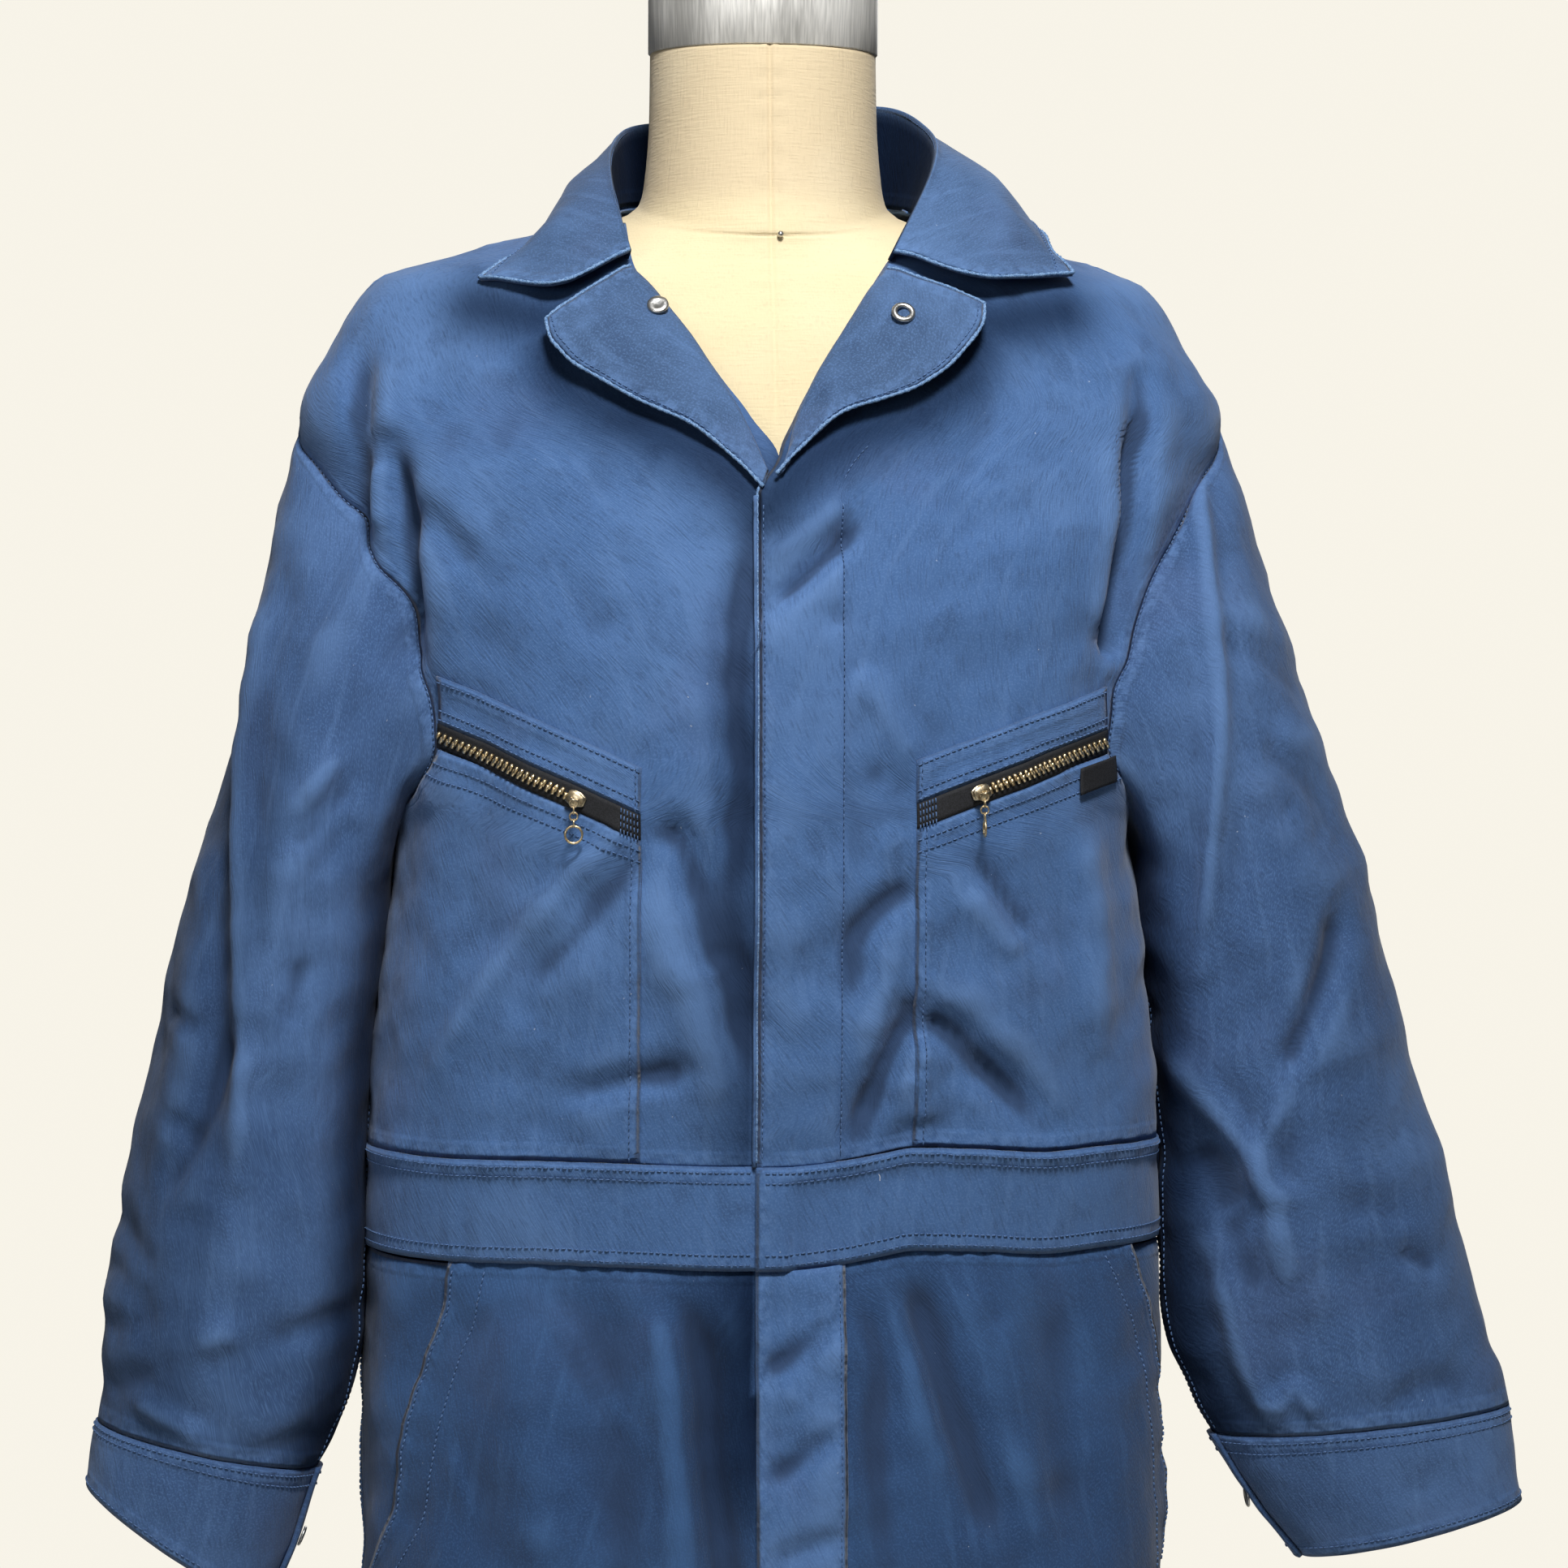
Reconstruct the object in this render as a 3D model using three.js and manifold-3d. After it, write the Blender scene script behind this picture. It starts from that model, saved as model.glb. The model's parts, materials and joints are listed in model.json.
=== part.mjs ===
// A boiler suit on a limbless dress form with its pole and round foot.
// Millimetres, +Z up, front towards -Y, the wearer's left towards +X.
// The origin is on the floor, under the middle of the pole.
import * as THREE from "three";
import { mergeVertices } from "three/addons/utils/BufferGeometryUtils.js";
import Module from "manifold-3d";

const wasm = await Module();
wasm.setup();

// Cloth: one ply of twill, and two plies with their turnings.
const CLOTH = 1.4;
const FOLDED_CLOTH = 2.2;
const SEAM_HALF_GAP = 0.17;
const LAY_GAP = 0.9;
const PANEL_STEPS = 9;

// Heights of the garment's main lines.
const NECK_LEVEL = 1613.6;
const SHOULDER_TIP = 1507;
const ARMPIT = 1300;
const WAIST_TOP = 1134;
const WAIST_BOTTOM = 1083;
const SLASH_END = 914;

// The shoulders lean: above this level the back of a section rises and its front drops.
const LEAN_START = 1520;
const LEAN_RUN = 90;
const LEAN = 0.2;

// The body of the garment, a row for each section: half width, depth in front, depth behind
// and the exponent of the rounded outline.
const BODY_SECTIONS = [
  { level: 1083, half: 206, front: 114, back: 112, round: 2.4 },
  { level: 1134, half: 204, front: 117, back: 112, round: 2.7 },
  { level: 1200, half: 199, front: 127, back: 122, round: 2.7 },
  { level: 1262, half: 194, front: 134, back: 128, round: 2.6 },
  { level: 1300, half: 190, front: 137, back: 130, round: 2.6 },
  { level: 1350, half: 191, front: 138, back: 132, round: 2.6 },
  { level: 1400, half: 200, front: 136, back: 133, round: 2.5 },
  { level: 1440, half: 212, front: 130, back: 130, round: 2.4 },
  { level: 1476, half: 226, front: 121, back: 124, round: 2.3 },
  { level: 1507, half: 237, front: 110, back: 116, round: 2.2 },
  { level: 1545, half: 218, front: 95, back: 104, round: 2.2 },
  { level: 1577, half: 197, front: 80, back: 92, round: 2.2 },
  { level: 1597, half: 130, front: 72, back: 84, round: 2.2 },
  { level: 1614, half: 72, front: 66, back: 76, round: 2.0 },
];

// Where the front and back panels stop at the side: the angle from the centre line of the
// panel, 90 on the side seam and the shoulder seam, less along the armhole.
const ARMHOLE = [
  { level: 1083, front: 90, back: 90 },
  { level: 1300, front: 90, back: 90 },
  { level: 1313, front: 74, back: 79 },
  { level: 1340, front: 59.4, back: 70.1 },
  { level: 1362, front: 59.5, back: 70.4 },
  { level: 1388, front: 63, back: 71.2 },
  { level: 1418, front: 65.2, back: 71.6 },
  { level: 1443, front: 70.1, back: 74.3 },
  { level: 1478, front: 78.4, back: 81.8 },
  { level: 1507, front: 90, back: 90 },
  { level: 1614, front: 90, back: 90 },
];

// The front edge and roll line: distance from the centre line on the wearer's right and left.
const OPENING_EDGE = [
  { level: 1083, right: 0, left: 0 },
  { level: 1477, right: 0, left: 0 },
  { level: 1498, right: 13, left: 8 },
  { level: 1519, right: 28, left: 19 },
  { level: 1559, right: 51, left: 40 },
  { level: 1591, right: 69, left: 57 },
  { level: 1604, right: 71, left: 67 },
  { level: 1614, right: 72, left: 72 },
];

const BODY_LEVELS = [
  1134, 1172, 1210, 1248, 1281, 1300, 1313, 1326, 1340, 1362, 1388, 1418, 1443, 1478, 1507, 1530,
  1552, 1570, 1583, 1595, 1604, 1610,
];

// The turned-back lapels: the roll line and the outer edge in front view, and how far the
// outer edge stands off the front.
const LAPEL_CLEARANCE = 0.6;
const LAPELS = {
  right: [
    { rollX: 5, rollZ: 1470, edgeX: 8, edgeZ: 1462, lift: 3 },
    { rollX: 14, rollZ: 1492, edgeX: 23, edgeZ: 1478, lift: 4 },
    { rollX: 28, rollZ: 1518, edgeX: 44, edgeZ: 1493, lift: 6 },
    { rollX: 41, rollZ: 1539, edgeX: 79, edgeZ: 1510, lift: 9 },
    { rollX: 52, rollZ: 1553, edgeX: 102, edgeZ: 1527, lift: 11 },
    { rollX: 63, rollZ: 1569, edgeX: 108, edgeZ: 1543, lift: 12 },
    { rollX: 69, rollZ: 1576, edgeX: 90, edgeZ: 1562, lift: 8 },
  ],
  left: [
    { rollX: 3, rollZ: 1474, edgeX: -2, edgeZ: 1467, lift: 6 },
    { rollX: 8, rollZ: 1495, edgeX: 11, edgeZ: 1481, lift: 6 },
    { rollX: 19, rollZ: 1519, edgeX: 30, edgeZ: 1496, lift: 8 },
    { rollX: 30, rollZ: 1537, edgeX: 70, edgeZ: 1512, lift: 10 },
    { rollX: 40, rollZ: 1552, edgeX: 96, edgeZ: 1535, lift: 12 },
    { rollX: 50, rollZ: 1568, edgeX: 104, edgeZ: 1553, lift: 13 },
    { rollX: 57, rollZ: 1575, edgeX: 78, edgeZ: 1564, lift: 8 },
  ],
};

// The collar from the wearer's right front, round the back, to the left front: the neck
// seam, the fold at the top of the stand, the middle of the fall and its outer edge.
const COLLAR_STATIONS = [
  { seam: [-71, -70, 1580], fold: [-70, -75, 1584], belly: [-108, -84, 1566], edge: [-146, -60, 1572] },
  { seam: [-74, -41, 1603], fold: [-78, -43, 1620], belly: [-108, -42, 1611], edge: [-140, -36, 1593] },
  { seam: [-74, 6, 1616], fold: [-76, 8, 1648], belly: [-102, 10, 1632], edge: [-132, 12, 1606] },
  { seam: [-52, 58, 1626], fold: [-58, 62, 1667], belly: [-78, 84, 1642], edge: [-94, 104, 1606] },
  { seam: [0, 77.5, 1631], fold: [2, 84, 1672], belly: [1, 108, 1645], edge: [0, 125, 1604] },
  { seam: [52, 58, 1626], fold: [62, 60, 1677], belly: [84, 82, 1650], edge: [101, 102, 1610] },
  { seam: [74, 6, 1616], fold: [84, 8, 1658], belly: [116, 8, 1638], edge: [147, 4, 1609] },
  { seam: [71, -41, 1605], fold: [83, -44, 1632], belly: [118, -44, 1616], edge: [153, -38, 1590] },
  { seam: [57.5, -72, 1580.5], fold: [60, -76, 1584], belly: [104, -84, 1571], edge: [151, -60, 1576] },
];

// The placket lies over both fronts, and the fly over both legs.
const PLACKET_FREE_EDGE = 11;
const PLACKET_STITCHED_EDGE = 30;
const PLACKET_TOP = 1458;
const FLY_END = 935;

// Chest pockets: inner edge, the height of the zip there, its slope outwards and the height
// of the welt above it.
const CHEST_POCKETS = {
  right: { inner: 67, zipZ: 1299, slope: 0.465, welt: 23, slider: 97, turned: false },
  left: { inner: 65.5, zipZ: 1304.4, slope: 0.378, welt: 21, slider: 96, turned: true },
};
const POCKET_EASE = 1.8;
const POCKET_SIDE_MARGIN = 3;
const ARMHOLE_NEAR_X = 170;
const ZIP_HALF_OPENING = 6;
const ZIP_TAPE = 1.0;
const TEETH_HALF_WIDTH = 2.6;
const TEETH_HEIGHT = 1.9;
const SLIDER_LENGTH = 9;
const SLIDER_WIDTH = 7.4;
const SLIDER_HEIGHT = 3.6;
const PULL_LINKS = 4;
const LINK_RADIUS = 1.9;
const LINK_WIRE = 0.45;
const LINK_PITCH = 3.15;
const PULL_RING_RADIUS = 4.1;
const PULL_RING_WIRE = 0.6;
const LUG_RADIUS = 1.7;
const LUG_STANDOFF = 2.75;
const LUG_WIRE = 0.5;

// Trousers and legs, a row for each section: the inner and the outer side of each leg.
const LEG_WIDTHS = [
  { level: 58, rightIn: -46, rightOut: -206, leftIn: -25, leftOut: 150 },
  { level: 400, rightIn: -42, rightOut: -214, leftIn: -26, leftOut: 172 },
  { level: 700, rightIn: -35, rightOut: -219, leftIn: -26, leftOut: 190 },
  { level: 808, rightIn: -26, rightOut: -215, leftIn: -26, leftOut: 200 },
  { level: 838, rightIn: -21, rightOut: -213, leftIn: -21, leftOut: 203 },
  { level: 870, rightIn: -10, rightOut: -210, leftIn: -10, leftOut: 206 },
  { level: 930, rightIn: 0, rightOut: -207, leftIn: 0, leftOut: 207 },
  { level: 1083, rightIn: 0, rightOut: -206, leftIn: 0, leftOut: 206 },
];
// How far the legs have parted, 0 at the seat and 1 below the crotch, and their depths.
const LEG_DEPTHS = [
  { level: 58, parted: 1, front: 60, back: 64, round: 2 },
  { level: 400, parted: 1, front: 76, back: 80, round: 2 },
  { level: 700, parted: 1, front: 96, back: 100, round: 2 },
  { level: 808, parted: 1, front: 106, back: 110, round: 2 },
  { level: 838, parted: 0.48, front: 112, back: 117, round: 2.05 },
  { level: 870, parted: 0.17, front: 118, back: 122, round: 2.15 },
  { level: 930, parted: 0, front: 122, back: 125, round: 2.3 },
  { level: 1083, parted: 0, front: 114, back: 112, round: 2.4 },
];
const LEG_LEVELS = [
  58, 130, 240, 380, 520, 640, 730, 785, 806, 815, 828, 846, 868, 890, 914, 932, 955, 990, 1025,
  1055, 1083,
];
const LEG_STEPS = 6;

// The slanted hip pockets: the angle round the leg at which the front stops.
const SLASH = [
  { level: 58, right: 180, left: 180 },
  { level: 905, right: 180, left: 180 },
  { level: 914, right: 173, left: 176 },
  { level: 943, right: 160, left: 173 },
  { level: 959, right: 156, left: 171 },
  { level: 991, right: 152.5, left: 168 },
  { level: 1009, right: 150, left: 166 },
  { level: 1039, right: 145, left: 162 },
  { level: 1060, right: 140.5, left: 156 },
  { level: 1083, right: 138.5, left: 150 },
];
const PASS_THROUGH_SLOT = 5;
const HIP_PANEL_DROP = CLOTH + 0.6;
const CROTCH_HALF_GAP = 0.5;

// Sleeves, a row for each ring: its lowest point near the body, its highest point outside,
// half its depth and where its middle lies front to back.
const SLEEVES = {
  right: [
    { innerX: 190, innerZ: 1300, outerX: 237, outerZ: 1507, depth: 81, middle: 0 },
    { innerX: 197, innerZ: 1283, outerX: 249, outerZ: 1455, depth: 82, middle: -1 },
    { innerX: 203, innerZ: 1262, outerX: 262, outerZ: 1400, depth: 80, middle: -2 },
    { innerX: 206, innerZ: 1238, outerX: 275, outerZ: 1352, depth: 78, middle: -3 },
    { innerX: 208, innerZ: 1210, outerX: 287, outerZ: 1306, depth: 76, middle: -4 },
    { innerX: 210, innerZ: 1175, outerX: 299, outerZ: 1259, depth: 73, middle: -5 },
    { innerX: 212, innerZ: 1140, outerX: 310, outerZ: 1213, depth: 70, middle: -6 },
    { innerX: 213, innerZ: 1100, outerX: 321, outerZ: 1163, depth: 67, middle: -7 },
    { innerX: 212, innerZ: 1060, outerX: 331, outerZ: 1110, depth: 63, middle: -8 },
    { innerX: 211, innerZ: 1028, outerX: 338, outerZ: 1062, depth: 58, middle: -9 },
    { innerX: 216, innerZ: 1000, outerX: 340, outerZ: 1027, depth: 52, middle: -10 },
    { innerX: 227, innerZ: 975, outerX: 341, outerZ: 1000, depth: 46, middle: -10 },
  ],
  left: [
    { innerX: 190, innerZ: 1300, outerX: 237, outerZ: 1507, depth: 81, middle: 0 },
    { innerX: 197, innerZ: 1283, outerX: 250, outerZ: 1458, depth: 81, middle: 0 },
    { innerX: 203, innerZ: 1262, outerX: 265, outerZ: 1404, depth: 78, middle: -1 },
    { innerX: 206, innerZ: 1238, outerX: 280, outerZ: 1358, depth: 75, middle: -2 },
    { innerX: 208, innerZ: 1210, outerX: 295, outerZ: 1314, depth: 71, middle: -3 },
    { innerX: 210, innerZ: 1175, outerX: 310, outerZ: 1266, depth: 67, middle: -4 },
    { innerX: 211, innerZ: 1140, outerX: 324, outerZ: 1214, depth: 63, middle: -5 },
    { innerX: 211, innerZ: 1100, outerX: 339, outerZ: 1160, depth: 59, middle: -6 },
    { innerX: 211, innerZ: 1062, outerX: 355, outerZ: 1104, depth: 55, middle: -7 },
    { innerX: 212, innerZ: 1034, outerX: 369, outerZ: 1050, depth: 50, middle: -8 },
    { innerX: 219, innerZ: 1008, outerX: 379, outerZ: 1018, depth: 46, middle: -9 },
    { innerX: 232, innerZ: 986, outerX: 382, outerZ: 1000, depth: 42, middle: -10 },
  ],
};
const SLEEVE_HEAD_SHARE = 0.26;
const SLEEVE_STEPS = 16;
const SLEEVE_ROWS = 13;
const SLEEVE_HUB_X = 262;
const ARMHOLE_STANDOFF = 1.4;

// Cuffs, in the same columns: the seam with the sleeve, the middle and the open hem.
const CUFFS = {
  right: [
    { innerX: 227, innerZ: 975, outerX: 341, outerZ: 1000, depth: 46, middle: -10 },
    { innerX: 238, innerZ: 944, outerX: 345, outerZ: 979, depth: 44, middle: -10 },
    { innerX: 252, innerZ: 905, outerX: 348, outerZ: 955, depth: 41, middle: -10 },
  ],
  left: [
    { innerX: 232, innerZ: 986, outerX: 382, outerZ: 1000, depth: 42, middle: -10 },
    { innerX: 251, innerZ: 956, outerX: 387, outerZ: 977, depth: 40, middle: -10 },
    { innerX: 277, innerZ: 922, outerX: 391, outerZ: 950, depth: 37, middle: -10 },
  ],
};
const CUFF_LAP = 0.06;
const CUFF_HUB_X = 300;
const CUFF_SEAM_GAP = 0.8;
const CUFF_SNAP_AT = 0.55;

// Snap fasteners.
const SNAP_CAP_RADIUS = 5.3;
const SNAP_SOCKET_RADIUS = 6;
const SNAP_SOCKET_BORE = 3.1;
const CUFF_SNAP_RADIUS = 4.6;
const SNAP_HEIGHT = 1.6;

// The blank woven label on the left chest pocket.
const LABEL_FROM_X = 147;
const LABEL_TO_X = 165;
const LABEL_FROM_MOUTH = 1.5;
const LABEL_DROP = 13;
const LABEL_THICK = 1;

// The dress form, a row for each section: how far its front drops below its sides and its
// back rises above them, for each millimetre of depth.
const FORM_SECTIONS = [
  { level: 874, half: 160, front: 100, back: 110, round: 2.3, drop: 0, rise: 0 },
  { level: 884, half: 164, front: 104, back: 114, round: 2.3, drop: 0, rise: 0 },
  { level: 960, half: 168, front: 108, back: 120, round: 2.3, drop: 0, rise: 0 },
  { level: 1030, half: 160, front: 102, back: 105, round: 2.3, drop: 0, rise: 0 },
  { level: 1110, half: 136, front: 92, back: 92, round: 2.2, drop: 0, rise: 0 },
  { level: 1190, half: 118, front: 86, back: 84, round: 2.2, drop: 0, rise: 0 },
  { level: 1260, half: 128, front: 94, back: 92, round: 2.2, drop: 0, rise: 0 },
  { level: 1340, half: 146, front: 108, back: 104, round: 2.3, drop: 0, rise: 0 },
  { level: 1400, half: 154, front: 113, back: 110, round: 2.3, drop: 0, rise: 0 },
  { level: 1450, half: 160, front: 109, back: 112, round: 2.3, drop: 0, rise: 0 },
  { level: 1507, half: 176, front: 97, back: 107, round: 2.2, drop: 0, rise: 0 },
  { level: 1545, half: 190, front: 88, back: 98, round: 2.2, drop: 0.038, rise: 0.038 },
  { level: 1572, half: 190.5, front: 78.6, back: 90.6, round: 2.2, drop: 0.12, rise: 0.12 },
  { level: 1584, half: 169.5, front: 74, back: 86, round: 2.2, drop: 0.16, rise: 0.16 },
  { level: 1596, half: 118, front: 68.5, back: 80.5, round: 2.2, drop: 0.2, rise: 0.2 },
  { level: 1606, half: 83, front: 66, back: 74, round: 2.1, drop: 0.24, rise: 0.2 },
  { level: 1616, half: 64, front: 66, back: 66, round: 2.0, drop: 0.3, rise: 0.2 },
  { level: 1628, half: 61, front: 63, back: 60, round: 2.0, drop: 0.27, rise: 0.2 },
  { level: 1660, half: 58.5, front: 57, back: 55, round: 2.0, drop: 0.13, rise: 0.13 },
  { level: 1694, half: 58, front: 54, back: 54, round: 2.0, drop: 0.07, rise: 0.07 },
];
const FORM_STEPS = 28;
const CAP_HEIGHT = 44;
const CAP_RADIUS = 59;
const CAP_DEPTH_SHARE = 0.935;
const PIN_RADIUS = 1.7;
const PIN_LEVEL = 1612;
const PIN_TURN = 0.01;

// The stand under the form.
const BOTTOM_PLATE = 10;
const PLATE_INSET = 4;
const POLE_RADIUS = 12.5;
const POLE_SIDES = 24;
const CLAMP_RADIUS = 20;
const CLAMP_HEIGHT = 26;
const KNOB_RADIUS = 9;
const KNOB_LENGTH = 30;
const FOOT_RADIUS = 210;
const FOOT_THICK = 10;
const HUB_RADIUS = 22;
const HUB_HEIGHT = 44;

const REST_GAP = 0.3;

// Small steps along a surface for its slopes, in degrees and in millimetres.
const ANGLE_NUDGE = 0.3;
const LEVEL_NUDGE = 0.5;

// Colours and finishes.
function finish(color, roughness, metalness) {
  return new THREE.MeshStandardMaterial({ color, roughness, metalness });
}
const navyTwill = finish(0x33507d, 0.85, 0);
const linen = finish(0xe6d3ad, 0.9, 0);
const brushedSteel = finish(0xc9c8c4, 0.35, 1);
const agedBrass = finish(0xa8905c, 0.4, 1);
const nickel = finish(0xb5b2a8, 0.35, 1);
const blackTape = finish(0x1b1c20, 0.8, 0);
const blackIron = finish(0x202124, 0.55, 0.6);
const darkWood = finish(0x5b4632, 0.6, 0);

const suit = new THREE.Group();
const radians = THREE.MathUtils.degToRad;
const smooth = (t) => THREE.MathUtils.smoothstep(t, 0, 1);
const mirror = (side) => (side === "right" ? -1 : 1);

// A column of a table as a smooth curve through its rows that never overshoots them.
function column(table, key, name) {
  const x = table.map((row) => row[key]);
  const y = table.map((row) => row[name]);
  const last = x.length - 1;
  const rise = y.slice(1).map((value, i) => (value - y[i]) / (x[i + 1] - x[i]));
  const slope = y.map((_, i) => {
    if (i === 0 || i === last) return rise[Math.min(i, last - 1)];
    const product = rise[i - 1] * rise[i];
    return product <= 0 ? 0 : (2 * product) / (rise[i - 1] + rise[i]);
  });
  return (at) => {
    const i = Math.max(0, Math.min(last - 1, x.findLastIndex((value) => value <= at)));
    const run = x[i + 1] - x[i];
    const t = THREE.MathUtils.clamp((at - x[i]) / run, 0, 1);
    const bend = t * t * (3 - 2 * t);
    const start = t * (1 - t) * (1 - t) * run;
    const end = t * t * (t - 1) * run;
    return y[i] + (y[i + 1] - y[i]) * bend + slope[i] * start + slope[i + 1] * end;
  };
}

// All columns of a table, each as a curve over its key.
function columns(table, key) {
  const names = Object.keys(table[0]).filter((name) => name !== key);
  return Object.fromEntries(names.map((name) => [name, column(table, key, name)]));
}

const body = columns(BODY_SECTIONS, "level");
const armhole = columns(ARMHOLE, "level");
const openingEdge = columns(OPENING_EDGE, "level");
const legs = { ...columns(LEG_WIDTHS, "level"), ...columns(LEG_DEPTHS, "level") };
const slash = columns(SLASH, "level");
const form = columns(FORM_SECTIONS, "level");

// A point of a rounded outline: angle 0 in front, 90 at the wearer's left, 180 behind.
function outline(angle, half, front, back, round) {
  const sine = Math.sin(radians(angle));
  const cosine = Math.cos(radians(angle));
  const x = half * Math.sign(sine) * Math.abs(sine) ** (2 / round);
  const depth = cosine > 0 ? front : back;
  const y = -depth * Math.sign(cosine) * Math.abs(cosine) ** (2 / round);
  return [x, y];
}

function lean(level) {
  return LEAN * smooth((level - LEAN_START) / LEAN_RUN);
}

function bodyPoint(angle, level) {
  const round = body.round(level);
  const [x, y] = outline(angle, body.half(level), body.front(level), body.back(level), round);
  return new THREE.Vector3(x, y, level + lean(level) * y);
}

// The direction out of the cloth, from the two directions along it.
function bodyNormal(angle, level) {
  const across = bodyPoint(angle + ANGLE_NUDGE, level).sub(bodyPoint(angle - ANGLE_NUDGE, level));
  const up = bodyPoint(angle, level + LEVEL_NUDGE).sub(bodyPoint(angle, level - LEVEL_NUDGE));
  return across.cross(up).normalize();
}

function bodyPointLifted(angle, level, lift) {
  return bodyPoint(angle, level).addScaledVector(bodyNormal(angle, level), lift);
}

// The angle at which the outline reaches a distance from the centre line.
function angleAt(x, level) {
  const share = Math.min(1, Math.abs(x) / body.half(level));
  return (Math.sign(x) * Math.asin(share ** (body.round(level) / 2)) * 180) / Math.PI;
}

// The point of the front that shows at x, z in front view, lifted off the cloth.
function frontSpot(x, z, lift) {
  let level = z;
  for (let i = 0; i < 8; i += 1) {
    const y = bodyPoint(angleAt(x, level), level).y;
    level = z - lean(level) * y;
  }
  return bodyPointLifted(angleAt(x, level), level, lift);
}

function steps(count, from = 0, to = 1) {
  return Array.from({ length: count + 1 }, (_, i) => from + ((to - from) * i) / count);
}

// A closed wall of cloth from a surface place(u, v): its outer face, the same face moved in
// by the thickness, and a rim. Its outer face looks away from hub. The outer rows and
// columns are drawn in by the trims, which leaves the gap at each seam.
function sheet(name, us, vs, place, options = {}) {
  const { thick = CLOTH, loop = false, material = navyTwill, look = [0.5, 0.5], trims = {} } = options;
  const hub = options.hub ?? ((point) => new THREE.Vector3(0, 0, point.z));
  const { low = SEAM_HALF_GAP, high = SEAM_HALF_GAP, first = SEAM_HALF_GAP, last = SEAM_HALF_GAP } = trims;
  const uStep = (us.at(-1) - us[0]) * 1e-3;
  const vStep = (vs.at(-1) - vs[0]) * 1e-3;
  const inU = (u) => (loop ? u : THREE.MathUtils.clamp(u, us[0], us.at(-1)));
  const inV = (v) => THREE.MathUtils.clamp(v, vs[0], vs.at(-1));
  const normal = (u, v) => {
    const across = place(inU(u + uStep), v).sub(place(inU(u - uStep), v));
    const up = place(u, inV(v + vStep)).sub(place(u, inV(v - vStep)));
    return across.cross(up).normalize();
  };
  const lookU = THREE.MathUtils.lerp(us[0], us.at(-1), look[0]);
  const lookV = THREE.MathUtils.lerp(vs[0], vs.at(-1), look[1]);
  const lookPoint = place(lookU, lookV);
  const outward = Math.sign(normal(lookU, lookV).dot(lookPoint.clone().sub(hub(lookPoint))));
  const outer = vs.map((v) => us.map((u) => place(u, v)));
  const inner = vs.map((v, i) =>
    us.map((u, j) => outer[i][j].clone().addScaledVector(normal(u, v), -outward * thick)),
  );
  const draw = (grid, i, j, toI, toJ, gap) => {
    const point = grid[i][j];
    point.addScaledVector(grid[toI][toJ].clone().sub(point).normalize(), gap);
  };
  const topRow = vs.length - 1;
  const endColumn = us.length - 1;
  for (const grid of [outer, inner]) {
    us.forEach((_, j) => {
      draw(grid, 0, j, 1, j, low);
      draw(grid, topRow, j, topRow - 1, j, high);
    });
    if (loop) continue;
    vs.forEach((_, i) => {
      draw(grid, i, 0, i, 1, first);
      draw(grid, i, endColumn, i, endColumn - 1, last);
    });
  }
  const width = us.length;
  const cells = loop ? width : width - 1;
  const spot = (layer, i, j) => (layer * vs.length + i) * width + (j % width);
  const index = [];
  const quad = (a, b, c, d) => index.push(a, b, c, a, c, d);
  for (let i = 0; i < topRow; i += 1) {
    for (let j = 0; j < cells; j += 1) {
      index.push(spot(0, i, j), spot(0, i, j + 1), spot(0, i + 1, j + 1));
      index.push(spot(0, i, j), spot(0, i + 1, j + 1), spot(0, i + 1, j));
      index.push(spot(1, i, j), spot(1, i + 1, j + 1), spot(1, i, j + 1));
      index.push(spot(1, i, j), spot(1, i + 1, j), spot(1, i + 1, j + 1));
    }
  }
  for (let j = 0; j < cells; j += 1) {
    quad(spot(0, 0, j + 1), spot(0, 0, j), spot(1, 0, j), spot(1, 0, j + 1));
    quad(spot(0, topRow, j), spot(0, topRow, j + 1), spot(1, topRow, j + 1), spot(1, topRow, j));
  }
  for (let i = 0; i < topRow && !loop; i += 1) {
    quad(spot(0, i, 0), spot(0, i + 1, 0), spot(1, i + 1, 0), spot(1, i, 0));
    quad(spot(0, i + 1, cells), spot(0, i, cells), spot(1, i, cells), spot(1, i + 1, cells));
  }
  return closedMesh(name, [...outer.flat(), ...inner.flat()], index, material);
}

// A mesh from points and triangles, turned so that its faces point out.
function closedMesh(name, points, index, material) {
  let volume = 0;
  for (let i = 0; i < index.length; i += 3) {
    const [a, b, c] = [points[index[i]], points[index[i + 1]], points[index[i + 2]]];
    volume += a.dot(b.clone().cross(c));
  }
  const facesOut = volume > 0 ? index : index.toReversed();
  const geometry = new THREE.BufferGeometry().setFromPoints(points).setIndex(facesOut);
  geometry.computeVertexNormals();
  return addMesh(name, geometry, material);
}

function addMesh(name, geometry, material, parent = suit) {
  const mesh = new THREE.Mesh(geometry, material);
  mesh.name = name;
  parent.add(mesh);
  return mesh;
}

// A geometry as a solid that can be joined or cut, and back again.
function solidOf(geometry) {
  const bare = geometry.clone();
  bare.deleteAttribute("normal");
  bare.deleteAttribute("uv");
  const merged = mergeVertices(bare, 1e-4);
  const vertProperties = new Float32Array(merged.attributes.position.array);
  const triVerts = new Uint32Array(merged.index.array);
  return new wasm.Manifold(new wasm.Mesh({ numProp: 3, vertProperties, triVerts }));
}

function geometryOf(solid) {
  const made = solid.getMesh();
  const geometry = new THREE.BufferGeometry();
  geometry.setAttribute("position", new THREE.BufferAttribute(new Float32Array(made.vertProperties), 3));
  geometry.setIndex(new THREE.BufferAttribute(new Uint32Array(made.triVerts), 1));
  geometry.computeVertexNormals();
  return geometry;
}

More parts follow.
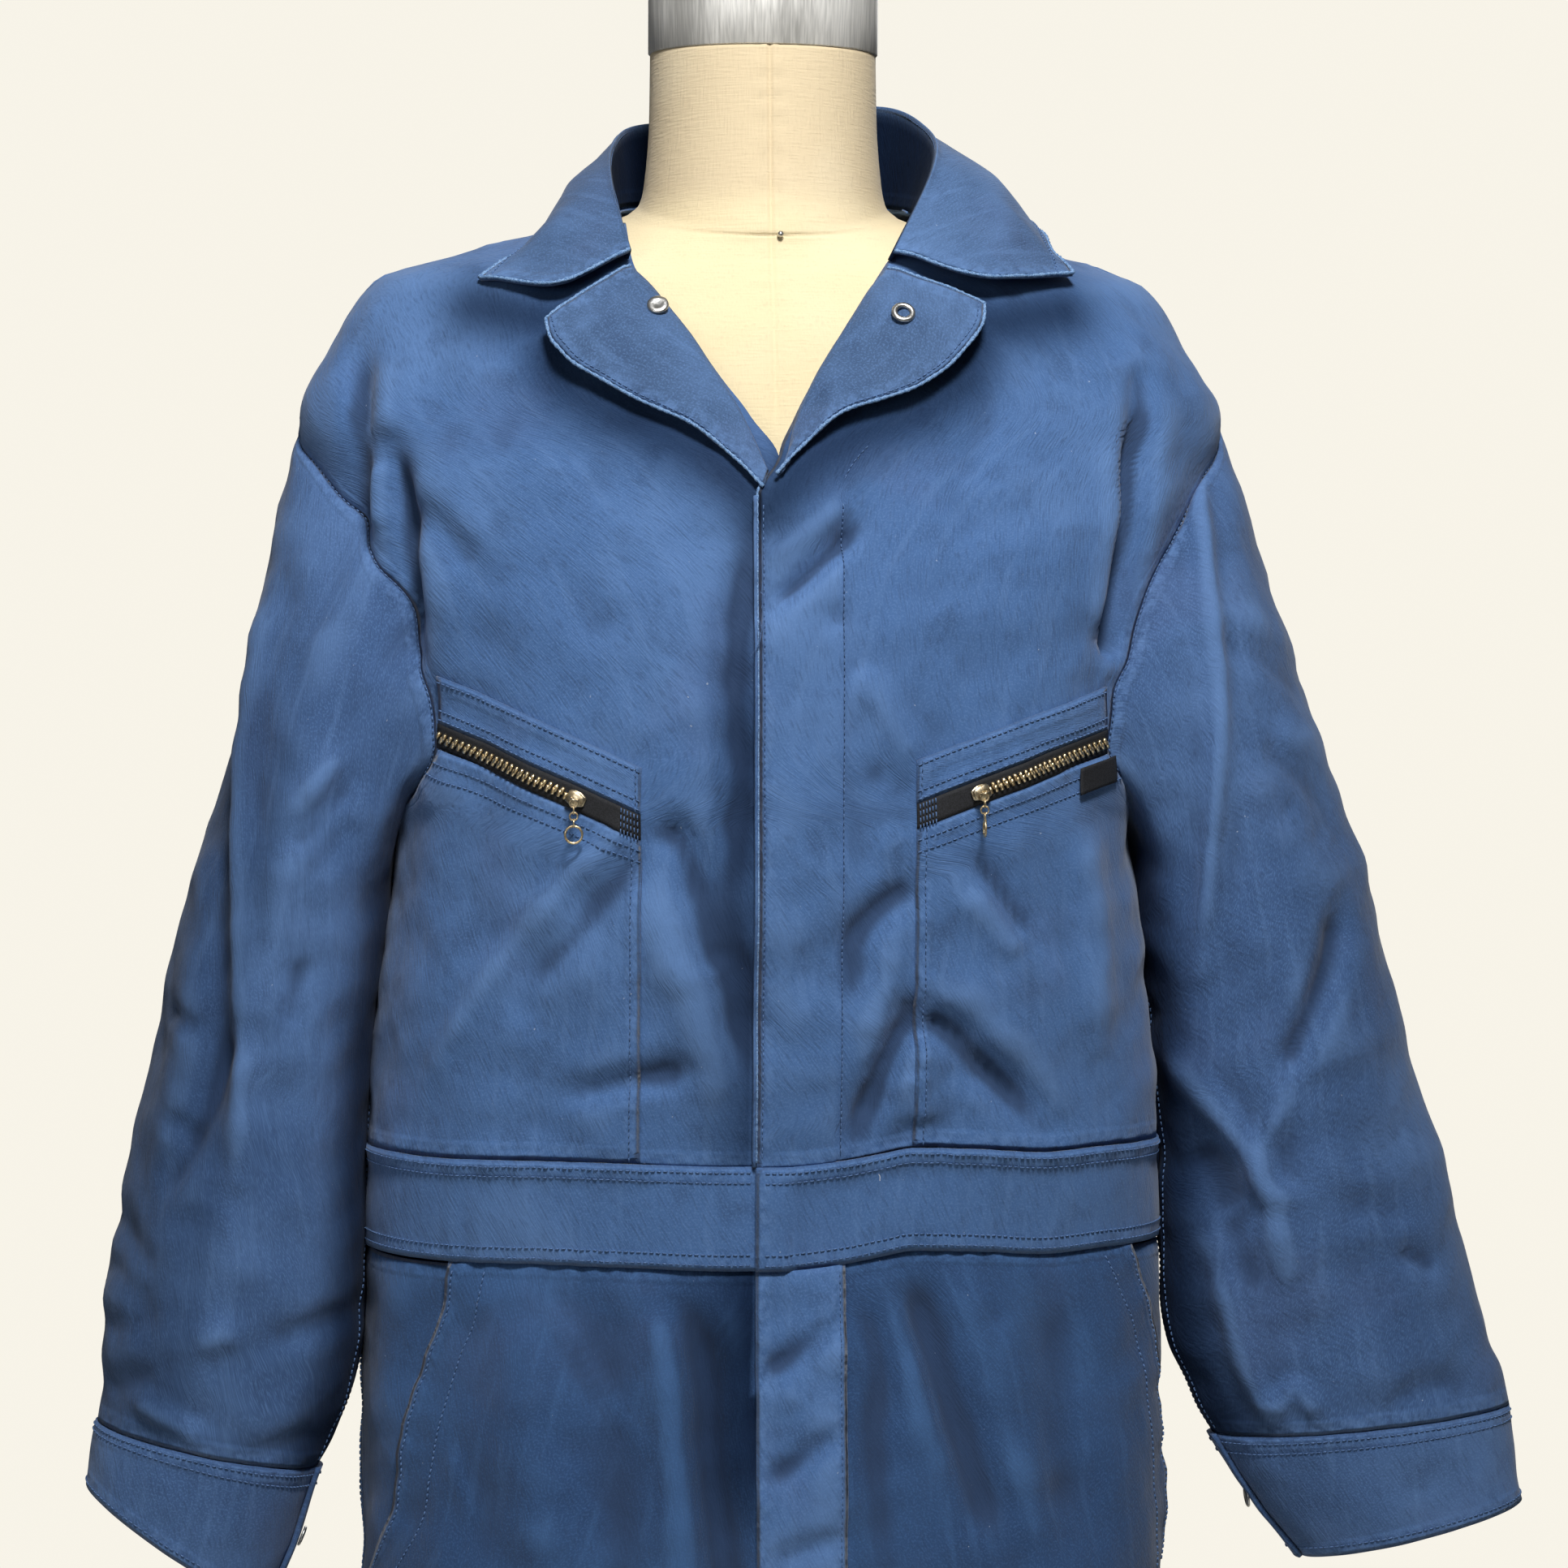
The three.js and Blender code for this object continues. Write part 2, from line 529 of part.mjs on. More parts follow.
function joined(geometries) {
  return geometryOf(geometries.map(solidOf).reduce((whole, piece) => whole.add(piece)));
}

// A panel of the body between two angles that change with the level.
function bodyPanel(name, us, levels, angleFrom, angleTo, lift, options) {
  const place = (u, level) => {
    const from = angleFrom(level);
    const angle = from + (angleTo(level) - from) * u;
    return bodyPointLifted(angle, level, lift(angle, level));
  };
  return sheet(name, us, levels, place, options);
}

// The two fronts, the back, and the placket over the centre line.
function makeBody() {
  for (const side of ["right", "left"]) {
    const sign = mirror(side);
    const from = (level) => angleAt(sign * openingEdge[side](level), level);
    const to = (level) => sign * armhole.front(level);
    bodyPanel(`front_${side}`, steps(PANEL_STEPS), BODY_LEVELS, from, to, () => 0);
  }
  const backLevels = [...BODY_LEVELS.slice(0, -1), NECK_LEVEL];
  const backFrom = (level) => 180 - armhole.back(level);
  const backTo = (level) => 180 + armhole.back(level);
  bodyPanel("back", steps(2 * PANEL_STEPS - 2), backLevels, backFrom, backTo, () => 0);
  const placketFrom = (level) => angleAt(-PLACKET_FREE_EDGE, level);
  const placketTo = (level) => angleAt(PLACKET_STITCHED_EDGE, level);
  const placketLift = () => LAY_GAP + FOLDED_CLOTH;
  const options = { thick: FOLDED_CLOTH };
  const placketLevels = steps(6, WAIST_TOP, PLACKET_TOP);
  bodyPanel("front_placket", steps(4), placketLevels, placketFrom, placketTo, placketLift, options);
}

// The waistband: two fronts, the left lapping over the right, and the elastic back.
function makeWaistband() {
  const levels = [WAIST_BOTTOM, (WAIST_BOTTOM + WAIST_TOP) / 2, WAIST_TOP];
  const us = steps(12);
  const options = { thick: FOLDED_CLOTH };
  const lapStart = 7;
  const lap = (angle, level) => {
    const x = bodyPoint(angle, level).x;
    return (FOLDED_CLOTH + LAY_GAP) * smooth((lapStart - x) / 5);
  };
  const centre = () => 0;
  bodyPanel("waistband_right", us, levels, centre, () => -90, () => 0, options);
  const lapX = [-PLACKET_FREE_EDGE, -6, -1.5, 2, 4.5, lapStart, 14];
  const lapAngles = [...lapX.map((x) => angleAt(x, levels[1])), ...steps(10, 5, 90)];
  bodyPanel("waistband_left", lapAngles, levels, centre, () => 1, lap, options);
  bodyPanel("waistband_back", steps(18), levels, () => 90, () => 270, () => 0, options);
}

// A lapel: straight lines from the roll line to the outer edge, bowed off the front.
function makeLapels() {
  for (const side of ["right", "left"]) {
    const sign = mirror(side);
    const rows = LAPELS[side].map((row, i) => ({ ...row, at: i / (LAPELS[side].length - 1) }));
    const edge = columns(rows, "at");
    const place = (u, at) => {
      const x = THREE.MathUtils.lerp(edge.rollX(at), edge.edgeX(at), u);
      const z = THREE.MathUtils.lerp(edge.rollZ(at), edge.edgeZ(at), u);
      const rise = FOLDED_CLOTH + LAPEL_CLEARANCE + (edge.lift(at) - 2) * Math.sin((Math.PI / 2) * u);
      return frontSpot(sign * x, z, rise);
    };
    sheet(`lapel_${side}`, steps(4), steps(10), place, { thick: FOLDED_CLOTH });
  }
}

// The collar: a stand up from the neck seam, a fold, and the fall down over the shoulders.
function makeCollar() {
  const points = (name) => COLLAR_STATIONS.map((station) => new THREE.Vector3(...station[name]));
  const line = (name) => new THREE.CatmullRomCurve3(points(name), false, "catmullrom", 0.5);
  const lines = { seam: line("seam"), fold: line("fold"), belly: line("belly"), edge: line("edge") };
  const place = (u, v) => {
    const at = Object.fromEntries(Object.entries(lines).map(([name, curve]) => [name, curve.getPoint(u)]));
    const outside = at.fold.clone().lerp(at.belly, 0.16).add(new THREE.Vector3(0, 0, 1));
    const section = [at.seam, at.fold, outside, at.belly, at.edge];
    return new THREE.CatmullRomCurve3(section, false, "catmullrom", 0.4).getPoint(v);
  };
  sheet("collar", steps(20), [0, 0.14, 0.25, 0.36, 0.5, 0.64, 0.82, 1], place, {
    thick: FOLDED_CLOTH,
    look: [0.5, 0.8],
  });
}

// A strip that follows the slant of a pocket zip, between two heights above its middle.
function zipStrip(name, side, below, above, fromX, toX, lift, options) {
  const pocket = CHEST_POCKETS[side];
  const place = (u, v) => {
    const x = THREE.MathUtils.lerp(fromX, toX, u);
    const z = pocket.zipZ + pocket.slope * (x - pocket.inner) + THREE.MathUtils.lerp(below, above, v);
    return frontSpot(mirror(side) * x, z, lift);
  };
  return sheet(name, steps(9), steps(1), place, options);
}

// How far out a strip may run before it meets the armhole seam.
function armholeX(level, clearance) {
  return bodyPoint(armhole.front(level), level).x - clearance;
}

// Each chest pocket: the patch, the zip in its slanted mouth and the welt above.
function makeChestPockets() {
  for (const side of ["right", "left"]) {
    const pocket = CHEST_POCKETS[side];
    const sign = mirror(side);
    const zipAt = (x) => pocket.zipZ + pocket.slope * (x - pocket.inner);
    const clothLift = LAY_GAP + CLOTH;
    const patch = (u, v) => {
      let z = pocket.zipZ;
      let angle = 0;
      for (let i = 0; i < 12; i += 1) {
        const inner = angleAt(pocket.inner, z);
        angle = THREE.MathUtils.lerp(inner, armhole.front(z) - POCKET_SIDE_MARGIN, u);
        const mouth = zipAt(bodyPoint(angle, z).x) - ZIP_HALF_OPENING;
        z = THREE.MathUtils.lerp(z, THREE.MathUtils.lerp(WAIST_TOP + 0.5, mouth, v), 0.7);
      }
      return bodyPointLifted(sign * angle, z, clothLift + POCKET_EASE * smooth((u - 0.55) / 0.35));
    };
    sheet(`chest_pocket_${side}`, steps(16), [0, 0.25, 0.5, 0.72, 0.86, 1], patch);
    const outerX = armholeX(zipAt(ARMHOLE_NEAR_X), POCKET_SIDE_MARGIN);
    const edge = ZIP_HALF_OPENING;
    zipStrip(`chest_welt_${side}`, side, edge, edge + pocket.welt, pocket.inner, outerX, clothLift);
    const tape = { thick: ZIP_TAPE, material: blackTape };
    zipStrip(`zip_tape_${side}`, side, -edge, edge, pocket.inner, outerX, LAY_GAP + ZIP_TAPE, tape);
    const teethFrom = pocket.slider + SLIDER_LENGTH / 2;
    const teethLift = LAY_GAP + ZIP_TAPE + REST_GAP + TEETH_HEIGHT;
    const teeth = { thick: TEETH_HEIGHT, material: agedBrass };
    const half = TEETH_HALF_WIDTH;
    zipStrip(`zip_teeth_${side}`, side, -half, half, teethFrom, outerX - 1, teethLift, teeth);
    makeSlider(side, zipAt(pocket.slider));
  }
}

// An upright ring of wire, seen face on from the front or from the side.
function ringOfWire(radius, wire, sideways) {
  const geometry = new THREE.TorusGeometry(radius, wire, 6, 14);
  if (sideways) geometry.rotateY(Math.PI / 2);
  else geometry.rotateX(Math.PI / 2);
  return geometry;
}

// The slider with its lug, and the pull: a short chain and a ring that hang from the lug.
function makeSlider(side, z) {
  const pocket = CHEST_POCKETS[side];
  const sign = mirror(side);
  const seat = frontSpot(sign * pocket.slider, z, LAY_GAP + ZIP_TAPE + REST_GAP);
  const normal = bodyNormal(angleAt(sign * pocket.slider, z), z);
  const axis = seat.clone().addScaledVector(normal, SLIDER_HEIGHT + LUG_STANDOFF);
  const slant = Math.atan(pocket.slope);
  const shape = new THREE.Shape();
  shape.moveTo(-SLIDER_LENGTH / 2, -SLIDER_WIDTH * 0.3);
  shape.lineTo(-SLIDER_LENGTH * 0.1, -SLIDER_WIDTH / 2);
  shape.lineTo(SLIDER_LENGTH / 2 - REST_GAP, -SLIDER_WIDTH * 0.44);
  shape.lineTo(SLIDER_LENGTH / 2 - REST_GAP, SLIDER_WIDTH * 0.44);
  shape.lineTo(-SLIDER_LENGTH * 0.1, SLIDER_WIDTH / 2);
  shape.lineTo(-SLIDER_LENGTH / 2, SLIDER_WIDTH * 0.3);
  const plate = new THREE.ExtrudeGeometry(shape, { depth: SLIDER_HEIGHT, bevelEnabled: false });
  plate.rotateZ(slant);
  if (side === "right") plate.scale(-1, 1, 1);
  const upright = new THREE.Matrix4().makeRotationX(Math.PI / 2);
  plate.applyMatrix4(upright);
  if (side === "right") turnFacesRound(plate);
  const facing = Math.atan2(normal.x, -normal.y);
  plate.rotateZ(facing);
  plate.translate(seat.x, seat.y, seat.z);
  const lug = ringOfWire(LUG_RADIUS, LUG_WIRE, true);
  lug.translate(axis.x, axis.y, axis.z);
  const postFoot = LUG_STANDOFF + 0.4;
  const post = new THREE.BoxGeometry(2 * LUG_WIRE, postFoot - LUG_RADIUS, 2 * LUG_RADIUS);
  post.translate(axis.x, axis.y + (postFoot + LUG_RADIUS) / 2, axis.z);
  const slider = joined([plate, lug, post]);
  addMesh(`slider_${side}`, slider, agedBrass);

  const links = [];
  for (let i = 0; i < PULL_LINKS; i += 1) {
    const link = ringOfWire(LINK_RADIUS, LINK_WIRE, i % 2 === 1);
    link.translate(axis.x, axis.y, axis.z - LINK_RADIUS - i * LINK_PITCH);
    links.push(link);
  }
  const ring = ringOfWire(PULL_RING_RADIUS, PULL_RING_WIRE, pocket.turned);
  const chainEnd = axis.z - LINK_RADIUS - (PULL_LINKS - 1) * LINK_PITCH - LINK_RADIUS;
  ring.translate(axis.x, axis.y, chainEnd - PULL_RING_RADIUS + LINK_WIRE);
  addMesh(`zip_pull_${side}`, joined([...links, ring]), agedBrass);
}

// Reverses every triangle, for a shape that was mirrored.
function turnFacesRound(geometry) {
  const position = geometry.attributes.position;
  for (let i = 0; i < position.count; i += 3) {
    const first = new THREE.Vector3().fromBufferAttribute(position, i);
    const second = new THREE.Vector3().fromBufferAttribute(position, i + 1);
    position.setXYZ(i, second.x, second.y, second.z);
    position.setXYZ(i + 1, first.x, first.y, first.z);
  }
}

function makeLabel() {
  const pocket = CHEST_POCKETS.left;
  const lift = LAY_GAP + CLOTH + POCKET_EASE + LABEL_THICK + REST_GAP;
  const place = (u, v) => {
    const x = THREE.MathUtils.lerp(LABEL_FROM_X, LABEL_TO_X, u);
    const mouth = pocket.zipZ + pocket.slope * (x - pocket.inner) - ZIP_HALF_OPENING;
    return frontSpot(x, mouth - LABEL_FROM_MOUTH - LABEL_DROP * (1 - v), lift);
  };
  sheet("pocket_label", steps(3), steps(1), place, { thick: LABEL_THICK, material: blackTape });
}

// A point of a leg: angle 0 at the inseam, 90 in the middle of the front, 180 at the side
// seam and on round the back. Above the crotch the two legs' outlines run into each other
// and stop on the plane between them.
function legPoint(side, angle, level) {
  const inside = legs[`${side}In`](level);
  const reach = Math.abs(legs[`${side}Out`](level) - inside);
  const parted = legs.parted(level);
  const radius = reach / (1 + parted);
  const cosine = Math.cos(radians(angle));
  const sine = Math.sin(radians(angle));
  const round = legs.round(level);
  const out = radius * (parted - Math.sign(cosine) * Math.abs(cosine) ** (2 / round));
  const depth = sine > 0 ? legs.front(level) : legs.back(level);
  const y = -depth * Math.sign(sine) * Math.abs(sine) ** (2 / round);
  return new THREE.Vector3(inside + mirror(side) * out, y, level);
}

// The angle at which a leg's outline meets the plane between the legs.
function legSeamAngle(level) {
  const share = THREE.MathUtils.clamp(legs.parted(level), 0, 1);
  return (Math.acos(share ** (legs.round(level) / 2)) * 180) / Math.PI;
}

function legHub(side) {
  return (point) => {
    const middle = (legs[`${side}In`](point.z) + legs[`${side}Out`](point.z)) / 2;
    return new THREE.Vector3(middle, 0, point.z);
  };
}

// A leg's surface with a lift off it along the direction out of the cloth.
function legPointLifted(side, angle, level, lift) {
  const at = (turn, height) => legPoint(side, angle + turn, level + height);
  const across = at(ANGLE_NUDGE, 0).sub(at(-ANGLE_NUDGE, 0));
  const up = at(0, LEVEL_NUDGE).sub(at(0, -LEVEL_NUDGE));
  const normal = across.cross(up).normalize().multiplyScalar(mirror(side));
  return legPoint(side, angle, level).addScaledVector(normal, lift);
}

// Both legs, front and back, with the hip panel under the slanted pocket edge.
function makeTrousers() {
  for (const side of ["right", "left"]) {
    const hub = legHub(side);
    const us = steps(LEG_STEPS);
    const legOptions = { hub, trims: { first: CROTCH_HALF_GAP } };
    const frontAngle = (u, level) => THREE.MathUtils.lerp(legSeamAngle(level), slash[side](level), u);
    const backAngle = (u, level) => THREE.MathUtils.lerp(-legSeamAngle(level), -180, u);
    const frontPlace = (u, level) => legPoint(side, frontAngle(u, level), level);
    const backPlace = (u, level) => legPoint(side, backAngle(u, level), level);
    sheet(`leg_front_${side}`, us, LEG_LEVELS, frontPlace, legOptions);
    sheet(`leg_back_${side}`, us, LEG_LEVELS, backPlace, legOptions);
    const hipLevels = LEG_LEVELS.filter((level) => level >= SLASH_END);
    const lastStep = 1 - 1 / LEG_STEPS;
    const hipPlace = (u, level) => {
      const edge = slash[side](level);
      const angle = u < 0 ? frontAngle(1 + u * (1 - lastStep), level) : THREE.MathUtils.lerp(edge, 180, u);
      const drop = HIP_PANEL_DROP * (1 - smooth((angle - edge) / 12));
      return legPointLifted(side, angle, level, -drop);
    };
    sheet(`hip_panel_${side}`, [-1, 0, 0.34, 0.67, 1], hipLevels, hipPlace, {
      hub,
      look: [0.7, 0.5],
      trims: { high: PASS_THROUGH_SLOT, first: 4 },
    });
  }
  const flyPlace = (u, level) => {
    const x = THREE.MathUtils.lerp(-PLACKET_FREE_EDGE, PLACKET_STITCHED_EDGE, u);
    const side = x < 0 ? "right" : "left";
    const share = Math.abs(x) / legs.leftOut(level);
    const angle = 90 + (Math.asin(share ** (legs.round(level) / 2)) * 180) / Math.PI;
    return legPointLifted(side, angle, level, LAY_GAP + FOLDED_CLOTH);
  };
  sheet("fly_placket", steps(5), steps(4, FLY_END, WAIST_BOTTOM), flyPlace, { thick: FOLDED_CLOTH });
}

// A point of a sleeve or cuff ring: turn 0 under the arm, 0.25 in front, 0.5 outside.
function ringPoint(ring, side, turn, row) {
  const angle = 2 * Math.PI * turn;
  const along = (1 - Math.cos(angle)) / 2;
  const x = THREE.MathUtils.lerp(ring.innerX(row), ring.outerX(row), along);
  const z = THREE.MathUtils.lerp(ring.innerZ(row), ring.outerZ(row), along);
  const y = ring.middle(row) - ring.depth(row) * Math.sin(angle);
  return new THREE.Vector3(mirror(side) * x, y, z);
}

// The armhole seam of the body, as the same turn round it.
function armholePoint(side, turn) {
  const level = THREE.MathUtils.lerp(ARMPIT, SHOULDER_TIP, (1 - Math.cos(2 * Math.PI * turn)) / 2);
  const isFront = THREE.MathUtils.euclideanModulo(turn, 1) < 0.5;
  const angle = isFront ? armhole.front(level) : 180 - armhole.back(level);
  const point = bodyPoint(angle, level);
  return new THREE.Vector3(mirror(side) * (point.x + ARMHOLE_STANDOFF), point.y, point.z);
}

function makeSleeves() {
  for (const side of ["right", "left"]) {
    const rows = SLEEVES[side].map((row, i) => ({ ...row, at: i / (SLEEVES[side].length - 1) }));
    const ring = columns(rows, "at");
    const place = (turn, at) => {
      const head = 1 - smooth(at / SLEEVE_HEAD_SHARE);
      return ringPoint(ring, side, turn, at).lerp(armholePoint(side, turn), head);
    };
    const around = steps(SLEEVE_STEPS).slice(0, -1);
    const hub = (point) => new THREE.Vector3(mirror(side) * SLEEVE_HUB_X, 0, point.z);
    const options = { loop: true, hub, trims: { low: 0 } };
    sheet(`sleeve_${side}`, around, steps(SLEEVE_ROWS), place, options);
    makeCuff(side);
  }
}

// A cuff: a folded band once round the wrist whose end laps over its start.
function makeCuff(side) {
  const rows = CUFFS[side].map((row, i) => ({ ...row, at: i / (CUFFS[side].length - 1) }));
  const ring = columns(rows, "at");
  const sign = mirror(side);
  const place = (turn, at) => {
    const centre = ringPoint(ring, side, 0, at).lerp(ringPoint(ring, side, 0.5, at), 0.5);
    centre.y = ring.middle(at);
    const out = (FOLDED_CLOTH + LAY_GAP) * smooth((turn - 1 + CUFF_LAP) / CUFF_LAP + 1);
    const point = ringPoint(ring, side, turn, at);
    return point.addScaledVector(point.clone().sub(centre).normalize(), out);
  };
  const around = [...steps(14, 0, 1 - 2 * CUFF_LAP), 1 - CUFF_LAP, 1, 1 + CUFF_LAP / 2];
  const hub = (point) => new THREE.Vector3(sign * CUFF_HUB_X, 0, point.z);
  const options = { thick: FOLDED_CLOTH, hub, trims: { low: CUFF_SEAM_GAP } };
  sheet(`cuff_${side}`, around, steps(2), place, options);
  const snap = new THREE.CylinderGeometry(CUFF_SNAP_RADIUS, CUFF_SNAP_RADIUS, SNAP_HEIGHT, 16);
  const spot = place(1, CUFF_SNAP_AT);
  const across = place(1.01, CUFF_SNAP_AT).sub(place(0.99, CUFF_SNAP_AT));
  const along = place(1, CUFF_SNAP_AT + 0.02).sub(place(1, CUFF_SNAP_AT - 0.02));
  const normal = across.cross(along).normalize();
  const inwards = new THREE.Vector3(-sign, 0, 0);
  normal.multiplyScalar(Math.sign(normal.dot(inwards)));
  seatDisc(`cuff_snap_${side}`, snap, spot, normal, nickel);
}

// A disc or ring on the cloth: its own axis turned to the direction out of the cloth.
function seatDisc(name, geometry, spot, normal, material, clearance = 0.6) {
  const mesh = addMesh(name, geometry, material);
  mesh.quaternion.setFromUnitVectors(new THREE.Vector3(0, 1, 0), normal);
  mesh.position.copy(spot).addScaledVector(normal, SNAP_HEIGHT / 2 + clearance);
}

// The neck snap: a flat cap on the right lapel and its ring socket on the left.
function makeNeckSnap() {
  const cap = new THREE.CylinderGeometry(SNAP_CAP_RADIUS * 0.9, SNAP_CAP_RADIUS, SNAP_HEIGHT, 20);
  const half = SNAP_HEIGHT / 2;
  const profile = [
    new THREE.Vector2(SNAP_SOCKET_BORE, -half),
    new THREE.Vector2(SNAP_SOCKET_RADIUS, -half),
    new THREE.Vector2(SNAP_SOCKET_RADIUS - 0.8, half),
    new THREE.Vector2(SNAP_SOCKET_BORE + 0.6, half),
    new THREE.Vector2(SNAP_SOCKET_BORE, -half),
  ];
  const socket = new THREE.LatheGeometry(profile, 20);
  const spots = [
    { name: "neck_snap_cap", geometry: cap, x: -57, z: 1551.5, lift: 5 },
    { name: "neck_snap_socket", geometry: socket, x: 62, z: 1546, lift: 9.4 },
  ];
  for (const { name, geometry, x, z, lift } of spots) {
    const spot = frontSpot(x, z, lift);
    const normal = frontSpot(x, z, lift + 1).sub(spot).normalize();
    seatDisc(name, geometry, spot, normal, nickel);
  }
}

function formPoint(turn, level) {
  const angle = 360 * turn;
  const round = form.round(level);
  const [x, y] = outline(angle, form.half(level), form.front(level), form.back(level), round);
  const tilt = y < 0 ? form.drop(level) : form.rise(level);
  return new THREE.Vector3(x, y, level + tilt * y);
}

// The form is one smooth closed body from its flat underside to the top of the neck.
function makeForm() {
  const levels = [
    ...steps(10, FORM_SECTIONS[0].level, 1450),
    1480, 1507, 1530, 1550, 1564, 1574, 1584, 1592, 1600, 1608, 1616, 1628, 1644, 1664, 1694,
  ];
  const turns = steps(FORM_STEPS).slice(0, -1);
  const points = levels.flatMap((level) => turns.map((turn) => formPoint(turn, level)));
  const index = [];
  for (let i = 0; i < levels.length - 1; i += 1) {
    for (let j = 0; j < FORM_STEPS; j += 1) {
      const a = i * FORM_STEPS + j;
      const b = i * FORM_STEPS + ((j + 1) % FORM_STEPS);
      index.push(a, b, b + FORM_STEPS, a, b + FORM_STEPS, a + FORM_STEPS);
    }
  }
  const top = points.length - FORM_STEPS;
  for (let j = 1; j < FORM_STEPS - 1; j += 1) {
    index.push(0, j + 1, j);
    index.push(top, top + j, top + j + 1);
  }
  closedMesh("form_torso", points, index, linen);

  const neckTop = FORM_SECTIONS.at(-1);
  const capBase = neckTop.level + REST_GAP;
  const capProfile = [
    new THREE.Vector2(0, 0),
    new THREE.Vector2(CAP_RADIUS, 0),
    new THREE.Vector2(CAP_RADIUS, CAP_HEIGHT - 7),
    new THREE.Vector2(CAP_RADIUS - 2, CAP_HEIGHT - 2.5),
    new THREE.Vector2(CAP_RADIUS - 7, CAP_HEIGHT - 0.5),
    new THREE.Vector2(0, CAP_HEIGHT),
  ];
  const cap = new THREE.LatheGeometry(capProfile, 36);
  cap.rotateX(Math.PI / 2);
  cap.scale(1, CAP_DEPTH_SHARE, 1);
  const capMesh = addMesh("neck_cap", cap, brushedSteel);
  capMesh.position.z = capBase;
  capMesh.rotation.x = Math.atan(neckTop.drop);

  const pin = addMesh("neck_pin", new THREE.SphereGeometry(PIN_RADIUS, 12, 8), nickel);
  pin.position.copy(formPoint(PIN_TURN, PIN_LEVEL));
  pin.position.y -= PIN_RADIUS + REST_GAP;
}

// The stand: a plate under the form, the pole, its clamp with a knob, and the round foot.
function makeStand() {
  const bottom = FORM_SECTIONS[0];
  const plateTop = bottom.level - REST_GAP;
  const plateShape = new THREE.Shape();
  const halfWidth = bottom.half - PLATE_INSET;
  const halfDepth = bottom.front - PLATE_INSET;
  plateShape.absellipse(0, 0, halfWidth, halfDepth, 0, 2 * Math.PI);
  const plateCut = { depth: BOTTOM_PLATE, bevelEnabled: false, curveSegments: 18 };
  const plate = new THREE.ExtrudeGeometry(plateShape, plateCut);
  plate.translate(0, 0, plateTop - BOTTOM_PLATE);
  addMesh("form_bottom_plate", plate, darkWood);

  const clampTop = plateTop - BOTTOM_PLATE - REST_GAP;
  const clampProfile = [
    new THREE.Vector2(POLE_RADIUS + REST_GAP, -CLAMP_HEIGHT),
    new THREE.Vector2(CLAMP_RADIUS, -CLAMP_HEIGHT),
    new THREE.Vector2(CLAMP_RADIUS, 0),
    new THREE.Vector2(POLE_RADIUS + REST_GAP, 0),
    new THREE.Vector2(POLE_RADIUS + REST_GAP, -CLAMP_HEIGHT),
  ];
  const clamp = new THREE.LatheGeometry(clampProfile, POLE_SIDES);
  clamp.rotateX(Math.PI / 2);
  addMesh("pole_clamp", clamp, blackIron).position.z = clampTop;

  const knob = new THREE.CylinderGeometry(KNOB_RADIUS, KNOB_RADIUS, KNOB_LENGTH, 12);
  const knobMesh = addMesh("clamp_knob", knob, blackIron);
  knobMesh.position.set(0, CLAMP_RADIUS + REST_GAP + KNOB_LENGTH / 2, clampTop - CLAMP_HEIGHT / 2);

  const poleBottom = FOOT_THICK + HUB_HEIGHT + REST_GAP;
  const poleLength = clampTop - poleBottom;
  const pole = new THREE.CylinderGeometry(POLE_RADIUS, POLE_RADIUS, poleLength, POLE_SIDES);
  pole.rotateX(Math.PI / 2);
  addMesh("pole", pole, brushedSteel).position.z = poleBottom + poleLength / 2;

  const footProfile = [
    new THREE.Vector2(0, 0),
    new THREE.Vector2(FOOT_RADIUS, 0),
    new THREE.Vector2(FOOT_RADIUS, FOOT_THICK - 3),
    new THREE.Vector2(FOOT_RADIUS - 5, FOOT_THICK),
    new THREE.Vector2(HUB_RADIUS + 6, FOOT_THICK + 4),
    new THREE.Vector2(HUB_RADIUS, FOOT_THICK + 10),
    new THREE.Vector2(HUB_RADIUS - 3, FOOT_THICK + HUB_HEIGHT),
    new THREE.Vector2(0, FOOT_THICK + HUB_HEIGHT),
  ];
  const foot = new THREE.LatheGeometry(footProfile, 48);
  foot.rotateX(Math.PI / 2);
  addMesh("foot", foot, blackIron);
}

makeBody();
makeWaistband();
makeLapels();
makeCollar();
makeChestPockets();
makeLabel();
makeTrousers();
makeSleeves();
makeNeckSnap();
makeForm();
makeStand();

export default suit;
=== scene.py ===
"""The boiler suit on its dress form: what shows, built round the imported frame.

Lengths in the tables are millimetres, with x to the wearer's left, y to the back and z up.
"""

import json
import math
from functools import partial

import bmesh
import bpy
import numpy as np
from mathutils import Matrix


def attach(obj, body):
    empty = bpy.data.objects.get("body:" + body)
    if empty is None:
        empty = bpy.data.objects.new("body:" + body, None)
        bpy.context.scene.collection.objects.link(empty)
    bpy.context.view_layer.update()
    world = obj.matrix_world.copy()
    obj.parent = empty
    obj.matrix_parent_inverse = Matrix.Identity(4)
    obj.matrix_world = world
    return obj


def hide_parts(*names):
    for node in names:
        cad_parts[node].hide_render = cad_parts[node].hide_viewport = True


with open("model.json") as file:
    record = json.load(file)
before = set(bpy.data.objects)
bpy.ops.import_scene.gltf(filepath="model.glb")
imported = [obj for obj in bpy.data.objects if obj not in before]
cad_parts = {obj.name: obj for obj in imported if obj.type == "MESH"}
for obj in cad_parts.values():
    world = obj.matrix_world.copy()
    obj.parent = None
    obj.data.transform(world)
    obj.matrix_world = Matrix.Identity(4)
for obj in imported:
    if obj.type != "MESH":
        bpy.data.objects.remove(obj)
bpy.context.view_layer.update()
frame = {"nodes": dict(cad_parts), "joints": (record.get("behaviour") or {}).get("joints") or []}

METRE = 0.001
SIDES = ("right", "left")
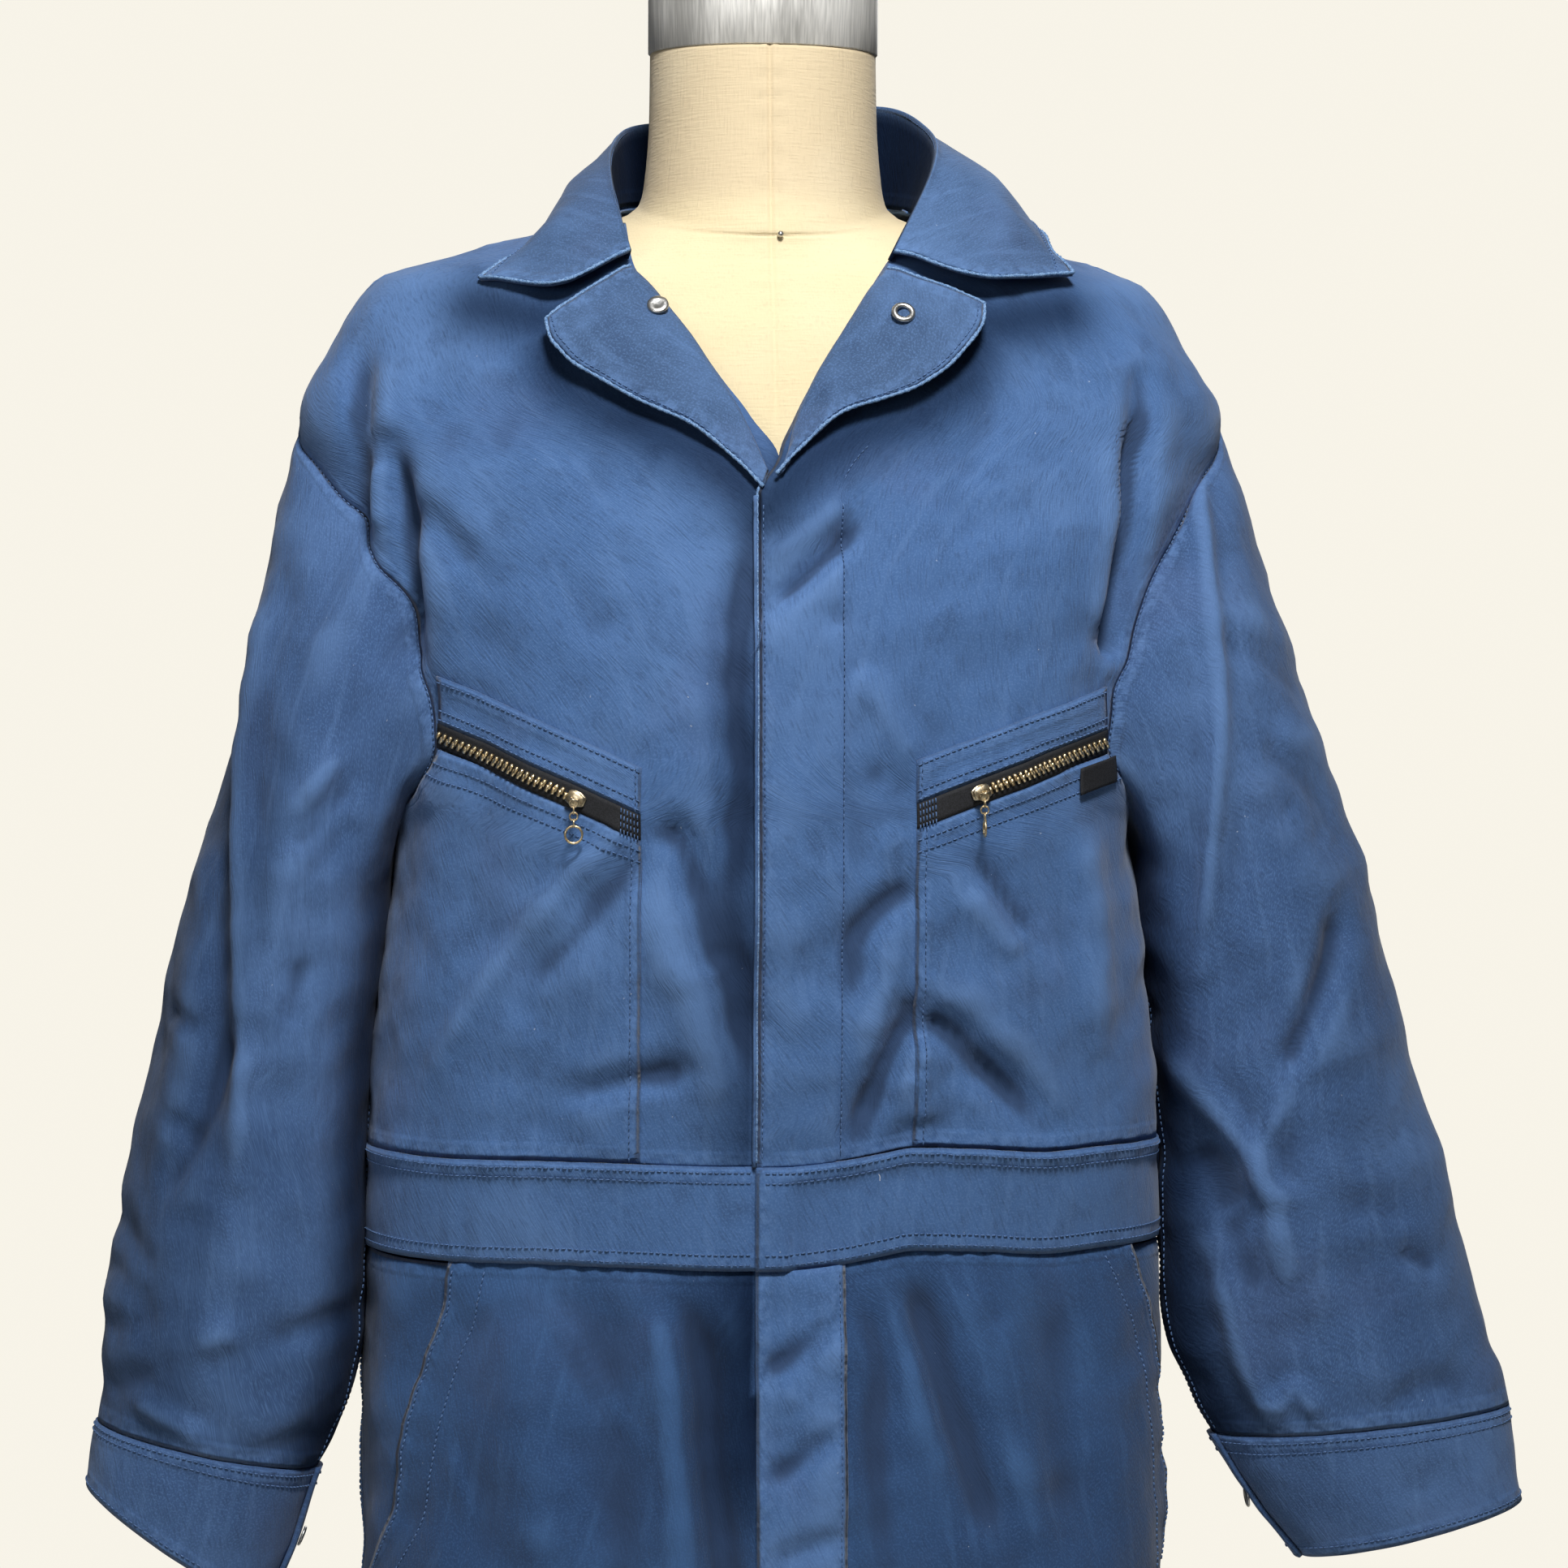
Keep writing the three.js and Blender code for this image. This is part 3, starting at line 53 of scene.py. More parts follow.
RANDOM = np.random.default_rng(4)

# curves and tables


def smooth(t):
    """Rises from 0 to 1 as t does: three t squared less two t cubed."""
    t = np.clip(t, 0, 1)
    return t * t * (3 - 2 * t)


def lerp(a, b, t):
    """The point a share t of the way from a to b."""
    return a + (b - a) * t


def curve(xs, ys):
    """A smooth curve through the rows that never overshoots them.

    Between two rows it is the cubic with the rows' values and slopes. A row's slope is the
    harmonic mean of the slopes on its two sides, or 0 where they differ in sign.
    """
    xs = np.array(xs, float)
    ys = np.array(ys, float)
    rise = np.diff(ys) / np.diff(xs)
    slope = np.zeros_like(ys)
    slope[0] = rise[0]
    slope[-1] = rise[-1]
    product = rise[:-1] * rise[1:]
    total = np.where(product > 0, rise[:-1] + rise[1:], 1)
    slope[1:-1] = np.where(product > 0, 2 * product / total, 0)

    def value(at):
        i = np.clip(np.searchsorted(xs, at, side="right") - 1, 0, len(xs) - 2)
        run = xs[i + 1] - xs[i]
        t = np.clip((at - xs[i]) / run, 0, 1)
        start = t * (1 - t) * (1 - t) * run
        end = t * t * (t - 1) * run
        return ys[i] + (ys[i + 1] - ys[i]) * smooth(t) + slope[i] * start + slope[i + 1] * end

    return value


def table(names, rows):
    """Each named column as a smooth curve over the first column."""
    values = np.array(rows, float).T
    return {name: curve(values[0], column) for name, column in zip(names.split()[1:], values[1:])}


def through(points, tension, t):
    """A smooth line through points, t from 0 to 1: cubics with slope tension times (next less
    previous). points has shape (..., count, 3) and t the shape before it, or any if shared."""
    count = points.shape[-2]
    before = 2 * points[..., :1, :] - points[..., 1:2, :]
    after = 2 * points[..., -1:, :] - points[..., -2:-1, :]
    padded = np.concatenate([before, points, after], axis=-2)
    at = np.clip(t, 0, 1) * (count - 1)
    i = np.minimum(at.astype(int), count - 2)
    w = (at - i)[..., None]
    if points.ndim == 2:
        p0, p1, p2, p3 = (padded[i + k] for k in range(4))
    else:
        pick = i[..., None, None]
        p0, p1, p2, p3 = (np.take_along_axis(padded, pick + k, axis=-2)[..., 0, :] for k in range(4))
    m1 = tension * (p2 - p0)
    m2 = tension * (p3 - p1)
    w2 = w * w
    w3 = w2 * w
    return (2 * p1 - 2 * p2 + m1 + m2) * w3 + (3 * p2 - 3 * p1 - 2 * m1 - m2) * w2 + m1 * w + p1


def unit(vectors):
    """The same directions with length 1."""
    size = np.linalg.norm(vectors, axis=-1, keepdims=True)
    return vectors / np.maximum(size, 1e-9)


# sizes of the suit

WAIST_TOP = 1134
WAIST_BOTTOM = 1083
ARMPIT = 1300
SHOULDER_TIP = 1507
NECK_LEVEL = 1613.6
FRONT_TOP = 1610
LEAN_START = 1520
LEAN_RUN = 90
LEAN = 0.2
ONE_PLY = 1.2
TWO_PLIES = 2.2

body = table("level half front back round", [
    (1083, 203, 114, 112, 2.4),
    (1134, 199.5, 117, 112, 2.7),
    (1200, 194, 127, 122, 2.7),
    (1262, 187, 134, 128, 2.6),
    (1300, 183.5, 137, 130, 2.6),
    (1350, 187, 138, 132, 2.6),
    (1400, 198, 136, 133, 2.5),
    (1440, 212, 130, 130, 2.4),
    (1476, 226, 121, 124, 2.3),
    (1507, 237, 110, 116, 2.2),
    (1545, 218, 95, 104, 2.2),
    (1577, 197, 80, 92, 2.2),
    (1597, 130, 72, 84, 2.2),
    (1614, 72, 66, 76, 2.0),
])
armhole = table("level front back", [
    (1083, 90, 90),
    (1300, 90, 90),
    (1313, 74, 79),
    (1340, 59.4, 70.1),
    (1362, 59.5, 70.4),
    (1388, 63, 71.2),
    (1418, 65.2, 71.6),
    (1443, 70.1, 74.3),
    (1478, 78.4, 81.8),
    (1507, 90, 90),
    (1614, 90, 90),
])
opening_edge = table("level right left", [
    (1083, 0, 0),
    (1477, 0, 0),
    (1498, 13, 8),
    (1519, 28, 19),
    (1559, 51, 40),
    (1591, 69, 57),
    (1604, 71, 67),
    (1614, 72, 72),
])
lapel_rows = {
    "right": table("at rollX rollZ edgeX edgeZ lift", [
        (0 / 6, 5, 1470, 8, 1462, 3),
        (1 / 6, 14, 1492, 23, 1478, 4),
        (2 / 6, 28, 1518, 44, 1493, 6),
        (3 / 6, 41, 1539, 79, 1510, 9),
        (4 / 6, 51, 1553, 101, 1523, 11),
        (5 / 6, 60, 1565, 108, 1532, 12),
        (6 / 6, 70, 1576, 110, 1541, 11),
    ]),
    "left": table("at rollX rollZ edgeX edgeZ lift", [
        (0 / 6, 3, 1474, -2, 1467, 6),
        (1 / 6, 8, 1495, 11, 1481, 6),
        (2 / 6, 19, 1519, 30, 1496, 8),
        (3 / 6, 30, 1537, 69, 1511, 10),
        (4 / 6, 39, 1551, 88, 1525, 12),
        (5 / 6, 47, 1563, 100, 1541, 13),
        (6 / 6, 57, 1575, 102, 1551, 11),
    ]),
}
COLLAR_SEAM = [(-71, -70, 1580), (-74, -41, 1603), (-74, 6, 1616), (-52, 58, 1626), (0, 77.5, 1631),
               (52, 58, 1626), (74, 6, 1616), (71, -41, 1605), (57.5, -72, 1580.5)]
COLLAR_FOLD = [(-70, -75, 1584), (-78, -43, 1620), (-76, 8, 1648), (-58, 62, 1667), (2, 84, 1672),
               (62, 60, 1677), (84, 8, 1658), (83, -44, 1632), (60, -76, 1584)]
COLLAR_BELLY = [(-108, -84, 1566), (-104, -42, 1608), (-98, 10, 1630), (-78, 84, 1642), (1, 108, 1645),
                (84, 82, 1650), (116, 8, 1638), (118, -44, 1616), (104, -84, 1571)]
COLLAR_EDGE = [(-144, -60, 1571), (-123, -36, 1589), (-112, 12, 1604), (-94, 104, 1606), (0, 125, 1604),
               (101, 102, 1610), (137, 4, 1608), (145, -38, 1590), (151, -60, 1576)]
PLACKET_FREE_EDGE = -11
PLACKET_STITCH = 30
PLACKET_TOP = 1458
PLACKET_LIFT = 3.1
FLY_END = 935
CHEST_POCKETS = {
    "right": {"inner": 67, "zip": 1299, "slope": 0.465, "welt": 23, "slider": 97, "sideways": False},
    "left": {"inner": 65.5, "zip": 1304.4, "slope": 0.378, "welt": 21, "slider": 96, "sideways": True},
}
ZIP_HALF_OPENING = 6
POCKET_LIFT = 1.5
POCKET_EASE = 1.8
leg_rows = table("level rightIn rightOut leftIn leftOut", [
    (58, -46, -206, -25, 150),
    (400, -42, -214, -26, 172),
    (700, -35, -219, -26, 190),
    (808, -26, -215, -26, 200),
    (838, -21, -213, -21, 203),
    (870, -10, -210, -10, 206),
    (930, 0, -204, 0, 206),
    (1083, 0, -203, 0, 203.5),
])
leg_depths = table("level parted front back round", [
    (58, 1, 60, 64, 2),
    (400, 1, 76, 80, 2),
    (700, 1, 96, 100, 2),
    (808, 1, 106, 110, 2),
    (838, 0.48, 112, 117, 2.05),
    (870, 0.17, 118, 122, 2.15),
    (930, 0, 122, 125, 2.3),
    (1083, 0, 114, 112, 2.4),
])
slash = table("level right left", [
    (58, 180, 180),
    (905, 180, 180),
    (914, 173, 176),
    (943, 160, 173),
    (959, 156, 171),
    (991, 152.5, 168),
    (1009, 150, 166),
    (1039, 145, 162),
    (1060, 140.5, 156),
    (1083, 138.5, 150),
])
SLASH_END = 914
SLOT = 1.5


def rings(rows):
    """Rows of a sleeve or cuff as curves over 0 to 1, evenly spaced."""
    steps = [(i / (len(rows) - 1), *row) for i, row in enumerate(rows)]
    return table("at innerX innerZ outerX outerZ depth middle", steps)


sleeve_rings = {
    "right": rings([
        (188, 1300, 236, 1507, 81, 0),
        (189.5, 1283, 247, 1455, 82, -1),
        (189.5, 1262, 259, 1400, 80, -2),
        (191, 1238, 271, 1352, 78, -3),
        (195, 1210, 282, 1306, 76, -4),
        (199, 1175, 294, 1259, 73, -5),
        (199.5, 1140, 305, 1213, 70, -6),
        (202, 1100, 315, 1163, 67, -7),
        (202, 1060, 325, 1110, 63, -8),
        (206.5, 1028, 333, 1062, 58, -9),
        (216, 1000, 336, 1027, 52, -10),
        (227, 975, 339, 1000, 46, -10),
    ]),
    "left": rings([
        (187, 1300, 239, 1507, 81, 0),
        (187.5, 1283, 253, 1458, 81, 0),
        (189, 1262, 268, 1404, 78, -1),
        (191, 1238, 283, 1358, 75, -2),
        (195, 1210, 298, 1314, 71, -3),
        (199, 1175, 313, 1266, 67, -4),
        (202, 1140, 327, 1214, 63, -5),
        (204, 1100, 342, 1160, 59, -6),
        (203.5, 1062, 357, 1104, 55, -7),
        (208, 1034, 371, 1050, 50, -8),
        (219, 1008, 382, 1018, 46, -9),
        (232, 986, 386, 1000, 42, -10),
    ]),
}
cuff_rings = {
    "right": rings([
        (227, 975, 339, 1000, 46, -10),
        (238, 944, 342, 985, 44, -10),
        (252, 905, 344, 968, 41, -10),
    ]),
    "left": rings([
        (232, 986, 386, 1000, 42, -10),
        (251, 956, 390, 977, 40, -10),
        (277, 922, 394, 951, 37, -10),
    ]),
}
SLEEVE_HEAD_SHARE = 0.26
ARMHOLE_STANDOFF = 0.1
CUFF_LAP = 0.06

# the folds

# Each fold: height of the ridge, or depth below zero of the trough, its half width, and its
# path in front view (x, z). Those of the back are seen in the same x and z.
BODY_FRONT_FOLDS = [
    (-5, 12, [(-14, 1440), (-17, 1412), (-22, 1365), (-19, 1315), (-23, 1268), (-19, 1209), (-17, 1151)]),
    (-4, 9, [(-60, 1297), (-46, 1291), (-36, 1244), (-28, 1229)]),
    (3.5, 14, [(-67, 1272), (-44, 1217), (-19, 1155)]),
    (2, 6, [(-69, 1307), (-103, 1270), (-138, 1229), (-177, 1159)]),
    (-2.2, 8, [(-62, 1290), (-90, 1258), (-125, 1215)]),
    (1.3, 4, [(-87, 1291), (-122, 1256)]),
    (-3, 8, [(-103, 1168), (-71, 1176), (-40, 1182)]),
    (-5, 9, [(-203, 1542), (-205, 1486), (-203, 1434)]),
    (-7, 8, [(-188, 1488), (-184, 1449), (-182, 1425), (-176, 1386)]),
    (3, 6, [(-194, 1480), (-193, 1445)]),
    (-2.5, 10, [(-182, 1460), (-145, 1424)]),
    (-1.2, 12, [(-106, 1521), (-142, 1478)]),
    (-1.5, 22, [(-120, 1260), (-112, 1180), (-116, 1140)]),
    (-4, 5, [(-5, 1404), (22, 1428), (34, 1443)]),
    (3, 6, [(-9, 1424), (14, 1441), (32, 1455)]),
    (-1.5, 6, [(22, 1400), (30, 1400)]),
    (2.5, 9, [(34, 1377), (69, 1330)]),
    (-1.4, 8, [(42, 1328), (65, 1315)]),
    (-3.5, 8, [(65, 1272), (48, 1260), (30, 1240)]),
    (2, 8, [(48, 1293), (58, 1289)]),
    (-2, 16, [(6, 1233), (25, 1233)]),
    (-5, 7, [(65, 1209), (50, 1178), (38, 1147)]),
    (-6, 10, [(69, 1209), (92, 1190), (131, 1147)]),
    (3, 10, [(65, 1178), (69, 1147)]),
    (3, 9, [(38, 1194), (57, 1244)]),
    (-3, 9, [(92, 1291), (124, 1244)]),
    (2.5, 8, [(88, 1272), (120, 1235)]),
    (3, 10, [(147, 1307), (157, 1248), (161, 1190)]),
    (-2, 12, [(104, 1521), (92, 1463)]),
    (-8, 7, [(184, 1521), (179, 1449), (168, 1395), (163, 1390)]),
]
BODY_BACK_FOLDS = [
    (-6, 12, [(-60, 1150), (-70, 1200), (-66, 1260)]),
    (4, 11, [(-92, 1146), (-104, 1190), (-120, 1240)]),
    (-5, 10, [(-128, 1148), (-140, 1200), (-150, 1260)]),
    (5, 12, [(-24, 1148), (-30, 1205), (-22, 1262)]),
    (-5, 11, [(20, 1146), (14, 1196), (22, 1240)]),
    (4, 12, [(58, 1146), (66, 1200), (60, 1270)]),
    (-6, 11, [(96, 1148), (110, 1204), (124, 1256)]),
    (4, 10, [(138, 1148), (146, 1200), (158, 1262)]),
    (-6, 12, [(-168, 1330), (-150, 1390), (-158, 1450)]),
    (-6, 12, [(166, 1336), (152, 1392), (160, 1452)]),
    (3, 10, [(-140, 1340), (-120, 1400), (-128, 1462)]),
    (3, 10, [(140, 1330), (122, 1396), (130, 1456)]),
    (-2.5, 20, [(-60, 1440), (0, 1456), (64, 1444)]),
]
LEG_FRONT_FOLDS = [
    (-8.5, 12, [(-48, 1081), (-36, 1034), (-34, 995), (-27, 943), (-24, 880)]),
    (3, 10, [(-58, 1073), (-50, 1010), (-44, 943)]),
    (-2.5, 6, [(30, 1057), (10, 1045), (-7, 1034)]),
    (-2.5, 6, [(30, 1006), (-5, 983)]),
    (2, 9, [(10, 1026), (0, 1022)]),
    (-2, 6, [(30, 956), (-5, 946)]),
    (-7, 13, [(61, 1084), (77, 1034), (92, 995), (116, 943)]),
    (3, 9, [(53, 1073), (69, 1026), (88, 975)]),
    (-3.5, 9, [(38, 1073), (50, 1034), (46, 995), (53, 943)]),
    (-2.5, 8, [(104, 1053), (112, 1053)]),
    (1.2, 4, [(-149, 1061), (-118, 1069), (-79, 1018), (-64, 995)]),
    (1.2, 3.5, [(-161, 995), (-149, 960)]),
    (1, 4, [(-110, 987), (-79, 956)]),
    (-6, 11, [(-30, 880), (-70, 850), (-120, 838)]),
    (5, 12, [(-36, 846), (-84, 812), (-140, 800)]),
    (-6, 11, [(30, 884), (72, 856), (124, 842)]),
    (4, 12, [(40, 842), (90, 812), (140, 806)]),
    (-6, 12, [(-180, 640), (-130, 602), (-80, 590)]),
    (5, 12, [(-70, 560), (-120, 566), (-190, 600)]),
    (-6, 12, [(30, 600), (80, 596), (150, 632)]),
    (5, 12, [(50, 640), (100, 566), (160, 560)]),
    (-5, 10, [(-190, 240), (-140, 206), (-70, 200)]),
    (5, 9, [(-60, 160), (-120, 158), (-190, 190)]),
    (-5, 9, [(-180, 130), (-120, 106), (-60, 112)]),
    (-5, 10, [(0, 210), (60, 196), (130, 232)]),
    (5, 9, [(-4, 150), (60, 156), (134, 176)]),
    (-5, 9, [(0, 112), (60, 100), (134, 124)]),
    (-3, 16, [(-128, 900), (-132, 700), (-126, 420), (-128, 300)]),
    (-4, 20, [(-92, 1070), (-84, 1010), (-78, 940), (-82, 880)]),
    (3.5, 18, [(-128, 1060), (-122, 1000), (-120, 940)]),
    (-4.5, 18, [(140, 1072), (142, 1010), (150, 950)]),
    (3, 18, [(24, 1070), (20, 1000), (18, 950)]),
    (3, 14, [(-96, 780), (-100, 660)]),
    (-3, 16, [(112, 900), (104, 700), (86, 420), (80, 300)]),
    (3, 14, [(70, 780), (66, 640)]),
]
LEG_BACK_FOLDS = [
    (-6, 12, [(-150, 900), (-100, 868), (-40, 850)]),
    (6, 12, [(-160, 868), (-100, 838), (-50, 820)]),
    (-5, 11, [(-170, 836), (-110, 806), (-60, 790)]),
    (-6, 12, [(150, 904), (100, 870), (40, 848)]),
    (6, 12, [(156, 870), (100, 836), (50, 818)]),
    (-5, 11, [(160, 836), (106, 806), (56, 790)]),
    (-7, 12, [(-190, 620), (-130, 586), (-60, 600)]),
    (5, 11, [(-190, 586), (-130, 556), (-60, 566)]),
    (-6, 11, [(-180, 552), (-130, 526), (-66, 540)]),
    (-7, 12, [(160, 616), (100, 590), (30, 606)]),
    (5, 11, [(160, 580), (100, 558), (30, 570)]),
    (-6, 11, [(150, 548), (96, 526), (34, 540)]),
    (-5, 10, [(-190, 230), (-130, 200), (-70, 214)]),
    (5, 9, [(-190, 160), (-130, 156), (-66, 176)]),
    (-5, 10, [(130, 226), (70, 200), (6, 214)]),
    (5, 9, [(130, 164), (70, 154), (6, 170)]),
    (-4, 14, [(-70, 1050), (-84, 980), (-70, 920)]),
    (-4, 14, [(74, 1050), (88, 984), (76, 926)]),
    (3, 12, [(-130, 1052), (-140, 990)]),
    (3, 12, [(134, 1052), (142, 996)]),
]
SLEEVE_FRONT_FOLDS = {
    "right": [
        (4, 6, [(-249, 1421), (-254, 1378), (-262, 1325), (-262, 1193), (-264, 1124)]),
        (-3, 10, [(-261, 1421), (-266, 1378), (-274, 1325), (-274, 1193), (-276, 1124)]),
        (-2.4, 8, [(-204, 1322), (-240, 1286)]),
        (-1.8, 7, [(-206, 1304), (-228, 1272)]),
        (2.5, 6, [(-211, 1335), (-231, 1312)]),
        (-2.5, 7, [(-229, 1236), (-239, 1200)]),
        (-4, 8, [(-264, 1200), (-275, 1177), (-287, 1144), (-303, 1111)]),
        (-2, 6, [(-300, 1210), (-284, 1197)]),
        (-2, 6, [(-298, 1157), (-284, 1144)]),
        (-2, 8, [(-330, 1108), (-304, 1076)]),
        (-1.4, 7, [(-332, 1082), (-306, 1062)]),
        (-2.3, 9, [(-334, 1046), (-300, 1060)]),
        (-1.8, 8, [(-334, 1018), (-304, 1030)]),
        (2.5, 6, [(-316, 1015), (-280, 996)]),
        (-2, 8, [(-248, 1044), (-207, 1056)]),
        (-2, 8, [(-262, 984), (-222, 995)]),
        (2, 8, [(-284, 1044), (-262, 1050)]),
    ],
    "left": [
        (4, 6, [(207, 1530), (217, 1474), (219, 1404), (223, 1358), (220, 1292), (218, 1225)]),
        (-2.6, 10, [(222, 1391), (237, 1391), (257, 1381), (276, 1362)]),
        (1.8, 8, [(222, 1402), (256, 1396)]),
        (-2.2, 9, [(236, 1366), (262, 1352)]),
        (-3, 9, [(244, 1342), (273, 1322), (290, 1296)]),
        (-2.2, 10, [(256, 1312), (283, 1290)]),
        (-4.5, 8, [(286, 1259), (283, 1233), (266, 1193), (257, 1177)]),
        (3, 7, [(257, 1167), (247, 1121), (270, 1111)]),
        (4, 7, [(200, 1193), (227, 1154), (250, 1118), (260, 1075)]),
        (-4, 12, [(214, 1137), (234, 1104)]),
        (-2.2, 9, [(230, 1102), (250, 1062)]),
        (3, 6, [(224, 1088), (243, 1022), (257, 999)]),
        (-1.5, 8, [(290, 1110), (328, 1099)]),
        (-3, 7, [(320, 1084), (343, 1075)]),
        (-2.3, 9, [(312, 1006), (343, 1015), (362, 1010)]),
        (3, 6, [(257, 999), (266, 1015), (280, 999)]),
    ],
}
SLEEVE_BACK_FOLDS = {
    "right": [
        (-5, 8, [(-222, 1330), (-252, 1352)]),
        (3, 8, [(-214, 1290), (-256, 1322)]),
        (-5, 9, [(-300, 1200), (-262, 1184), (-232, 1196)]),
        (4, 9, [(-306, 1168), (-262, 1150), (-230, 1160)]),
        (-5, 9, [(-310, 1136), (-268, 1116), (-232, 1124)]),
        (3, 8, [(-318, 1098), (-270, 1080)]),
        (-4, 8, [(-326, 1062), (-280, 1046), (-236, 1052)]),
    ],
    "left": [
        (-5, 8, [(224, 1334), (256, 1356)]),
        (3, 8, [(216, 1292), (262, 1326)]),
        (-5, 9, [(304, 1204), (264, 1190), (234, 1200)]),
        (4, 9, [(314, 1170), (266, 1154), (232, 1164)]),
        (-5, 9, [(322, 1136), (272, 1120), (232, 1130)]),
        (3, 8, [(336, 1098), (286, 1080)]),
        (-4, 8, [(350, 1060), (300, 1046), (240, 1056)]),
    ],
}


def drawn_path(points):
    """The fold's path with four short steps for each long one, rounded at its corners."""
    points = np.array([(x, 0, z) for x, z in points], float)
    if len(points) < 3:
        return points[:, [0, 2]]
    count = 4 * (len(points) - 1) + 1
    return through(points, 0.5, np.linspace(0, 1, count))[:, [0, 2]]


def prepared(folds, deeper):
    """Folds with their paths rounded and their heights made greater."""
    return [(height * deeper, width, drawn_path(path)) for height, width, path in folds]


def near_path(path, x, z):
    """Distance of each x, z from the path, and how far along it the nearest spot lies, 0 to 1."""
    nearest = np.full(np.shape(x), 1e9)
    along = np.zeros(np.shape(x))
    parts = len(path) - 1
    for i in range(parts):
        (ax, az), (bx, bz) = path[i], path[i + 1]
        run = (bx - ax) ** 2 + (bz - az) ** 2 + 1e-9
        t = np.clip(((x - ax) * (bx - ax) + (z - az) * (bz - az)) / run, 0, 1)
        gap = np.hypot(x - ax - t * (bx - ax), z - az - t * (bz - az))
        closer = gap < nearest
        nearest = np.where(closer, gap, nearest)
        along = np.where(closer, (i + t) / parts, along)
    return nearest, along


def fold_height(folds, x, z):
    """Sum of the folds: height times a bell of the distance over the width, with a shallow
    opposite shoulder beside it, and less height towards both ends of the path."""
    total = np.zeros(np.shape(x))
    for height, width, path in folds:
        nearest, along = near_path(path, x, z)
        spread = (nearest / width) ** 2
        bell = (np.exp(-spread) - 0.3 * np.exp(-spread / 5)) / 0.7
        ends = 0.3 + 0.7 * smooth(np.minimum(along, 1 - along) * 5)
        total = total + height * bell * ends
    return total


BODY_DEEPER = 1.65
LEG_DEEPER = 1.35
SLEEVE_DEEPER = 1.5
body_front_folds = prepared(BODY_FRONT_FOLDS, BODY_DEEPER)
body_back_folds = prepared(BODY_BACK_FOLDS, BODY_DEEPER)
leg_front_folds = prepared(LEG_FRONT_FOLDS, LEG_DEEPER)
leg_back_folds = prepared(LEG_BACK_FOLDS, LEG_DEEPER)
sleeve_front_folds = {side: prepared(SLEEVE_FRONT_FOLDS[side], SLEEVE_DEEPER) for side in SIDES}
sleeve_back_folds = {side: prepared(SLEEVE_BACK_FOLDS[side], SLEEVE_DEEPER) for side in SIDES}

# Soft unevenness of worn cloth: waves in all directions, of seeded lengths and heights.
WAVE_SIZES = [(90, 0.7), (70, 0.6), (52, 0.5), (44, 0.45), (30, 0.28), (22, 0.2), (17, 0.16)]
WAVES = [(RANDOM.normal(size=3), RANDOM.uniform(0, 6.28), length, height)
         for length, height in WAVE_SIZES for _ in range(3)]


def uneven(points):
    """Sum of sine waves through space: height times sine of (distance along its direction over
    its length)."""
    total = np.zeros(points.shape[:-1])
    for direction, phase, length, height in WAVES:
        way = direction / np.linalg.norm(direction)
        total = total + height * 0.7 * np.sin(points @ way * (6.2832 / length) + phase)
    return total


# the surfaces of the suit

CALM_SPOTS = [(-97, 1313), (96, 1316)]
CALM_RADIUS = 16
waist_rise_front = curve([-210, -160, -120, -80, -20, 0, 30, 50, 66, 98, 135, 168, 210],
                         [6, 3.5, 4, 3, 1, 1, 4, 8, 11, 9.5, 6.5, 8, 8])
WAIST_RISE_BACK = 4


def sign_of(side):
    """-1 on the wearer's right, 1 on the left."""
    return -1 if side == "right" else 1


def polar(angle, rounding):
    """The direction from the centre, in radians, of the outline's point at its own angle in
    degrees: its tangent is the tangent of the angle to the power of 2 over the rounding."""
    a = np.radians(angle)
    across = np.sign(np.sin(a)) * np.abs(np.sin(a)) ** (2 / rounding)
    along = np.sign(np.cos(a)) * np.abs(np.cos(a)) ** (2 / rounding)
    return np.arctan2(across, along)


def outline(turn, half, front, back, rounding):
    """A rounded outline: the distance out at a turn is 1 over the (sine to the rounding plus
    cosine to the rounding) to the 1 over the rounding, stretched to half and depth."""
    s = np.sin(turn)
    c = np.cos(turn)
    out = (np.abs(s) ** rounding + np.abs(c) ** rounding) ** (-1 / rounding)
    depth = np.where(c > 0, front, back)
    return half * s * out, -depth * c * out


def section(sizes, turn, level):
    """The outline at a level of a table with half, front, back and round."""
    return outline(turn, *(sizes[name](level) for name in ("half", "front", "back", "round")))


def lean(level):
    """How far a section's back rises for each millimetre of depth."""
    return LEAN * smooth((level - LEAN_START) / LEAN_RUN)


def trunk_base(turn, level):
    """The body without folds: its outline at a level, tilted by the lean of the shoulders."""
    x, y = section(body, turn, level)
    return np.stack([x, y, level + lean(level) * y], axis=-1)


def normal_of(place, u, v, du, dv):
    """The direction out of a surface: the step across it crossed with the step up it."""
    across = place(u + du, v) - place(u - du, v)
    up = place(u, v + dv) - place(u, v - dv)
    return unit(np.cross(across, up))


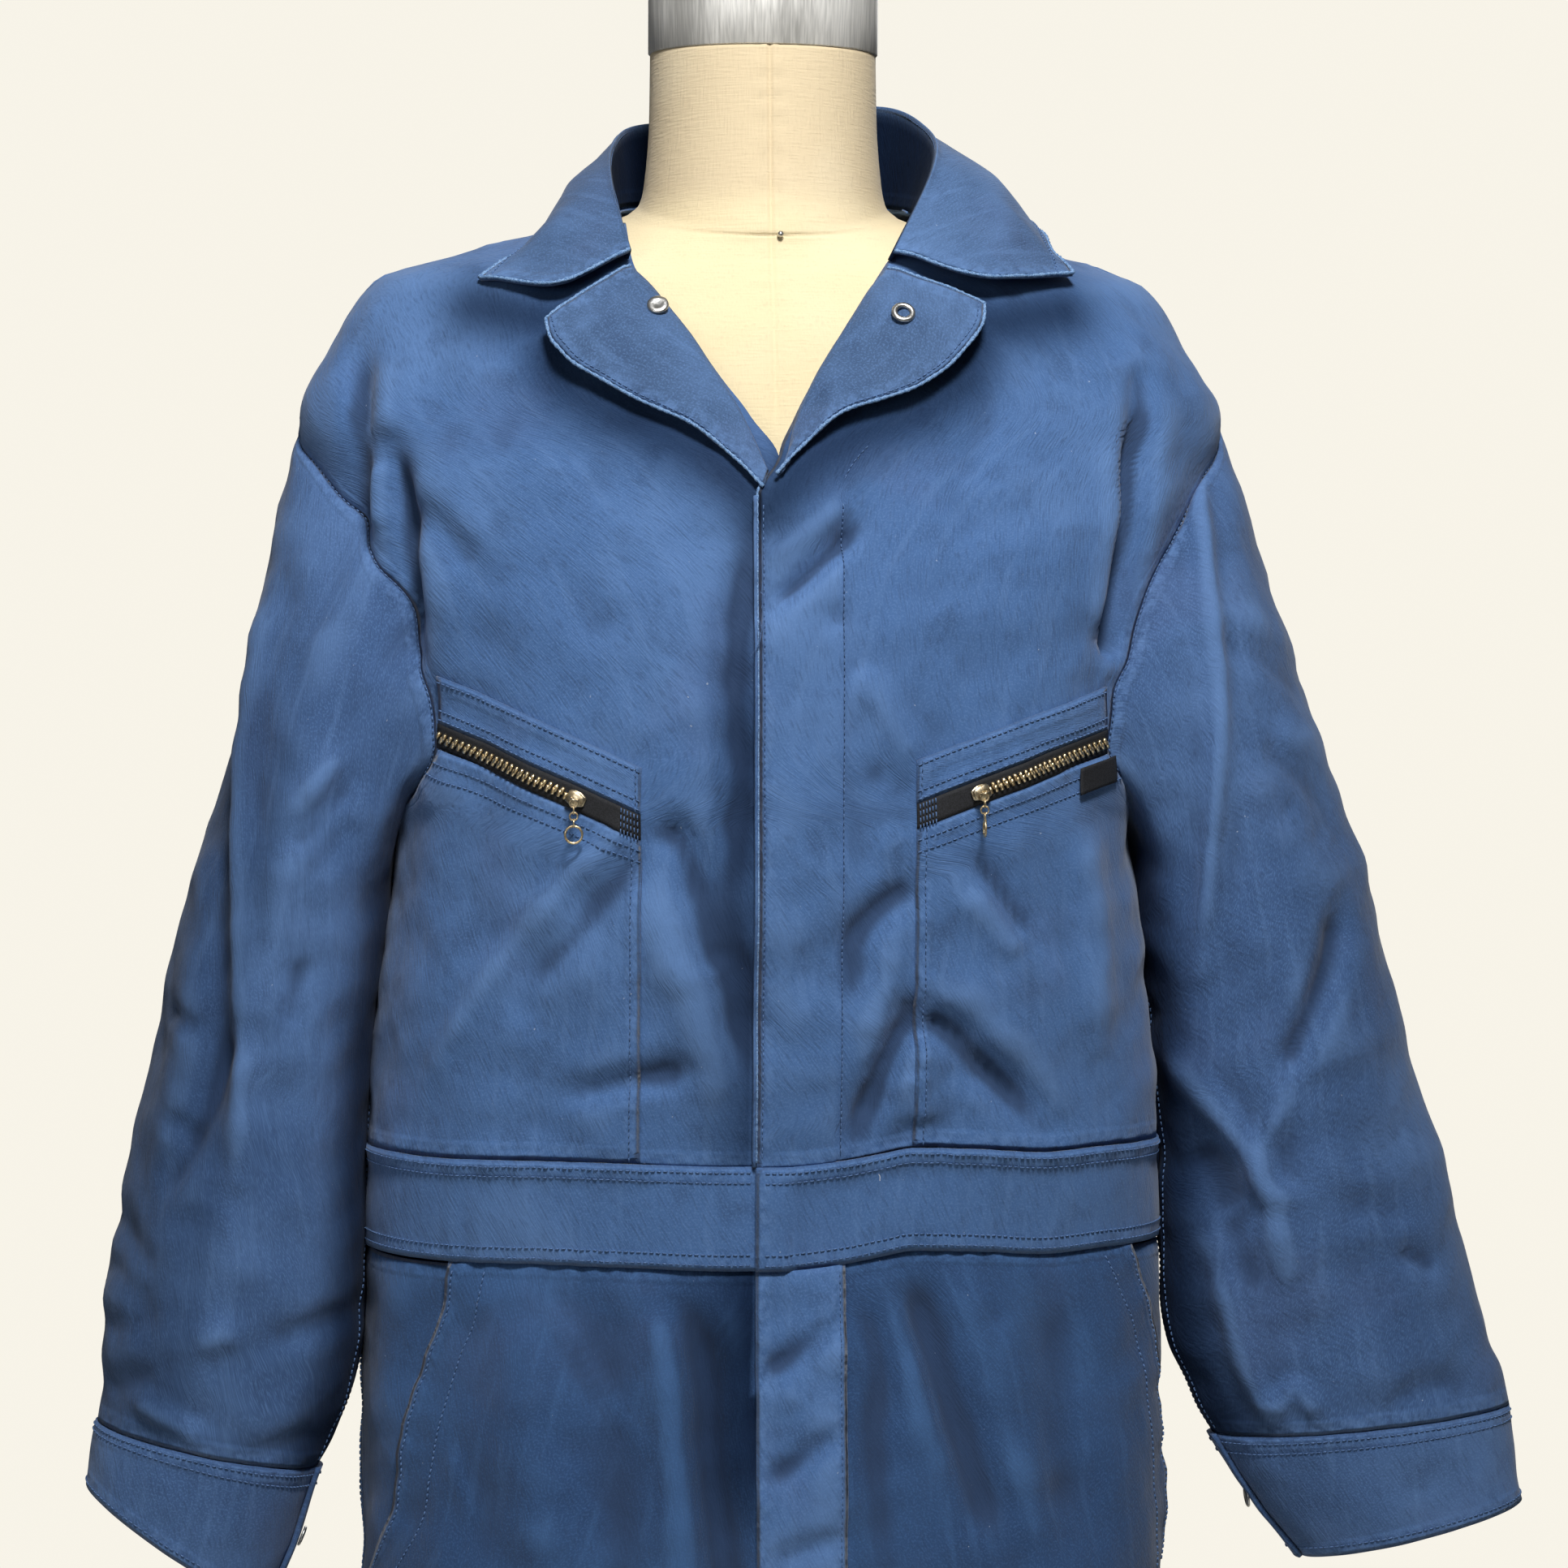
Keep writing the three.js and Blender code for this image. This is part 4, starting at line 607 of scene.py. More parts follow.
def trunk_relief(points):
    """Folds of the front where it faces forward, of the back where it faces back, and the soft
    unevenness. Calm round the sliders, and never inwards over the shoulders."""
    x, y, z = points[..., 0], points[..., 1], points[..., 2]
    front = smooth((15 - y) / 45)
    height = front * fold_height(body_front_folds, x, z) + (1 - front) * fold_height(body_back_folds, x, z)
    height = height + uneven(points)
    for spot_x, spot_z in CALM_SPOTS:
        height = height * (1 - np.exp(-((x - spot_x) ** 2 + (z - spot_z) ** 2) / CALM_RADIUS**2))
    shoulder = smooth((z - 1525) / 40)
    height = np.where(height > 0, height, height * (1 - shoulder))
    gathers = 0.9 * np.sin(x / 2.9 + 2 * np.sin(x / 31)) * np.exp(-((z - WAIST_TOP) / 26) ** 2) * (1 - front)
    puckers = 0.45 * np.sin(x / 2.1 + 1.6 * np.sin(x / 17)) * np.exp(-((z - WAIST_TOP) / 11) ** 2)
    puckers = puckers * front * (smooth((-55 - x) / 12) + smooth((x - 58) / 12))
    held = 1 - 0.75 * smooth((WAIST_TOP + 8 - z) / 16)
    return height * held + gathers + puckers


def waist_rise(points):
    """Lifts the cloth near the waist, most on the wearer's left, as a bell of the height."""
    x, y, z = points[..., 0], points[..., 1], points[..., 2]
    front = smooth((40 - y) / 80)
    rise = lerp(WAIST_RISE_BACK, waist_rise_front(x), front) * np.exp(-((z - 1108) / 70) ** 2)
    return points + np.stack([0 * x, 0 * x, rise], axis=-1)


def trunk(turn, level, lift=0.0):
    """The body with its folds: the base moved out along its normal by the relief and a lift."""
    turn, level = np.broadcast_arrays(turn, level)
    base = trunk_base(turn, level)
    normal = normal_of(trunk_base, turn, level, 0.004, 0.5)
    out = trunk_relief(base) + lift
    return waist_rise(base + normal * out[..., None])


def front_turn(x, level):
    """The turn at which the outline of the front reaches x."""
    n = body["round"](level)
    share = np.clip(np.abs(x) / body["half"](level), 0, 1)
    return np.arctan2(np.sign(x) * share, (1 - share**n) ** (1 / n))


def front_spot(x, z, lift=0.0):
    """The body's point that shows at x, z in front view, by eight repeats of level = z less the
    lean times y."""
    x, z = np.broadcast_arrays(np.asarray(x, float), np.asarray(z, float))
    level = z
    for _ in range(8):
        level = z - lean(level) * trunk_base(front_turn(x, level), level)[..., 1]
    return trunk(front_turn(x, level), level, lift)


def leg_base(side, turn, level):
    """A leg without folds: turn 0 at the inseam, a quarter in front, a half at the side. Above
    the crotch the outline stops on the plane between the legs."""
    inside = leg_rows[f"{side}In"](level)
    reach = np.abs(leg_rows[f"{side}Out"](level) - inside)
    parted = leg_depths["parted"](level)
    radius = reach / (1 + parted)
    n = leg_depths["round"](level)
    s = np.sin(turn)
    c = np.cos(turn)
    out = (np.abs(s) ** n + np.abs(c) ** n) ** (-1 / n)
    depth = np.where(s > 0, leg_depths["front"](level), leg_depths["back"](level))
    x = inside + sign_of(side) * radius * (parted - c * out)
    return np.stack([x, -depth * s * out, level + 0 * x], axis=-1)


def leg_relief(points, turn):
    """Folds of the front and back of the trousers and the soft unevenness, less between the
    legs."""
    x, y, z = points[..., 0], points[..., 1], points[..., 2]
    front = smooth((15 - y) / 40)
    height = front * fold_height(leg_front_folds, x, z) + (1 - front) * fold_height(leg_back_folds, x, z)
    inside = 1 - 0.85 * smooth((np.cos(turn) - 0.6) / 0.3) * smooth((900 - z) / 40)
    gathers = 0.8 * np.sin(x / 3.1 + 2 * np.sin(x / 27)) * (1 - front)
    gathers = gathers * np.exp(-((z - WAIST_BOTTOM) / 24) ** 2)
    held = 0.12 + 0.88 * smooth((WAIST_BOTTOM - 2 - z) / 24)
    tucked = 1.4 * (1 - smooth((WAIST_BOTTOM - z) / 9))
    return (height + uneven(points)) * inside * held + gathers - tucked


def leg(side, turn, level, lift=0.0):
    """The leg with its folds."""
    turn, level = np.broadcast_arrays(turn, level)
    base = leg_base(side, turn, level)
    normal = sign_of(side) * normal_of(partial(leg_base, side), turn, level, 0.004, 0.5)
    out = leg_relief(base, turn) + lift
    return waist_rise(base + normal * out[..., None])


def leg_seam_turn(level):
    """The turn at which a leg meets the plane between the legs."""
    share = np.clip(leg_depths["parted"](level), 0, 1)
    angle = np.degrees(np.arccos(share ** (leg_depths["round"](level) / 2)))
    return polar(angle, leg_depths["round"](level))


def slash_turn(side, level):
    """The turn of the slanted pocket edge."""
    return polar(slash[side](level), leg_depths["round"](level))


def fly_spot(x, level, lift):
    """The trousers' front at a distance from the centre line."""
    n = leg_depths["round"](level)
    share = np.clip(np.abs(x) / leg_rows["leftOut"](level), 0, 1)
    turn = np.arctan2((1 - share**n) ** (1 / n), -share)
    right = leg("right", turn, level, lift)
    left = leg("left", turn, level, lift)
    return np.where((np.asarray(x) < 0)[..., None], right, left)


def ring_point(ring, side, turn, at):
    """A point of a sleeve's ring: from its inner to its outer point by (1 less the cosine) over
    2, and forward by the depth times the sine."""
    angle = 2 * np.pi * turn
    along = (1 - np.cos(angle)) / 2
    x = lerp(ring["innerX"](at), ring["outerX"](at), along)
    z = lerp(ring["innerZ"](at), ring["outerZ"](at), along)
    y = ring["middle"](at) - ring["depth"](at) * np.sin(angle)
    return np.stack([sign_of(side) * x, y, z], axis=-1)


def ring_centre(ring, side, at):
    """The middle of a sleeve's ring."""
    x = lerp(ring["innerX"](at), ring["outerX"](at), 0.5)
    z = lerp(ring["innerZ"](at), ring["outerZ"](at), 0.5)
    return np.stack([sign_of(side) * x, ring["middle"](at), z], axis=-1)


def armhole_point(side, turn):
    """The armhole seam on the folded body at the same turn as the sleeve's ring."""
    level = lerp(ARMPIT, SHOULDER_TIP, (1 - np.cos(2 * np.pi * turn)) / 2)
    is_front = np.mod(turn, 1) < 0.5
    angle = np.where(is_front, armhole["front"](level), 180 - armhole["back"](level))
    spot = trunk(sign_of(side) * polar(angle, body["round"](level)), level)
    return spot + np.array([sign_of(side) * ARMHOLE_STANDOFF, 0, 0])


def sleeve_base(side, turn, at):
    """A sleeve without folds: its rings, drawn onto the armhole seam near the shoulder."""
    turn, at = np.broadcast_arrays(np.asarray(turn, float), np.asarray(at, float))
    head = (1 - smooth(at / SLEEVE_HEAD_SHARE))[..., None]
    return lerp(ring_point(sleeve_rings[side], side, turn, at), armhole_point(side, turn), head)


def sleeve_relief(side, points, turn, at):
    """The sleeve's folds in front and behind, easing in at the armhole."""
    x, z = points[..., 0], points[..., 2]
    front = smooth(0.5 + 1.6 * np.sin(2 * np.pi * turn))
    height = front * fold_height(sleeve_front_folds[side], x, z)
    height = height + (1 - front) * fold_height(sleeve_back_folds[side], x, z)
    return (height + uneven(points)) * smooth(at / 0.08 + 0.1)


def sleeve(side, turn, at, lift=0.0):
    """The sleeve with its folds."""
    turn, at = np.broadcast_arrays(np.asarray(turn, float), np.asarray(at, float))
    base = sleeve_base(side, turn, at)
    place = lambda u, v: sleeve_base(side, u, np.clip(v, 0, 1))
    normal = normal_of(place, turn, at, 0.004, 0.004)
    centre = ring_centre(sleeve_rings[side], side, at)
    way = np.sign(np.sum(normal * (base - centre), axis=-1, keepdims=True))
    out = sleeve_relief(side, base, turn, at) + lift
    return base + normal * way * out[..., None]


def cuff(side, turn, at, lift=0.0):
    """The cuff band: its ring moved out from its centre, more where its end laps over."""
    turn, at = np.broadcast_arrays(np.asarray(turn, float), np.asarray(at, float))
    ring = cuff_rings[side]
    point = ring_point(ring, side, turn, at)
    lap = PLACKET_LIFT * smooth((turn - 1 + CUFF_LAP) / CUFF_LAP + 1)
    soft = 0.35 * np.sin(turn * 41 + 3 * np.sin(turn * 13)) * np.exp(-(at / 0.25) ** 2)
    out = lap + lift + soft + 0.6 * uneven(point)
    return point + unit(point - ring_centre(ring, side, at)) * out[..., None]


# meshes


def mesh_object(name, points, faces, material, uv=None, measures=None):
    """A mesh from points in millimetres and quads, with its own cloth map and named measures at
    its points."""
    points = np.asarray(points, float).reshape(-1, 3)
    faces = np.asarray(faces, np.int32)
    corners = faces.shape[1]
    mesh = bpy.data.meshes.new(name)
    mesh.vertices.add(len(points))
    mesh.vertices.foreach_set("co", (points * METRE).ravel())
    mesh.loops.add(faces.size)
    mesh.loops.foreach_set("vertex_index", faces.ravel())
    mesh.polygons.add(len(faces))
    mesh.polygons.foreach_set("loop_start", np.arange(0, faces.size, corners, dtype=np.int32))
    mesh.polygons.foreach_set("use_smooth", np.ones(len(faces), bool))
    mesh.update(calc_edges=True)
    if uv is not None:
        layer = mesh.uv_layers.new(name="cloth")
        layer.data.foreach_set("uv", (np.asarray(uv) * METRE).ravel())
    for measure, values in (measures or {}).items():
        layer = mesh.attributes.new(measure, "FLOAT", "POINT")
        layer.data.foreach_set("value", np.asarray(values, float).ravel())
    mesh.materials.append(material)
    made = bpy.data.objects.new(name, mesh)
    bpy.context.scene.collection.objects.link(made)
    return made


def grid_faces(rows, columns):
    """The quads of a grid of points, as indexes row by row."""
    i, j = np.meshgrid(np.arange(rows - 1), np.arange(columns - 1), indexing="ij")
    a = i * columns + j
    return np.stack([a, a + 1, a + columns + 1, a + columns], axis=-1).reshape(-1, 4)


def ring_faces(rows, columns, closed=False):
    """The quads between rings of points, and from the last ring back to the first if closed."""
    i, j = np.meshgrid(np.arange(rows if closed else rows - 1), np.arange(columns), indexing="ij")
    here = i * columns
    ahead = (i + 1) % rows * columns
    beside = (j + 1) % columns
    return np.stack([here + j, here + beside, ahead + beside, ahead + j], axis=-1).reshape(-1, 4)


def arc(points, axis):
    """Distance along the rows or columns of a grid of points, from its first one."""
    step = np.linalg.norm(np.diff(points, axis=axis), axis=-1)
    zero = np.zeros_like(np.take(step, [0], axis=axis))
    return np.concatenate([zero, np.cumsum(step, axis=axis)], axis=axis)


FOLD_REACH = 15.0


def running_mean(points, axis, spacing, loop):
    """The mean over the fold's reach to either side, with the grid carried on past its ends:
    round again on a tube, else turned over about its end point."""
    count = int(np.clip(round(FOLD_REACH / max(spacing, 0.1)), 1, points.shape[axis] - 1))
    margin = [(0, 0), (0, 0), (0, 0)]
    margin[axis] = (count + 1, count) if loop else (count, count)
    if loop:
        wide = np.pad(points, margin, mode="wrap")
    else:
        wide = np.pad(points, margin, mode="reflect", reflect_type="odd")
        wide = np.concatenate([np.take(wide, [0], axis=axis), wide], axis=axis)
    total = np.cumsum(wide, axis=axis)
    window = 2 * count + 1
    size = points.shape[axis]
    ahead = np.take(total, np.arange(window, window + size), axis=axis)
    behind = np.take(total, np.arange(size), axis=axis)
    return (ahead - behind) / window


def crease_of(points, across_gap, up_gap, loop):
    """How far the cloth stands out from the mean of the cloth round it, less the piece's own
    median: plus on a ridge, minus in a trough."""
    mean = points
    for _ in range(2):
        mean = running_mean(mean, 1, across_gap, loop)
        mean = running_mean(mean, 0, up_gap, False)
    normal = unit(np.cross(np.gradient(points, axis=1), np.gradient(points, axis=0)))
    height = np.sum((points - mean) * normal, axis=-1)
    return height - np.median(height)


def no_shade(points, u, v):
    """Cloth in the open."""
    return 0 * u


def cloth(name, place, us, vs, material, thick=ONE_PLY, hub=None, seams="first last low high",
          loop=False, shade=no_shade):
    """A cut piece as a grid of place(u, v), with thickness inwards. Its map is the distance
    along its rows from the middle column and up its columns, so the weave keeps its size."""
    u, v = np.meshgrid(us, vs)
    points = place(u, v)
    rows, columns = points.shape[:2]
    centre = np.stack([0 * u, 0 * u, points[..., 2]], axis=-1) if hub is None else hub(points)
    i, j = rows // 2, columns // 2
    across = points[i, j + 1] - points[i, j - 1]
    up = points[i + 1, j] - points[i - 1, j] if rows > 2 else points[-1, j] - points[0, j]
    if np.dot(np.cross(across, up), points[i, j] - centre[i, j]) < 0:
        points = points[:, ::-1]
        flip = {"first": "last", "last": "first"}
        seams = " ".join(flip.get(word, word) for word in seams.split())
    along = arc(points, 1)
    upward = arc(points, 0)
    gaps = {"first": along, "last": along[:, -1:] - along, "low": upward, "high": upward[-1:] - upward}
    seam = np.full((rows, columns), 200.0)
    for word in seams.split():
        seam = np.minimum(seam, gaps[word])
    mapped = np.stack([along - along[:, columns // 2][:, None], upward], axis=-1)
    crease = crease_of(points, along[:, -1].mean() / (columns - 1), upward[-1].mean() / (rows - 1), loop)
    shaded = shade(points, u, v)
    faces = grid_faces(rows, columns)
    uv = mapped.reshape(-1, 2)[faces.ravel()]
    if loop:
        faces = (faces // columns) * (columns - 1) + np.mod(faces % columns, columns - 1)
        points, seam, crease, shaded = (values[:, :-1] for values in (points, seam, crease, shaded))
    measures = {"seam": seam, "crease": crease, "shade": shaded}
    made = mesh_object(f"{name}_cloth", points, faces, material, uv, measures)
    wall = made.modifiers.new("thickness", "SOLIDIFY")
    wall.thickness = thick * METRE
    wall.offset = -1
    wall.use_even_offset = False
    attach(made, "root")
    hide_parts(name)


def steps(length, spacing, start=0.0, end=1.0):
    """Evenly spaced parameters, one for each spacing of the length."""
    return np.linspace(start, end, max(3, int(round(length / spacing)) + 1))


# One stitch: a low hump of eight corners, as long as the thread shows.
STITCH_PITCH = 3.1
STITCH_LENGTH = 2.3
STITCH_WIDTH = 0.55
STITCH_HEIGHT = 0.5
STITCH_SINK = -0.25
THREAD_LIFT = 0.2
STITCH_LOOK = 0.8
stitches = []
BLOCK_FACES = np.array([(0, 1, 2, 3), (7, 6, 5, 4), (0, 4, 5, 1), (1, 5, 6, 2), (2, 6, 7, 3), (3, 7, 4, 0)])
BLOCK_CORNERS = [(-1, -1), (1, -1), (1, 1), (-1, 1)]


def blocks(middle, way, across, out, layers):
    """A block at each middle. Its foot and its top each have a height out, half a length along
    the way and half a width across it."""
    corners = [middle + way * a * length + across * b * width + out * height
               for height, length, width in layers for a, b in BLOCK_CORNERS]
    faces = BLOCK_FACES[None] + 8 * np.arange(len(middle))[:, None, None]
    return np.stack(corners, axis=1).reshape(-1, 3), faces.reshape(-1, 4)


def distances(path):
    """How far along a path each of its points lies."""
    return np.concatenate([[0], np.cumsum(np.linalg.norm(np.diff(path, axis=0), axis=1))])


def spots(path, reach, at):
    """The points, or directions, of a path at the given distances along it."""
    return np.stack([np.interp(at, reach, path[:, k]) for k in range(3)], axis=1)


def along_path(place, u, v, lift=0.0):
    """Points and outward directions of a surface along matching lists of u and v."""
    u, v = np.broadcast_arrays(np.asarray(u, float), np.asarray(v, float))
    path = place(u, v, lift)
    return path, place(u, v, lift + 1) - path


def sew_on(place, u, v, lift=THREAD_LIFT):
    """Stitches lying on the cloth along place(u, v): blocks evenly spaced, narrower on top."""
    path, normals = along_path(place, u, v, lift)
    reach = distances(path)
    count = int(reach[-1] / STITCH_PITCH)
    if count < 1:
        return
    at = (np.arange(count) + 0.5) * reach[-1] / count
    out = unit(spots(normals, reach, at))
    way = unit(spots(path, reach, at + STITCH_LOOK) - spots(path, reach, at - STITCH_LOOK))
    half = STITCH_LENGTH / 2
    side_reach = STITCH_WIDTH / 2
    layers = [(STITCH_SINK, half, side_reach), (STITCH_HEIGHT, half * 0.72, side_reach * 0.6)]
    stitches.append(blocks(spots(path, reach, at), way, unit(np.cross(way, out)), out, layers))


def tube(path, radius, sides=8, closed=False):
    """A round tube: a circle carried along a path, turned to its direction with a frame made
    from the up direction. Open ends close to a point. Returns points and quads."""
    path = np.asarray(path, float)
    if closed:
        way = unit(np.roll(path, -1, axis=0) - np.roll(path, 1, axis=0))
    else:
        way = unit(np.gradient(path, axis=0))
    guide = np.array([0.13, 0.31, 0.94])
    side = unit(np.cross(way, guide))
    other = np.cross(way, side)
    angle = np.linspace(0, 2 * np.pi, sides, endpoint=False)
    size = np.full(len(path), float(radius)) if np.isscalar(radius) else np.asarray(radius, float)
    circle = side[:, None] * np.cos(angle)[None, :, None] + other[:, None] * np.sin(angle)[None, :, None]
    points = path[:, None] + circle * size[:, None, None]
    rows = len(path)
    if not closed:
        points = np.concatenate([path[:1, None].repeat(sides, 1), points, path[-1:, None].repeat(sides, 1)])
        rows += 2
    return points.reshape(-1, 3), ring_faces(rows, sides, closed)


def join(parts):
    """Several shapes of points and quads as one."""
    points = []
    faces = []
    start = 0
    for part_points, part_faces in parts:
        points.append(part_points)
        faces.append(part_faces + start)
        start += len(part_points)
    return np.concatenate(points), np.concatenate(faces)


def lathe(profile, sides=48):
    """A closed turned shape about the z axis: the profile (radius, height) at each turn."""
    profile = np.array(profile, float)
    angle = np.linspace(0, 2 * np.pi, sides, endpoint=False)
    x = profile[:, :1] * np.cos(angle)
    y = profile[:, :1] * np.sin(angle)
    z = profile[:, 1:] + 0 * x
    points = np.stack([x, y, z], axis=-1)
    return points.reshape(-1, 3), ring_faces(len(profile), sides)


def placed(shape, origin, x_axis, y_axis, z_axis):
    """A shape moved so that its own axes point along the given directions."""
    points, faces = shape
    frame_axes = np.stack([x_axis, y_axis, z_axis])
    return points @ frame_axes + np.asarray(origin), faces


def solid(name, shape, material, nodes=(), rider="root"):
    """A hard piece from points and quads: doubles at poles merged, faces turned outwards."""
    made = mesh_object(name, *shape, material)
    clean_mesh(made.data)
    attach(made, rider)
    if nodes:
        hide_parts(*nodes)
    return made


def clean_mesh(mesh):
    """Merges doubles, drops faces with no area and points all faces outwards."""
    edit = bmesh.new()
    edit.from_mesh(mesh)
    bmesh.ops.remove_doubles(edit, verts=edit.verts, dist=1e-6)
    bmesh.ops.dissolve_degenerate(edit, edges=edit.edges, dist=1e-6)
    bmesh.ops.recalc_face_normals(edit, faces=edit.faces)
    edit.to_mesh(mesh)
    edit.free()
    mesh.polygons.foreach_set("use_smooth", np.ones(len(mesh.polygons), bool))
    mesh.update()


# shader groups


def add(tree, kind, settings=None, inputs=None):
    """A node with its settings and inputs. An input is a value or another node's socket."""
    made = tree.nodes.new(kind)
    for key, value in (settings or {}).items():
        setattr(made, key, value)
    for key, value in (inputs or {}).items():
        if isinstance(value, bpy.types.NodeSocket):
            tree.links.new(value, made.inputs[key])
        else:
            made.inputs[key].default_value = value
    return made


def times(tree, a, b):
    """The product of two values."""
    return maths(tree, "MULTIPLY", a, b)


def less(tree, a):
    """1 less a value, and never below 0."""
    return maths(tree, "SUBTRACT", 1, a, True)


def maths(tree, operation, a, b=0.0, clamp=False):
    """The result of one Math node."""
    return add(tree, "ShaderNodeMath", {"operation": operation, "use_clamp": clamp}, {0: a, 1: b}).outputs[0]


def mixed(tree, share, a, b, blend="MIX"):
    """Colour a turning into colour b by the share."""
    settings = {"data_type": "RGBA", "blend_type": blend}
    return add(tree, "ShaderNodeMix", settings, {0: share, 6: a, 7: b}).outputs[2]


def ramp(tree, value, low, high):
    """0 below low, 1 above high, smooth between."""
    settings = {"interpolation_type": "SMOOTHSTEP"}
    return add(tree, "ShaderNodeMapRange", settings, {0: value, 1: low, 2: high}).outputs[0]


def noise(tree, place, scale, detail=3.0, stretch=None):
    """A noise value at a place, at so many spots to a metre."""
    if stretch is not None:
        settings = {"operation": "MULTIPLY"}
        place = add(tree, "ShaderNodeVectorMath", settings, {0: place, 1: stretch}).outputs[0]
    inputs = {"Vector": place, "Scale": scale, "Detail": detail}
    return add(tree, "ShaderNodeTexNoise", None, inputs).outputs[0]


def group(name, inputs, outputs):
    """A new node group with named inputs and outputs. Returns its tree, inputs and outputs."""
    tree = bpy.data.node_groups.new(name, "ShaderNodeTree")
    kinds = {"float": "NodeSocketFloat", "colour": "NodeSocketColor", "vector": "NodeSocketVector"}
    for label, kind in inputs:
        tree.interface.new_socket(name=label, in_out="INPUT", socket_type=kinds[kind])
    for label, kind in outputs:
        tree.interface.new_socket(name=label, in_out="OUTPUT", socket_type=kinds[kind])
    entry = tree.nodes.new("NodeGroupInput")
    end = tree.nodes.new("NodeGroupOutput")
    return tree, entry.outputs, end.inputs


def use(tree, made_group, inputs):
    """The group as a node in a material, with its inputs."""
    return add(tree, "ShaderNodeGroup", {"node_tree": made_group}, inputs).outputs


def twill_group():
    """Diagonal ribs of a twill, thick and thin: noise drawn out along the rib's direction, with
    short breaks across it."""
    tree, given, out = group("twill weave", [("Place", "vector"), ("Pitch", "float"), ("Slant", "float")],
                             [("Height", "float"), ("Slub", "float")])
    split = add(tree, "ShaderNodeSeparateXYZ", None, {0: given["Place"]}).outputs
    across = maths(tree, "ADD", split[0], times(tree, split[1], given["Slant"]))
    upward = maths(tree, "SUBTRACT", split[1], times(tree, split[0], given["Slant"]))
    across = maths(tree, "DIVIDE", across, given["Pitch"])
    upward = maths(tree, "DIVIDE", upward, times(tree, given["Pitch"], 9))
    ribbed = add(tree, "ShaderNodeCombineXYZ", None, {0: across, 1: upward}).outputs[0]
    rib = noise(tree, ribbed, 1.0, 1)
    slub = noise(tree, given["Place"], 420, 2, (1.0, 0.16, 1.0))
    tree.links.new(maths(tree, "ADD", times(tree, rib, 5), slub), out["Height"])
    tree.links.new(rib, out["Slub"])
    return tree


def seam_group():
    """Beside a seam: a groove at the very edge, a low ridge over the folded allowance, and
    puckers that fade out away from it."""
    tree, given, out = group("seam edge", [("Distance", "float"), ("Place", "vector"), ("Reach", "float")],
                             [("Height", "float"), ("Worn", "float"), ("Groove", "float")])
    far = maths(tree, "DIVIDE", given["Distance"], given["Reach"])
    near = less(tree, far)
    groove = less(tree, ramp(tree, given["Distance"], 0.0, 1.6))
    band = times(tree, ramp(tree, given["Distance"], 0.6, 2.2),
                 less(tree, ramp(tree, given["Distance"], 6.5, 9.5)))
    pucker = noise(tree, given["Place"], 95, 2)
    ripple = times(tree, maths(tree, "SUBTRACT", pucker, 0.5), times(tree, near, 2.6))
    height = maths(tree, "ADD", times(tree, band, 0.5), ripple)
    tree.links.new(maths(tree, "SUBTRACT", height, times(tree, groove, 0.8)), out["Height"])
    spots = ramp(tree, noise(tree, given["Place"], 240, 3), 0.38, 0.68)
    tree.links.new(times(tree, times(tree, band, near), spots), out["Worn"])
    # the groove's mask also goes out alone, for painted shade at the seam edge
    tree.links.new(groove, out["Groove"])
    return tree


PURPLE_CAST = (0.1, 0.12, 0.25, 1)
LINT = (0.5, 0.56, 0.66, 1)
UNLIT = (0.004, 0.009, 0.026, 1)


def wash_and_shade_group():
    """Worn indigo and painted shade: the cloth's colour drifting lighter and darker in soft patches,
    streaked a little along the warp, faint purple patches, worn seam ridges and pale lint. Ridges of the
    folds are painted paler; troughs of the folds and the grooves at seam edges are painted darker, as
    painted shade; and what no light reaches is painted nearly black, as painted shade."""
    tree, given, out = group("worn indigo and painted shade", [("Place", "vector"), ("Map", "vector"), ("Cloth", "colour"),
                                             ("Faded", "colour"), ("Deep", "colour"), ("Worn", "float"),
                                             ("Groove", "float"), ("Slub", "float"), ("Patches", "float"),
                                             ("Crease", "float"), ("Shade", "float")],
                             [("Color", "colour"), ("Rough", "float")])
    place, faded, deep = given["Place"], given["Faded"], given["Deep"]
    mottle = noise(tree, place, 46, 4)
    streaks = noise(tree, given["Map"], 150, 3, (1.0, 0.12, 1.0))
    grain = noise(tree, given["Map"], 900, 2)
    trough = times(tree, given["Crease"], -1)
    # what it follows, where it starts, where it is full, how strong, towards which colour
    layers = [
        (noise(tree, place, 7.5, 3), 0.42, 0.72, given["Patches"], faded),
        (mottle, 0.5, 0.75, 0.35, deep),
        (streaks, 0.5, 0.72, 0.22, faded),
        (grain, 0.46, 0.66, 0.34, faded),
        (given["Slub"], 0.5, 0.75, 0.3, deep),
        (noise(tree, place, 13, 3), 0.56, 0.72, 0.1, PURPLE_CAST),
        # fold ridges painted paler; fold troughs painted darker, as painted shade
        (given["Crease"], 0.5, 3.6, 0.45, faded),
        (trough, 0.6, 4.6, 0.85, deep),
    ]
    colour = given["Cloth"]
    for source, start, full, strength, towards in layers:
        colour = mixed(tree, times(tree, ramp(tree, source, start, full), strength), colour, towards)
    colour = mixed(tree, times(tree, given["Worn"], 0.55), colour, faded)
    # painted shade in the groove at each seam edge
    colour = mixed(tree, times(tree, given["Groove"], 0.25), colour, deep)
    lint = ramp(tree, noise(tree, place, 380, 2), 0.785, 0.8)
    colour = mixed(tree, times(tree, lint, 0.5), colour, LINT)
    colour = mixed(tree, given["Shade"], colour, UNLIT)
    tree.links.new(colour, out["Color"])
    tree.links.new(maths(tree, "ADD", times(tree, mottle, 0.12), 0.8), out["Rough"])
    return tree


